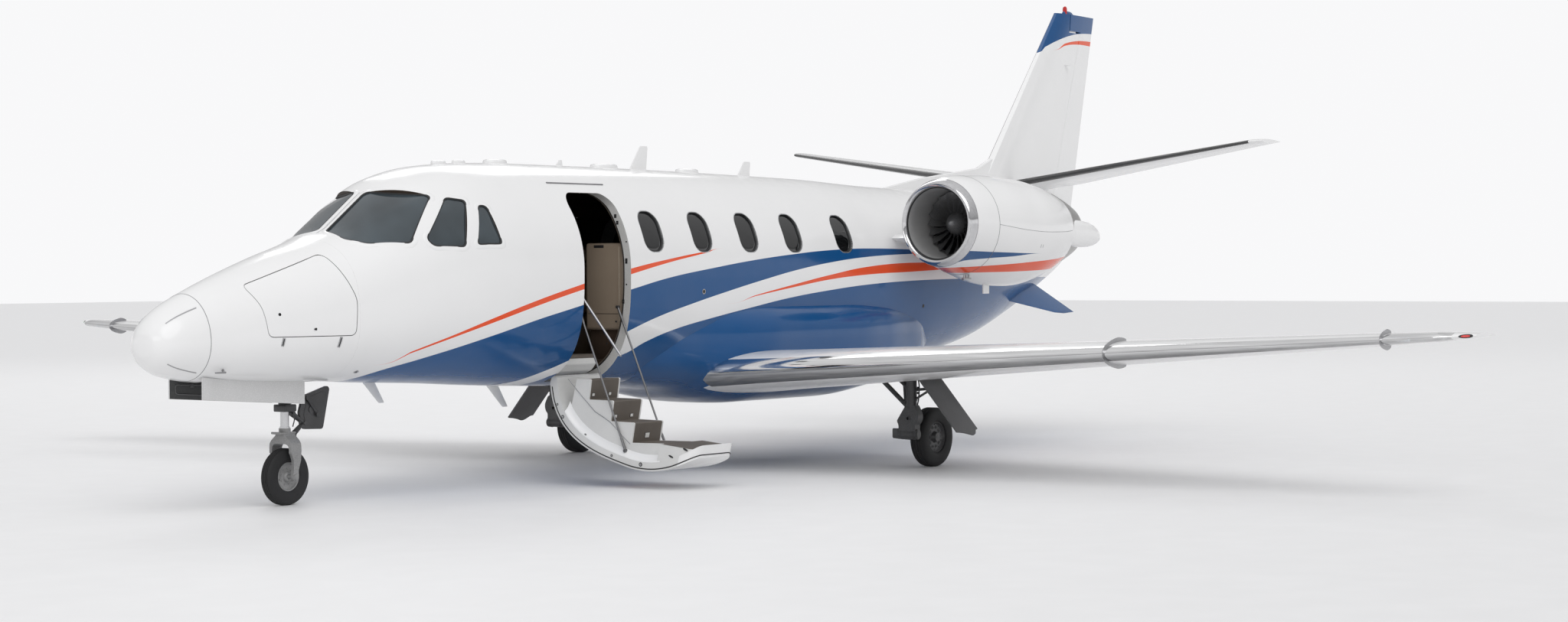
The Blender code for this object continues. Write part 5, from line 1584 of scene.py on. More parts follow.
class JET_OT_tail(bpy.types.Operator):
    """Make the fin with its cap, beacon and blade, and finish the rudder, tailplane, boots and elevators"""
    bl_idname = "jet.tail"
    bl_label = "Tail"

    def execute(self, context):
        paint, white, boot = fin_paint(), white_paint(), boot_rubber()
        fin = merged_copy("fin", "fin_skin", paint, angle=28)
        fin.data.materials.append(finish("beacon_red", (0.55, 0.010, 0.008), 0.12, 0.0, grain=60.0,
                                         bump=0.08, coat=0.8))
        for face in fin.data.polygons:
            c = face.center
            if c.z > BEACON_Z and abs(c.y) < 0.04 and BEACON_X[0] < c.x < BEACON_X[1]:
                face.material_index = 1
        ride_on(fin, "airframe", "white_paint", "fin")
        ride_on(merged_copy("rudder", "rudder_skin", paint, angle=28), "rudder", "white_paint", "rudder")
        for word in ("left", "right"):
            for node_name, body, material, slot in (("tailplane_", "airframe", white, "white_paint"),
                                                    ("tailplane_boot_", "airframe", boot, "rubber"),
                                                    ("elevator_", "elevator_", white, "white_paint")):
                own = body + word if body == "elevator_" else body
                piece = merged_copy(node_name + word, node_name + "skin_" + word, material, angle=28)
                ride_on(piece, own, slot, node_name + word)
        bm = bmesh.new()
        for side in (1, -1):
            rings = []
            for share, wide in ((-0.1, 0.004), (0.0, 0.004), (0.8, 0.003), (1.0, 0.0015)):
                out = 0.055 + 0.075 * max(share, 0)
                rings.append([Vector((-7.02 + 0.06 * a - 0.03 * share, side * (out - 0.004),
                                      4.49 + b * wide / 0.5)) for a, b in
                              unit_foil(8)])
            roll_up(bm, rings)
        put("fin_blades", bm, white, "white_paint")
        bm = bmesh.new()
        rings = []
        for share, low, tall in ((0.0, 5.10, 0.0), (0.0, BEACON_Z, 0.0)):
            rings.append([(-7.20 - 0.14 * math.cos(t), 0.030 * math.sin(t), low) for t in
                          turns(32)])
        for rise, size in ((0.020, 0.95), (0.034, 0.8), (0.042, 0.55), (0.045, 0.2), (0.045, 0.02)):
            rings.append([(-7.18 - 0.13 * size * math.cos(t), 0.027 * size * math.sin(t), BEACON_Z + rise)
                          for t in turns(32)])
        roll_up(bm, rings)
        blue = finish("cap_blue", tuple(context.scene.jet_colours.blue), 0.2, 0.0, grain=60.0, bump=0.02,
                      coat=0.6)
        put("beacon_fairing", bm, blue, "white_paint")
        return {"FINISHED"}


# Engines

def cowl_ring(x, rows, y, grow=0.0, points=120):
    centre, tall, wide = smooth_table(rows, x)
    return [(x, y + (wide + grow) * math.cos(t),
             centre + (tall + grow) * math.sin(t)) for t in turns(points, 0.5)]


class JET_OT_engines(bpy.types.Operator):
    """Make the cowls with their polished lips, the fans, spinners, reversers and pylons"""
    bl_idname = "jet.engines"
    bl_label = "Engines"

    def execute(self, context):
        paint, lip, duct, dark = cowl_paint(), chrome(), duct_grey(), dark_metal()
        metal, seal = satin_metal(), seal_rubber()
        for side, word in SIDES:
            y = side * ENGINE_Y
            inner = [-2.30, -2.2, -2.12, -2.0, -1.9, -1.8, -1.74, -1.70, -1.67, -1.65, -1.635, -1.625,
                     -1.618, -1.612, -1.606]
            outer = [-1.6005, -1.603, -1.607, -1.612, -1.62, -1.63, -1.645, -1.66, -1.68, -1.705, -1.706,
                     -1.74, -1.80]
            outer += [-1.9 - 0.1 * k for k in range(19)] + [-3.75]
            rings = [cowl_ring(x, DUCT_ROWS, y) for x in inner]
            rings += [cowl_ring(x, COWL_ROWS, y) for x in outer]
            rings += [cowl_ring(-3.75, [(-3.75, 2.40, 0.405, 0.42), (0, 0, 0, 0)], y),
                      cowl_ring(-2.30, [(-2.30, 2.42, 0.52, 0.51), (0, 0, 0, 0)], y)]
            cowl = loft("cowl_skin_" + word, rings, paint, lip, duct, dark, closed=True)
            for face in cowl.data.polygons:
                c = face.center
                r = math.hypot(c.y - y, c.z - INLET_Z)
                if c.x > LIP_X and r > 0.374:
                    face.material_index = 1
                elif r < 0.374 and c.x > -2.31:
                    face.material_index = 3 if c.x > -1.640 else 2
            smooth(cowl, 45)
            ride_on(cowl, "airframe", "white_paint", "nacelle_" + word)

            fan = bmesh.new()
            profile = [(-1.862, 0.0005), (-1.868, 0.014), (-1.885, 0.036), (-1.910, 0.060), (-1.940, 0.083),
                       (-1.970, 0.102), (-2.000, 0.116), (-2.030, 0.124), (-2.078, 0.126), (-2.078, 0.0005)]
            add_turned(fan, profile, (0, y, INLET_Z), "x", 72)
            for i in range(FAN_BLADES):
                turn = 2 * math.pi * i / FAN_BLADES
                rings = []
                for k in range(9):
                    share = k / 8
                    r = 0.100 + (FAN_RADIUS - 0.100) * share
                    lean = math.radians(24 + 32 * share)
                    bow = turn + side * (0.10 * share - 0.22 * share**2)
                    out = Vector((0, math.cos(bow), math.sin(bow)))
                    round_ = Vector((0, -math.sin(bow), math.cos(bow)))
                    along = Vector((1, 0, 0)) * math.cos(lean) + round_ * math.sin(lean) * side
                    across = Vector((-1, 0, 0)) * math.sin(lean) + round_ * math.cos(lean) * side
                    chord = 0.070 + 0.045 * share
                    middle = Vector((-2.028, y, INLET_Z)) + out * r
                    thin = 1.2 - 0.6 * share
                    rings.append([middle + along * (a * chord)
                                  + across * (b * 0.010 * thin + 0.010 * (1 - 4 * a * a)) for a,
                                  b in unit_foil(5)])
                roll_up(fan, rings)
            put("fan_rotor_" + word, fan, finish("fan_blade_metal", (0.20, 0.20, 0.205), 0.34, 0.7,
                    grain=180.0, bump=0.04, vary=0.25), "steel", "fan_" + word, body="fan_" + word)

            core = bmesh.new()
            add_turned(core, [(-2.13, 0.130), (-2.13, 0.3575), (-2.60, 0.350), (-2.60, 0.130)],
                       (0, y, INLET_Z), "x", 72)
            for k in range(36):
                t = 2 * math.pi * k / 36
                out, round_ = Vector((0, math.cos(t), math.sin(t))), Vector((0, -math.sin(t), math.cos(t)))
                rings = []
                for r in (0.12, 0.355):
                    middle = Vector((-2.112, y, INLET_Z)) + out * r
                    rings.append([middle + Vector((0.02, 0, 0)) + round_ * 0.006,
                                  middle + Vector((0.02, 0, 0)) - round_ * 0.004,
                                  middle - Vector((0.02, 0, 0)) - round_ * 0.003,
                                  middle - Vector((0.02, 0, 0)) + round_ * 0.004])
                roll_up(core, rings)
            add_turned(core, [(-3.60, 0.001), (-3.60, 0.325), (-3.70, 0.325), (-3.72, 0.24), (-3.85, 0.215),
                              (-3.98, 0.150),
                              (-4.08, 0.075), (-4.12, 0.03), (-4.125, 0.001)], (0, y, 2.408), "x", 72)
            put("engine_core_" + word, core, dark, "steel", "engine_" + word)

            tail = bmesh.new()
            profile = [(-3.7503, 0.428), (-3.80, 0.420), (-3.95, 0.385), (-4.08, 0.346), (-4.20, 0.306),
                       (-4.206, 0.300),
                       (-4.206, 0.290), (-4.20, 0.285), (-4.00, 0.318), (-3.7503, 0.350)]
            add_turned(tail, profile, (0, y, 2.405), "x", 96)
            ring = [(-3.7515, 0.437), (-3.7503, 0.30), (-3.765, 0.30), (-3.765, 0.434)]
            add_turned(tail, ring, (0, y, 2.403), "x", 96)
            put("reverser_shell_" + word, tail, finish("reverser_metal", (0.40, 0.395, 0.385), 0.34, 0.75,
                    grain=60.0, bump=0.05, vary=0.15), "steel", "reverser_" + word)
            fairings = bmesh.new()
            for out in (1, -1):
                rings = []
                for x, z, tall, wide in ((-3.752, 2.372, 0.118, 0.044), (-3.80, 2.370, 0.138, 0.054),
                                         (-3.92, 2.366, 0.150, 0.064),
                                         (-4.05, 2.362, 0.148, 0.068), (-4.20, 2.355, 0.136, 0.064),
                                         (-4.32, 2.347, 0.110, 0.052),
                                         (-4.40, 2.340, 0.080, 0.038), (-4.45, 2.335, 0.050, 0.024),
                                         (-4.468, 2.333, 0.020, 0.010)):
                    rings.append([(x, y + out * 0.365 + wide * math.copysign(abs(math.cos(t)) ** 0.8,
                            math.cos(t)),
                                   z + tall * math.copysign(abs(math.sin(t)) ** 0.9, math.sin(t)))
                                  for t in turns(40, 0.5)])
                roll_up(fairings, rings)
            put("reverser_fairings_" + word, fairings, white_paint(), "white_paint", angle=45)

            pylon = merged_copy("pylon_" + word, "pylon_skin_" + word, white_paint(), angle=32)
            ride_on(pylon, "airframe", "white_paint", "pylon_" + word)

            seams = bmesh.new()
            rows = COWL_ROWS

            def on_cowl(p, y=y):
                x, t = p[0], p[1]
                centre, tall, wide = smooth_table(rows, x)
                normal = Vector((0.0, math.cos(t) * tall, math.sin(t) * wide)).normalized()
                return Vector((x, y + wide * math.cos(t), centre + tall * math.sin(t))), normal

            width = context.scene.jet_sizes.seam_width
            ribbon(seams, [(-2.045, 2 * math.pi * k / 96, 0) for k in range(96)], width, place=on_cowl,
                   closed=True)
            middle = 0.0 if side > 0 else math.pi
            ribbon(seams, [(-2.05 - 0.05 * k, middle, 0) for k in range(34)], width * 0.7, place=on_cowl)
            ribbon(seams, [(-1.7055, 2 * math.pi * k / 96, 0) for k in range(96)], width * 0.7,
                   place=on_cowl, closed=True)
            for x in (-2.86, -2.90):
                ribbon(seams, [(x, middle - side * (0.24 + 0.012 * k), 0) for k in range(6)], 0.004,
                       place=on_cowl)
            put("cowl_seams_" + word, seams, seam_line(), "rubber")

            ring = bmesh.new()
            profile = [(-1.628, 0.3855), (-1.630, 0.376), (-1.640, 0.370), (-1.652, 0.3735),
                       (-1.652, 0.380)]
            add_turned(ring, profile, (0, y, INLET_Z), "x", 120)
            put("lip_seal_" + word, ring, seal, "rubber")

            drain = bmesh.new()
            low = 2.375 - 0.58
            add_block(drain, (-2.62, y - 0.009 + side * 0.03, low - 0.085),
                      (-2.50, y + 0.009 + side * 0.03, low + 0.03), 0.004)
            put("cowl_drain_blade_" + word, drain, white_paint(), "white_paint")
            drain = bmesh.new()
            for dx, r in ((0.0, 0.016), (0.045, 0.011), (-0.045, 0.010)):
                add_bar(drain, (-2.05 + dx, y + side * 0.10, 1.915), (-2.05 + dx, y + side * 0.10, 1.872),
                        r, 14)
            add_block(drain, (-2.12, y + side * 0.10 - 0.020, 1.862),
                      (-1.98, y + side * 0.10 + 0.020, 1.885), 0.004)
            put("cowl_drains_" + word, drain, metal, "steel")
        return {"FINISHED"}


# Airstair and doorway

def soft_path(path, reach, points=5):
    """An open path of 2-D points with each inner corner replaced by a short curve."""
    result = [Vector((*path[0], 0.0))]
    for before, corner, after in zip(path, path[1:], path[2:]):
        ring = soft_corners([(*before, 0.0), (*corner, 0.0), (*after, 0.0)], reach, points)
        result += ring[points + 1:2 * (points + 1)]
    result.append(Vector((*path[-1], 0.0)))
    return [(p.x, p.y) for p in result]


def offset_path(path, distance):
    """An open 2-D path moved sideways, to the left of its direction."""
    result = []
    for i, p in enumerate(path):
        before, after = path[max(i - 1, 0)], path[min(i + 1, len(path) - 1)]
        along = Vector((after[0] - before[0], after[1] - before[1])).normalized()
        result.append((p[0] - along.y * distance, p[1] + along.x * distance))
    return result


def strip(name, path, outer, inner, low, high, material):
    """A flat band along a path on the airstair, from an outer to an inner offset, between two stations."""
    rings = [[(low, *a), (high, *a), (high, *b), (low, *b)] for a,
             b in zip(offset_path(path, outer), offset_path(path, inner))]
    return loft(name, rings, material)


def swing():
    y, z = DOOR_HINGE
    return (Matrix.Translation((0, y, z)) @ Matrix.Rotation(-DOOR_OPEN, 4,
            "X") @ Matrix.Translation((0, -y, -z)))


def on_door(obj, slot, *nodes):
    """Open a piece that was made where the door is shut, and let it ride on the airstair."""
    obj.data.transform(swing())
    return ride_on(obj, "airstair", slot, *nodes)


def inset_side(x, z, inset):
    """Half width at a station and height of the surface that lies under the skin by an inset."""
    half, top, bottom, widest, low_n, high_n = hull_row(round(x, 5))
    n, reach = (high_n, top - inset - widest) if z >= widest else (low_n, widest - bottom - inset)
    share = min(abs(z - widest) / reach, 1.0)
    return (half - inset) * (1 - share**n) ** (1 / n)


def door_edge(grow, inset, low_z=1.0, steps=40):
    """The door's outline on a surface under the skin, from its forward foot over the top to its aft foot."""
    half, middle = (DOOR_X[1] - DOOR_X[0]) / 2 + grow, sum(DOOR_X) / 2
    corner, top = DOOR_CORNER + grow, DOOR_Z[1] + grow
    rise = top - corner - low_z
    path = [(middle + half, low_z + rise * k / steps) for k in range(steps)]
    path += circle((middle + half - corner, top - corner), corner, 12, 0.0, math.pi / 2)
    path += [(middle + (half - corner) * (1 - k / 4), top) for k in range(1, 8)]
    path += circle((middle - half + corner, top - corner), corner, 12, math.pi / 2, math.pi)
    path += [(middle - half, top - corner - rise * k / steps) for k in range(1, steps + 1)]
    return [Vector((x, inset_side(x, z, inset), z)) for x, z in path]


def bolt(bm, point, normal, radius, tall=0.004, points=18):
    point, normal = Vector(point), Vector(normal).normalized()
    add_bar(bm, point - normal * 0.003, point + normal * tall, radius, points)


class JET_OT_airstair(bpy.types.Operator):
    """Make the open airstair with its steps, rim, cables and handrail"""
    bl_idname = "jet.airstair"
    bl_label = "Airstair"

    def execute(self, context):
        y, z = DOOR_HINGE
        turn = DOOR_OPEN
        location = (0.0, y - y * math.cos(turn) + z * math.sin(turn),
                    z - y * math.sin(turn) - z * math.cos(turn))
        outside = body_paint("airstair_paint", (location, (turn, 0.0, 0.0)))
        rim, inside, cover = white_paint(), moulded_white(), riser_brown()
        dark, metal = seal_rubber(), satin_metal()

        door = shell("airstair_skin", DOOR_X[0] - 0.3, DOOR_X[1] + 0.3, WALL, outside, step=0.04)
        keep(door, door_space("outline", 0.0))
        door.data.materials.append(rim)
        door.data.materials.append(inside)
        for face in door.data.polygons:
            c = face.center
            if c.y < inset_side(c.x, c.z, WALL * 0.92):
                face.material_index = 2
            elif hull_level(c.x, c.y, c.z) < 0.995:
                face.material_index = 1
        skin_shading(door)
        on_door(door, "white_paint", "airstair")

        line = soft_path(STEP_LINE, 0.012)
        heights = [2.40 - 0.1 * k for k in range(12)] + [1.215]
        steps = prism("steps", [*line, *[(inset_side(3.1, h, WALL - 0.02), h) for h in heights]], *STEP_X,
                      "x", inside)
        heights = [2.69 - 0.045 * k for k in range(9)]
        plate = prism("plate", [(0.652, 2.325), (0.610, 2.60), (0.596, 2.69),
                                *[(inset_side(3.1, h, WALL - 0.02), h) for h in heights]],
                      DOOR_X[0] + 0.004,
                      DOOR_X[1] - 0.004, "x", inside)
        pieces = [steps, keep(plate, door_space("plate_outline", -0.003))]
        for low, high in ((STEP_X[0] - 0.001, STEP_X[0] + 0.016), (STEP_X[1] - 0.016, STEP_X[1] + 0.001)):
            pieces.append(strip("lip", line, 0.0055, -0.005, low, high, inside))
        for side, edge in ((1, DOOR_X[1]), (-1, DOOR_X[0])):
            rings = []
            for k in range(61):
                h = 1.19 + 1.17 * k / 60
                rings.append([(edge - side * a, inset_side(3.1, h, b), h) for a, b in RIDGE])
            bm = bmesh.new()
            roll_up(bm, rings)
            pieces.append(mesh_object("ridge", bm, rim))
        body = smooth(joined("airstair_steps", *pieces), 32)
        on_door(body, "white_paint")

        covers = [strip("cover", line, 0.003, -0.004, STEP_X[0] + 0.014, STEP_X[1] - 0.014, cover)]
        top = soft_path([(0.656, 2.318), (0.610, 2.60), (0.594, 2.692), (0.622, 2.699)], 0.012)
        covers.append(strip("cover", top, 0.003, -0.004, DOOR_X[0] + 0.03, DOOR_X[1] - 0.03, cover))
        keep(covers[1], door_space("cover_outline", -0.006))
        treads = smooth(joined("airstair_treads", *covers), 32)
        on_door(treads, "beige_trim")

        lamps, cases = bmesh.new(), bmesh.new()
        for (top_y, top_z), (low_y, low_z), spots, wide, tall in STEP_LIGHTS:
            down = Vector((0, low_y - top_y, low_z - top_z))
            out = Vector((0, -down.z, down.y)).normalized()
            for x, share in spots:
                middle = Vector((x, top_y, top_z)) + down * share
                for bm, grow, lift in ((cases, 0.004, 0.0045), (lamps, 0.0, 0.0060)):
                    rings = []
                    for inset, rise in ((0.0, -0.004), (0.0, lift - 0.001), (0.0015, lift)):
                        across, along = wide / 2 + grow - inset, tall / 2 + grow - inset
                        rings.append([middle + Vector((a * across, 0, 0)) + down.normalized() * (b * along)
                                      + out * (rise + 0.002) for a,
                                      b in ((1, 1), (-1, 1), (-1, -1), (1, -1))])
                    roll_up(bm, rings)
        lamp = finish("step_lamp", (0.72, 0.72, 0.70), 0.25, 0.0, grain=500.0, bump=0.2, coat=0.6)
        for name, bm, material, slot in (("step_lamps", lamps, lamp, "glass"),
                                         ("step_lamp_cases", cases, dark, "rubber")):
            piece = smooth(mesh_object(name, bm, material), 30)
            on_door(piece, slot)

        bm = bmesh.new()
        add_pipe(bm, door_edge(-0.0005, 0.020, 0.99), 0.0055, 10)
        seal = smooth(mesh_object("airstair_seal", bm, dark), 50)
        on_door(seal, "rubber")

        # The dark pieces are painted shade: dark rings round the pins and dark slots on the airstair's sides,
        # where holes and slots lie.
        bm, holes = bmesh.new(), bmesh.new()
        for side, edge in ((1, DOOR_X[1]), (-1, DOOR_X[0])):
            for h, depth, r in ((1.09, 0.045, 0.012), (1.18, 0.045, 0.017), (1.47, 0.092, 0.013),
                                (1.82, 0.048, 0.013),
                                (2.16, 0.055, 0.019)):
                point = (edge - side * (0.0 if depth < 0.07 else 0.008), inset_side(3.1, h, depth), h)
                bolt(holes, point, (side, 0, 0), r, 0.0015)
                bolt(bm, point, (side, 0, 0), r * 0.62, 0.0040)
            for h in (2.47, 2.61):
                middle = Vector((edge, inset_side(3.1, h, 0.105), h))
                ring = [middle + Vector((0, 0.010 * math.cos(t), 0.026 * math.sin(t) + 0.01 * math.cos(t)))
                        for t in turns(24)]
                roll_up(holes, [[p + Vector((side * lift, 0, 0)) for p in ring] for lift in (-0.006,
                        -0.0025)])
        add_pipe(bm, [swing_back(p) for p in RIB], 0.0035, 8)
        for name, made, material, slot in (("airstair_pins", bm, metal, "steel"),
                                           ("airstair_slot_shade", holes, dark, "rubber")):
            piece = smooth(mesh_object(name, made, material), 40)
            on_door(piece, slot)

        bm = bmesh.new()
        outline = soft_outline(SILL, 0.012)
        platform = prism("sill_platform", outline, SILL_X[0], SILL_X[1], "x", inside)
        ride_on(smooth(platform, 32), "airframe", "white_paint")
        mat = prism("sill_mat", [(0.36, 1.185), (0.36, 1.1985), (0.592, 1.2015), (0.602, 1.1975),
                                 (0.612, 1.186), (0.6205, 1.167),
                                             (0.616, 1.165), (0.604, 1.182), (0.590, 1.190)],
                    SILL_X[0] + 0.01, SILL_X[1] - 0.05, "x", cover)
        ride_on(smooth(mat, 32), "airframe", "beige_trim")

        cable_steel = finish("cable_steel", (0.20, 0.20, 0.205), 0.36, 0.9, grain=600.0, bump=0.25,
                             vary=0.15, stretch=(1, 1, 3))
        for word, top, foot in CABLES:
            top, foot = Vector(top), Vector(foot)
            along = (foot - top).normalized()
            bm = bmesh.new()
            add_bar(bm, top, foot, 0.009, 12)
            add_bar(bm, top, top + along * 0.11, 0.012, 14)
            add_bar(bm, foot - along * 0.12, foot, 0.012, 14)
            for spot in (top, foot):
                add_bar(bm, spot - Vector((0.016, 0, 0)), spot + Vector((0.016, 0, 0)), 0.015, 20)
                add_bar(bm, spot - Vector((0.020, 0, 0)), spot + Vector((0.020, 0, 0)), 0.007, 12)
            cable = smooth(mesh_object("stay_" + word, bm, cable_steel), 40)
            ride_on(cable, "airframe", "steel", "airstair_cable_" + word)
            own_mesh(cable)
        top, foot = Vector(HANDRAIL[0]), Vector(HANDRAIL[1])
        radius = context.scene.jet_sizes.handrail / 2
        bm = bmesh.new()
        add_bar(bm, top, foot, radius, 24)
        add_bar(bm, foot - (foot - top).normalized() * 0.002, foot + (foot - top).normalized() * 0.006,
                radius * 1.12, 24,
                radius * 0.8)
        add_bar(bm, top - Vector((0.02, 0, 0)), top + Vector((0.02, 0, 0)), radius * 1.3, 20)
        rail = smooth(mesh_object("handrail", bm, satin_metal()), 40)
        ride_on(rail, "airframe", "polished_metal")
        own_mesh(rail)
        return {"FINISHED"}


def swing_back(point):
    return swing().inverted() @ Vector(point)


class JET_OT_doorway(bpy.types.Operator):
    """Finish the doorway: its seals, latches and inner trim"""
    bl_idname = "jet.doorway"
    bl_label = "Doorway"

    def execute(self, context):
        dark, metal, trim = seal_rubber(), satin_metal(), finish(
            "inner_trim", (0.13, 0.10, 0.075), 0.45, 0.0, grain=200.0, bump=0.1, coat=0.2)
        bm = bmesh.new()
        add_pipe(bm, door_edge(MOVING_GAP + 0.0095, 0.082, 0.985), 0.011, 12)
        put("doorway_seal", bm, dark, "rubber", angle=50)
        bm = bmesh.new()
        add_pipe(bm, door_edge(MOVING_GAP + 0.016, 0.100, 1.01), 0.007, 10)
        put("doorway_inner_trim", bm, trim, "beige_trim", angle=50)
        bm = bmesh.new()
        add_pipe(bm, door_edge(MOVING_GAP + 0.0035, 0.040, 0.985), 0.0030, 8)
        put("doorway_step_line", bm, trim_grey(), "white_paint", angle=50)
        bm, blocks = bmesh.new(), bmesh.new()
        for side, edge in ((1, DOOR_X[0] - MOVING_GAP), (-1, DOOR_X[1] + MOVING_GAP)):
            for y, z, r in ((0.777, 1.502, 0.009), (0.665, 1.294, 0.008), (0.905, 1.85, 0.008),
                            (0.905, 2.25, 0.008)):
                bolt(blocks, (edge, y, z), (side, 0, 0), r, 0.002)
            for y, z, tall in ((0.776, 2.492, 0.034), (0.800, 2.430, 0.034), (0.905, 2.071, 0.048),
                               (0.866, 1.690, 0.040)):
                add_block(blocks, (edge - 0.0035, y - 0.013, z - tall / 2),
                          (edge + 0.0035, y + 0.013, z + tall / 2), 0.0015)
                bolt(bm, (edge, y, z), (side, 0, 0), 0.008, 0.0048)
        for x in (3.30, 3.08):
            y = inset_side(x, 2.69, 0.035)
            bolt(blocks, (x, y, DOOR_Z[1] + MOVING_GAP), (0, 0, -1), 0.013, 0.002)
            bolt(bm, (x + 0.02, y, DOOR_Z[1] + MOVING_GAP), (0, 0, -1), 0.008, 0.005)
        put("latch_blocks", blocks, dark, "rubber")
        put("latch_pins", bm, metal, "steel")
        return {"FINISHED"}


# Landing gear

def tyre(name, centre, outer, inner, width, grooves, bodies, node_name):
    half = width / 2
    side = [(0.60, inner), (0.74, inner + 0.001), (0.86, inner + 0.008), (0.945, inner + 0.024),
            (0.985, (inner + outer) / 2 - 0.012), (1.0, (inner + outer) / 2 + 0.008),
            (0.975, outer - 0.040),
            (0.915, outer - 0.022), (0.83, outer - 0.0115), (0.72, outer - 0.005), (0.60, outer - 0.002)]
    tread = []
    for g in grooves:
        tread += [(g + 0.045, outer - 0.0006), (g + 0.030, outer - 0.0065), (g - 0.030, outer - 0.0065),
                  (g - 0.045, outer - 0.0006)]
    profile = [(a * half, r) for a, r in side] + [(a * half, r) for a, r in tread]
    profile += [(-a * half, r) for a, r in reversed(side)]
    bm = bmesh.new()
    add_turned(bm, profile, centre, "y", 96)
    put(name, bm, tyre_rubber(), "tyre", node_name, body=bodies, angle=30)


def wheel(bm, centre, inner, width, hub, dish):
    """A wheel's rim and web, turned about its axle; dish is where the web's faces lie, as shares."""
    half, rim = width / 2, inner - HAIR
    faces = []
    for side, depth in zip((1, -1), dish):
        faces.append([(side * half * a, r) for a, r in (
            (0.66, rim), (0.73, rim - 0.002), (0.74, rim - 0.007), (0.68, rim - 0.012),
            (depth + 0.10, rim - 0.018),
            (depth + 0.02, rim - 0.028), (depth, rim - 0.036), (depth, hub + 0.034),
            (depth + 0.06, hub + 0.029),
            (0.76, hub + 0.022), (0.85, hub + 0.016), (0.86, hub + 0.001))])
    add_turned(bm, [*faces[0], *reversed(faces[1])], centre, "y", 96)


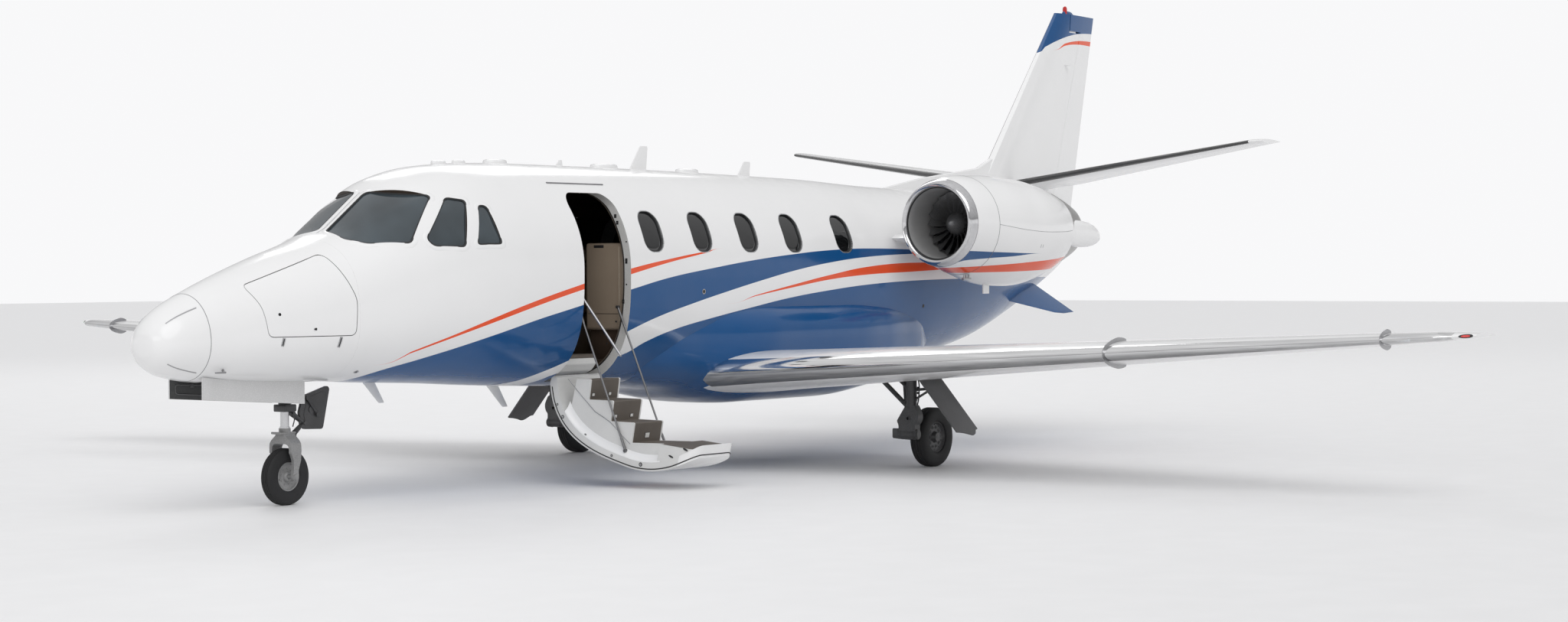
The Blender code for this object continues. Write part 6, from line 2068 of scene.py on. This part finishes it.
class JET_OT_landing_gear(bpy.types.Operator):
    """Make the tyres, wheels, legs and gear doors"""
    bl_idname = "jet.landing_gear"
    bl_label = "Landing gear"

    def execute(self, context):
        light, dark, metal, rubber = gear_light(), gear_dark(), satin_metal(), seal_rubber()
        bright = finish("oleo_chrome", (0.62, 0.62, 0.63), 0.20, 0.9, grain=80.0, bump=0.03, vary=0.08)
        plate_grey = finish("gear_door_grey", (0.105, 0.105, 0.108), 0.45, 0.0, grain=90.0, bump=0.08,
                            vary=0.15, coat=0.15)

        x, z = NOSE_GEAR
        centre = Vector((x, 0, z))
        tyre("nose_tyre_tread", centre, z, 0.125, 0.115, (0.52, 0.18, -0.18, -0.52), "nose_wheel",
             "nose_tyre")
        bm = bmesh.new()
        wheel(bm, centre, 0.125, 0.115, 0.0186, (0.34, 0.34))
        for side in (1, -1):
            for k in range(9):
                t = 2 * math.pi * (k + 0.3) / 9
                spot = centre + Vector((0.070 * math.cos(t), side * 0.0195, 0.070 * math.sin(t)))
                bmesh.ops.create_cone(bm, cap_ends=True, segments=6, radius1=0.0065, radius2=0.0058,
                                      depth=0.012,
                                      matrix=Matrix.Translation(spot) @ Matrix.Rotation(math.pi / 2, 4,
                                              "X"))
            bolt(bm, centre + Vector((0.088, side * 0.021, -0.02)), (0, side, 0), 0.005, 0.012, 10)
        put("nose_wheel_rim", bm, light, "light_grey_paint", "nose_wheel", body="nose_wheel", angle=35)

        fork = []
        arch = [(-0.052, 0.612), (0.052, 0.612), (0.060, 0.592), (0.100, 0.560), (0.126, 0.528),
                (0.130, 0.495), (0.130, 0.44),
                (0.100, 0.44), (0.099, 0.49), (0.088, 0.512), (0.060, 0.524), (-0.060, 0.524),
                (-0.088, 0.512), (-0.099, 0.49),
                (-0.100, 0.44), (-0.130, 0.44), (-0.130, 0.495), (-0.126, 0.528), (-0.100, 0.560),
                (-0.060, 0.592)]
        fork.append(prism("fork", soft_outline(arch, 0.012, 4), x - 0.066, x + 0.052, "x", light))
        arm = [(x - 0.066, 0.50), (x + 0.050, 0.50), (x + 0.046, 0.44), (x + 0.024, 0.385),
               (x + 0.022, 0.30), (x + 0.036, z)]
        arm += [(x + 0.036 * math.cos(t),
                 z - 0.036 * math.sin(t)) for t in [math.pi * k / 10 for k in range(1, 10)]]
        arm += [(x - 0.036, z), (x - 0.034, 0.30), (x - 0.062, 0.385), (x - 0.066, 0.44)]
        for side in (1, -1):
            ends = sorted((side * 0.100, side * 0.128))
            fork.append(prism("arm", soft_outline(arm, 0.010, 4), *ends, "y", light))
        bm = bmesh.new()
        add_bar(bm, (x, 0, 0.600), (x, 0, 0.655), 0.050, 40)
        add_block(bm, (x - 0.085, -0.050, 0.607), (x + 0.110, 0.050, 0.624), 0.006)
        add_bar(bm, (x + 0.105, -0.045, 0.618), (x + 0.105, 0.045, 0.618), 0.010, 14)
        add_bar(bm, (x, -0.139, z), (x, 0.139, z), 0.0175, 24)
        for side in (1, -1):
            add_bar(bm, (x, side * 0.128, z), (x, side * 0.136, z), 0.028, 6)
        fork.append(mesh_object("parts", bm, light))
        bm = bmesh.new()
        for side in (1, -1):
            add_bar(bm, (x - 0.085, side * 0.024, 0.590), (x - 0.215, side * 0.012, 0.690), 0.013, 10,
                    0.010)
            add_bar(bm, (x - 0.080, side * 0.026, 0.778), (x - 0.215, side * 0.014, 0.690), 0.015, 10,
                    0.011)
        add_bar(bm, (x - 0.215, -0.034, 0.690), (x - 0.215, 0.034, 0.690), 0.018, 16)
        add_bar(bm, (x - 0.082, -0.040, 0.588), (x - 0.082, 0.040, 0.588), 0.016, 16)
        add_bar(bm, (x - 0.076, -0.040, 0.780), (x - 0.076, 0.040, 0.780), 0.016, 16)
        add_block(bm, (x - 0.075, -0.030, 0.766), (x - 0.020, 0.030, 0.792), 0.004)
        fork.append(mesh_object("links", bm, dark))
        ride_on(smooth(joined("nose_fork_body", *fork), 30), "nose_steering", "light_grey_paint",
                "nose_fork")

        bm = bmesh.new()
        add_bar(bm, (x, 0, 0.6553), (x, 0, 0.80), 0.0365, 40)
        add_bar(bm, (x, 0, 0.6553), (x, 0, 0.668), 0.043, 40)
        put("nose_oleo", bm, bright, "light_grey_paint")
        legs = []
        bm = bmesh.new()
        add_bar(bm, (x, 0, 0.80), (x, 0, BAY_ROOF_Z - HAIR), 0.052, 40)
        add_block(bm, (x - 0.078, -0.066, 0.796), (x + 0.066, 0.066, 0.858), 0.008)
        add_bar(bm, (x, 0, 0.93), (x + 0.44, 0, BAY_ROOF_Z - 0.02), 0.024, 20)
        add_block(bm, (x - 0.040, -0.10, 1.16), (x + 0.040, 0.10, 1.24), 0.006)
        add_pipe(bm, curve_points([(x + 0.045, 0.045, 0.84), (x + 0.065, 0.050, 0.95),
                                   (x + 0.050, 0.060, 1.10), (x + 0.05, 0.06, 1.3)]),
                 0.007, 8)
        add_pipe(bm, curve_points([(x - 0.050, 0.030, 0.83), (x - 0.075, 0.040, 0.74),
                                   (x - 0.060, 0.035, 0.665)]), 0.005, 8)
        legs.append(mesh_object("leg", bm, dark))
        plate = soft_outline([(5.735, 0.975), (5.760, 0.999), (6.02, 0.930), (6.06, 0.900), (6.10, 0.780),
                              (6.075, 0.690),
                              (6.045, 0.636), (5.835, 0.628), (5.815, 0.640)], 0.018, 5)
        legs.append(prism("plate", plate, -0.012, 0.012, "y", dark))
        inner = soft_outline([(5.79, 0.962), (6.00, 0.905), (6.05, 0.76), (6.02, 0.672), (5.86, 0.664)],
                             0.03, 6)
        legs.append(prism("plate", inner, -0.0145, 0.0145, "y", dark))
        bm = bmesh.new()
        add_bar(bm, (6.02, 0.024, 0.905), (5.895, 0.024, 0.760), 0.011, 16)
        add_bar(bm, (5.895, 0.010, 0.760), (5.895, 0.038, 0.760), 0.022, 20)
        add_bar(bm, (6.02, 0.010, 0.905), (6.02, 0.038, 0.905), 0.020, 20)
        add_bar(bm, (6.02, 0.0, 0.905), (6.215, 0.0, 0.87), 0.016, 16)
        add_bar(bm, (5.96, 0.012, 0.80), (5.96, 0.020, 0.80), 0.030, 24)
        legs.append(mesh_object("link", bm, dark))
        ride_on(smooth(joined("nose_gear_leg", *legs), 32), "airframe", "light_grey_paint", "nose_leg")

        well = finish("door_inside_grey", (0.075, 0.077, 0.077), 0.5, 0.0, grain=110.0, bump=0.1, vary=0.15)
        pale = finish("gear_door_white", (0.60, 0.60, 0.60), 0.24, 0.0, grain=120.0, bump=0.03, vary=0.03,
                      coat=0.5)
        for side, word in SIDES:
            door = merged_copy("nose_gear_door_" + word, "nose_door_panel_" + word, pale, well)
            for vert in door.data.vertices:
                if vert.co.x > 7.0:
                    vert.co.x += NOSE_DOOR_REACH
            for face in door.data.polygons:
                face.material_index = 1 if face.normal.y * side < -0.5 else 0
            ride_on(door, "airframe", "white_paint", "nose_gear_door_" + word)
            frame_line = soft_outline([(6.30, 0.915), (7.31, 0.985), (7.31, 1.06), (6.30, 1.02)], 0.03, 6)
            bm = bmesh.new()
            y = side * 0.1845
            add_pipe(bm, [(a, y, b) for a, b in [*frame_line, frame_line[0]]], 0.006, 8)
            for k in range(4):
                add_block(bm, (6.33 + 0.26 * k, side * 0.171 - 0.008, 1.030),
                          (6.37 + 0.26 * k, side * 0.186 + 0.003, 1.065), 0.003)
            put("nose_door_frame_" + word, bm, plate_grey, "light_grey_paint")

        x, y, z = MAIN_GEAR
        for side, word in SIDES:
            centre = Vector((x, side * y, z))
            body = "main_wheel_" + word
            tyre("main_tyre_tread_" + word, centre, z, 0.155, 0.170, (0.50, 0.17, -0.17, -0.50), body,
                 "main_tyre_" + word)
            bm, holes = bmesh.new(), bmesh.new()
            dish = (0.42, 0.10) if side > 0 else (0.10, 0.42)
            wheel(bm, centre, 0.155, 0.170, 0.0246, dish)
            face = side * 0.42 * 0.085
            add_bar(bm, centre + Vector((0, face * 0.8, 0)), centre + Vector((0, side * 0.074, 0)), 0.047,
                    40, 0.043)
            for k in range(10):
                t = 2 * math.pi * k / 10
                out = Vector((math.cos(t), 0, math.sin(t)))
                spot = centre + out * 0.098 + Vector((0, face, 0))
                round_ = Vector((-math.sin(t), 0, math.cos(t)))
                # Each hole through the web is a dark disc a little proud of its boss: painted shade where the
                # hole lies.
                for target, wide, tall, low, high in ((bm, 0.0215, 0.0165, -0.004, 0.0045),
                        (holes, 0.0160, 0.0115, -0.004, 0.0052)):
                    roll_up(target, [[spot + out * (tall * math.cos(a)) + round_ * (wide * math.sin(a))
                                      + Vector((0, side * lift, 0)) for a in turns(20)] for lift in (low,
                                              high)])
                spot = centre + Vector((math.cos(t + 0.31) * 0.124, face + side * 0.002,
                                        math.sin(t + 0.31) * 0.124))
                bolt(bm, spot, (0, side, 0), 0.006, 0.006, 6)
            put("main_wheel_rim_" + word, bm, dark, "light_grey_paint", "main_wheel_" + word, body=body,
                angle=35)
            put("main_wheel_hole_shade_" + word, holes, rubber, "rubber", body=body, angle=35)

            parts = []
            lx = -0.02
            bm = bmesh.new()

            def at(px, py, pz):
                return (px, side * py, pz)

            add_bar(bm, at(lx, 2.290, 0.62), at(lx, 2.290, 0.985), 0.054, 36)
            add_bar(bm, at(lx, 2.290, 0.672), at(lx, 2.290, 0.694), 0.059, 36)
            add_bar(bm, at(lx, 2.290, 0.60), at(lx, 2.290, 0.64), 0.050, 36)
            add_bar(bm, at(lx, 2.140, 0.342), at(lx, 2.368, 0.342), 0.050, 40)
            add_bar(bm, at(lx, 2.134, 0.342), at(lx, 2.374, 0.342), 0.038, 30)
            for py in (2.185, 2.325):
                add_bar(bm, at(lx, py - 0.006, 0.342), at(lx, py + 0.006, 0.342), 0.053, 40)
            add_bar(bm, at(x, 2.10, z), at(x, 2.340, z), 0.0235, 24)
            add_bar(bm, at(x, 2.335, z), at(x, 2.352, z), 0.020, 6)
            add_bar(bm, at(-0.25, 2.115, 0.33), at(-0.150, 2.156, 0.67), 0.026, 24)
            add_bar(bm, at(-0.180, 2.144, 0.57), at(-0.052, 2.197, 0.985), 0.034, 28)
            add_bar(bm, at(lx, 2.24, 0.62), at(lx - 0.017, 1.83, 0.962), 0.024, 20)
            add_bar(bm, at(lx, 2.24, 0.80), at(lx - 0.03, 2.06, 0.93), 0.014, 14)
            add_bar(bm, at(lx, 2.28, 0.66), at(-0.08, 2.50, 0.80), 0.012, 14)
            add_bar(bm, at(lx - 0.03, 2.30, 0.78), at(-0.13, 2.49, 0.80), 0.014, 14)
            for pz in (0.75, 0.80):
                add_block(bm, (lx - 0.10, side * 2.29 - 0.035, pz - 0.012),
                          (lx, side * 2.29 + 0.035, pz + 0.012), 0.004)
            add_pipe(bm, curve_points([at(lx - 0.05, 2.32, 0.95), at(-0.10, 2.33, 0.80),
                                       at(-0.09, 2.30, 0.60), at(-0.10, 2.14, 0.45),
                                       at(-0.28, 2.09, 0.36)]), 0.007, 8)
            add_turned(bm, [(side * -0.078, 0.062), (side * -0.078, 0.108), (side * -0.048, 0.108),
                            (side * -0.048, 0.062)],
                       centre, "y", 48)
            parts.append(mesh_object("leg", bm, dark))
            knuckle = prism("knuckle", [(side * a, b) for a, b in soft_outline(KNUCKLE, 0.014, 4)],
                            lx - 0.050, lx + 0.040, "x", dark)
            cutter = bmesh.new()
            add_bar(cutter, at(-0.2, 2.272, 0.500), at(0.2, 2.272, 0.500), 0.016, 24)
            cut(knuckle, mesh_object("hole", cutter))
            parts.append(knuckle)
            ring = bmesh.new()
            add_turned(ring, [(0.036, 0.016), (0.036, 0.030), (0.047, 0.027), (0.047, 0.016)],
                       at(lx, 2.272, 0.500), "x", 32)
            parts.append(mesh_object("eye", ring, dark))
            arm = [(lx + 0.035, 0.400), (lx + 0.035, 0.300), (x - 0.02, z - 0.046), (x - 0.052, z - 0.02),
                   (x - 0.052, z + 0.03),
                   (x - 0.01, z + 0.06), (x + 0.1, z + 0.080)]
            parts.append(prism("arm", soft_outline(arm, 0.02, 4), *sorted((side * 2.085, side * 2.145)),
                               "y", dark))
            top, low = Vector((0, 2.43, 0.897)), Vector((0, 2.87, 0.384))
            slope = (low - top).normalized()
            out = slope.cross(Vector((1, 0, 0))).normalized() * 0.007
            edge = curve_points([(px, extra, 0) for px, extra in DOOR_EDGE], 6)
            corners = [top + Vector((0.07, 0, 0)), top + Vector((-0.33, 0, 0))]
            corners += [low + slope * p.y + Vector((p.x, 0, 0)) for p in edge]
            parts.append(loft("door", [[(p.x, side * p.y, p.z) for p in [c - out for c in corners]],
                                       [(p.x, side * p.y, p.z) for p in [c + out for c in corners]]],
                              plate_grey))
            leg = joined("main_gear_leg_" + word, *parts)
            ride_on(smooth(leg, 32), "airframe", "dark_grey_paint", "main_leg_" + word)
        return {"FINISHED"}


# Cabin

def cushion(name, low, high, material, crown=5.0, channels=0, across="y", body="airframe"):
    """A crowned cushion that fills a space, flat only below, with sewn channels across it."""
    bm = bmesh.new()
    bmesh.ops.create_cube(bm, size=2.0)
    bmesh.ops.subdivide_edges(bm, edges=bm.edges[:], cuts=15, use_grid_fill=True)
    low, high = Vector(low), Vector(high)
    half, middle = (high - low) / 2, (high + low) / 2
    thin = min(range(3), key=lambda i: half[i])
    run = "xyz".index(across)
    for vert in bm.verts:
        p = vert.co.copy()
        p /= sum(abs(v) ** crown for v in p) ** (1 / crown)
        pull = 1 - 0.035 * (1 - p[(thin + 1) % 3] ** 2) * (1 - p[(thin + 2) % 3] ** 2)
        for axis in range(3):
            if axis != thin and abs(vert.co[axis]) > 0.99:
                p[axis] *= pull
        if channels:
            share = (p[run] + 1) / 2 * channels
            groove = math.exp(-((share - round(share)) / 0.07) ** 2) if 0.3 < share < channels - 0.3 else 0.0
            p[thin] *= 1 - 0.10 * groove
        vert.co = middle + Vector([p[i] * half[i] for i in range(3)])
    obj = smooth(mesh_object(name, bm, material), 60)
    modifier = obj.modifiers.new("soft", "SUBSURF")
    modifier.levels = modifier.render_levels = 1
    ride_on(obj, body, "brown_leather")
    return obj


class JET_OT_cabin(bpy.types.Operator):
    """Furnish the cabin: floor, entrance cabinet, instrument panel and seats"""
    bl_idname = "jet.cabin"
    bl_label = "Cabin"

    def execute(self, context):
        colours = context.scene.jet_colours
        leather = finish("seat_leather", tuple(colours.leather), 0.45, 0.0, grain=420.0, bump=0.35,
                         vary=0.12, coat=0.1)
        carpet = finish("brown_carpet", (0.060, 0.036, 0.022), 0.95, 0.0, grain=900.0, bump=0.8, vary=0.3,
                        rough_vary=0.03)
        beige = finish("cabinet_panel", (0.36, 0.285, 0.215), 0.42, 0.0, grain=260.0, bump=0.12, vary=0.05,
                       coat=0.15)
        edging = finish("cabinet_edging", (0.48, 0.40, 0.31), 0.32, 0.0, grain=160.0, bump=0.05, coat=0.3)
        black = finish("panel_black", (0.018, 0.018, 0.019), 0.5, 0.0, grain=300.0, bump=0.2, vary=0.3)
        dark, metal = seal_rubber(), satin_metal()
        floor = merged_copy("cabin_floor", "cabin_carpet", carpet, angle=30)
        ride_on(floor, "airframe", "beige_trim", "cabin_floor")

        top = FLOOR_TOP
        pieces = [block("front", (2.24, 0.34, 1.42), (2.66, 0.80, 2.24), beige, bevel=0.028, segments=4),
                  block("back", (2.22, 0.36, 1.42), (2.30, 0.84, 2.24), beige, bevel=0.02, segments=3)]
        pieces.append(block("base", (2.25, 0.37, top), (2.62, 0.74, 1.425), carpet, bevel=0.004))
        cabinet = smooth(joined("entrance_cabinet", *pieces), 40)
        ride_on(cabinet, "airframe", "beige_trim", "galley_cabinet")
        # Painted shade: a dark block where the handle's recess lies, and a dark line along the drawer's gap.
        bm = bmesh.new()
        add_block(bm, (2.655, 0.447, 2.195), (2.6625, 0.565, 2.222), 0.003)
        add_block(bm, (2.655, 0.372, 1.5705), (2.6612, 0.79, 1.5755), 0.0005)
        put("cabinet_recess_shade", bm, dark, "rubber")
        bm = bmesh.new()
        add_block(bm, (2.645, 0.742, 1.44), (2.668, 0.760, 2.21), 0.004)
        put("cabinet_edge", bm, edging, "beige_trim")

        panel = merged_copy("instrument_panel", "instrument_panel_body", black, angle=30)
        ride_on(panel, "airframe", "black_paint", "instrument_panel")
        screen = finish("screen_glass", (0.012, 0.020, 0.030), 0.08, 0.0, grain=40.0, bump=0.01, coat=0.7)
        bm = bmesh.new()
        for y in (-0.46, 0.0, 0.46):
            add_block(bm, (5.270, y - 0.15, 1.84), (5.2795, y + 0.15, 2.07), 0.003)
        put("screens", bm, screen, "glass")
        bm = bmesh.new()
        rings = []
        for x, z, half in ((5.18, 2.140, 0.58), (5.24, 2.172, 0.60), (5.40, 2.186, 0.60),
                           (5.52, 2.172, 0.55)):
            rings.append([(x, half * a, z - b - 0.05 * a * a) for a, b in (
                *[(-1 + 2 * k / 12, 0.0) for k in range(13)],
                *[(1 - 2 * k / 12, 0.012) for k in range(13)])])
        roll_up(bm, rings)
        put("glareshield", bm, black, "black_paint")

        frames = bmesh.new()
        for y in (-0.36, 0.36):
            add_block(frames, (4.40, y - 0.15, top), (4.70, y + 0.15, 1.48), 0.02)
            add_block(frames, (4.265, y - 0.20, 1.45), (4.30, y + 0.20, 2.10), 0.01)
            word = "left" if y > 0 else "right"
            cushion("pilot_seat_cushion_" + word, (4.33, y - 0.235, 1.485), (4.83, y + 0.235, 1.615),
                    leather, channels=4)
            cushion("pilot_seat_back_" + word, (4.27, y - 0.235, 1.60), (4.395, y + 0.235, 2.12), leather,
                    channels=5, across="z")
            cushion("pilot_headrest_" + word, (4.275, y - 0.13, 2.13), (4.375, y + 0.13, 2.275), leather,
                    crown=4.0)
        put("pilot_seat_frames", frames, black, "black_paint", "cockpit_seats")
        for side, word in SIDES:
            bases = bmesh.new()
            add_block(bases, (-1.88, min(side * 0.66, side * 0.79), 1.45),
                      (2.03, max(side * 0.66, side * 0.79), 1.70), 0.015)
            for number, (x, back) in enumerate(((1.55, -1), (0.40, 1), (-0.55, 1), (-1.45, 1))):
                a, b = sorted((side * 0.23, side * 0.63))
                add_block(bases, (x - 0.20, a + 0.05, top), (x + 0.20, b - 0.05, 1.46), 0.02)
                spot = x - back * 0.27
                name = "cabin_seat_%s_%d_" % (word, number + 1)
                cushion(name + "cushion", (x - 0.255, a, 1.455), (x + 0.255, b, 1.58), leather, channels=4)
                cushion(name + "back", (spot - 0.065, a, 1.56), (spot + 0.065, b, 2.06), leather,
                        channels=5, across="z")
                cushion(name + "headrest", (spot - 0.05, a + 0.08, 2.06), (spot + 0.05, b - 0.08, 2.215),
                        leather, crown=4.0)
            put("cabin_seat_bases_" + word, bases, beige, "beige_trim", "cabin_seats_" + word)
        return {"FINISHED"}


# Stage

class JET_OT_stage(bpy.types.Operator):
    """Set the pale floor, the soft studio light and the camera"""
    bl_idname = "jet.stage"
    bl_label = "Stage"

    def execute(self, context):
        scene = context.scene
        bm = bmesh.new()
        bmesh.ops.create_grid(bm, x_segments=8, y_segments=8, size=120.0)
        floor = mesh_object("floor", bm, finish("floor_paint", (0.84, 0.84, 0.845), 0.55, 0.0, grain=2.0,
                bump=0.0,
                                                vary=0.01, rough_vary=0.04))
        world = bpy.data.worlds.new("studio")
        scene.world = world
        world.use_nodes = True
        tree = world.node_tree
        background = tree.nodes["Background"]
        place = tree.nodes.new("ShaderNodeTexCoord")
        split = tree.nodes.new("ShaderNodeSeparateXYZ")
        share = tree.nodes.new("ShaderNodeMapRange")
        share.inputs["From Min"].default_value = -1.0
        ramp = tree.nodes.new("ShaderNodeValToRGB")
        tree.links.new(place.outputs["Generated"], split.inputs[0])
        tree.links.new(split.outputs[2], share.inputs["Value"])
        tree.links.new(share.outputs["Result"], ramp.inputs["Fac"])
        tree.links.new(ramp.outputs["Color"], background.inputs["Color"])
        steps = ramp.color_ramp.elements
        while len(steps) < len(SKY):
            steps.new(0.5)
        for step, (height, level) in zip(steps, SKY):
            step.position = (height + 1) / 2
            step.color = (level, level, level * 1.01, 1.0)
        background.inputs["Strength"].default_value = SKY_STRENGTH
        scene.view_settings.view_transform = "Standard"
        for name, place, aim, size, power in SOFTBOXES:
            lamp = bpy.data.lights.new(name, "AREA")
            lamp.shape = "RECTANGLE"
            lamp.size, lamp.size_y = size
            lamp.energy = power
            lit = bpy.data.objects.new(name, lamp)
            lit.location = place
            lit.rotation_euler = (Vector(aim) - Vector(place)).to_track_quat("-Z", "Y").to_euler()
            scene.collection.objects.link(lit)
        place, strength, spread_angle = SUN
        lamp = bpy.data.lights.new("key", "SUN")
        lamp.energy = strength
        lamp.angle = spread_angle
        lit = bpy.data.objects.new("key", lamp)
        lit.location = place
        lit.rotation_euler = (-Vector(place)).to_track_quat("-Z", "Y").to_euler()
        scene.collection.objects.link(lit)
        camera = bpy.data.cameras.new("camera")
        camera.lens = CAMERA_LENS
        camera.sensor_width = 36.0
        camera.shift_x = CAMERA_SHIFT[0]
        camera.shift_y = CAMERA_SHIFT[1]
        camera.clip_end = 500.0
        seen = bpy.data.objects.new("camera", camera)
        yaw, pitch, roll = CAMERA_TURN
        forward = Vector((math.cos(pitch) * math.cos(yaw), math.cos(pitch) * math.sin(yaw),
                          math.sin(pitch)))
        right = forward.cross(Vector((0, 0, 1))).normalized()
        up = right.cross(forward)
        turned = right * math.cos(roll) + up * math.sin(roll)
        upright = up * math.cos(roll) - right * math.sin(roll)
        matrix = Matrix((turned, upright, -forward)).transposed().to_4x4()
        matrix.translation = Vector(CAMERA_PLACE)
        seen.matrix_world = matrix
        scene.collection.objects.link(seen)
        scene.camera = seen
        return {"FINISHED"}


OPERATORS = (
    JET_OT_fuselage,
    JET_OT_windows,
    JET_OT_skin_details,
    JET_OT_wings,
    JET_OT_tail,
    JET_OT_engines,
    JET_OT_airstair,
    JET_OT_doorway,
    JET_OT_landing_gear,
    JET_OT_cabin,
    JET_OT_stage,
)


class JET_PT_panel(bpy.types.Panel):
    """Buttons for each group of pieces"""
    bl_idname = "JET_PT_panel"
    bl_label = "Business jet"
    bl_space_type = "VIEW_3D"
    bl_region_type = "UI"
    bl_category = "Jet"

    def draw(self, context):
        for group in (context.scene.jet_sizes, context.scene.jet_colours):
            for name in group.bl_rna.properties.keys():
                if name not in ("rna_type", "name"):
                    self.layout.prop(group, name)
        for operator in OPERATORS:
            self.layout.operator(operator.bl_idname)


CLASSES = (JetSizes, JetColours, *OPERATORS, JET_PT_panel)


def register():
    for made in CLASSES:
        bpy.utils.register_class(made)
    bpy.types.Scene.jet_sizes = bpy.props.PointerProperty(type=JetSizes)
    bpy.types.Scene.jet_colours = bpy.props.PointerProperty(type=JetColours)


def unregister():
    del bpy.types.Scene.jet_sizes
    del bpy.types.Scene.jet_colours
    for made in reversed(CLASSES):
        bpy.utils.unregister_class(made)


def main():
    register()
    for operator in OPERATORS:
        group, name = operator.bl_idname.split(".")
        getattr(getattr(bpy.ops, group), name)()


if __name__ == "__main__":
    main()
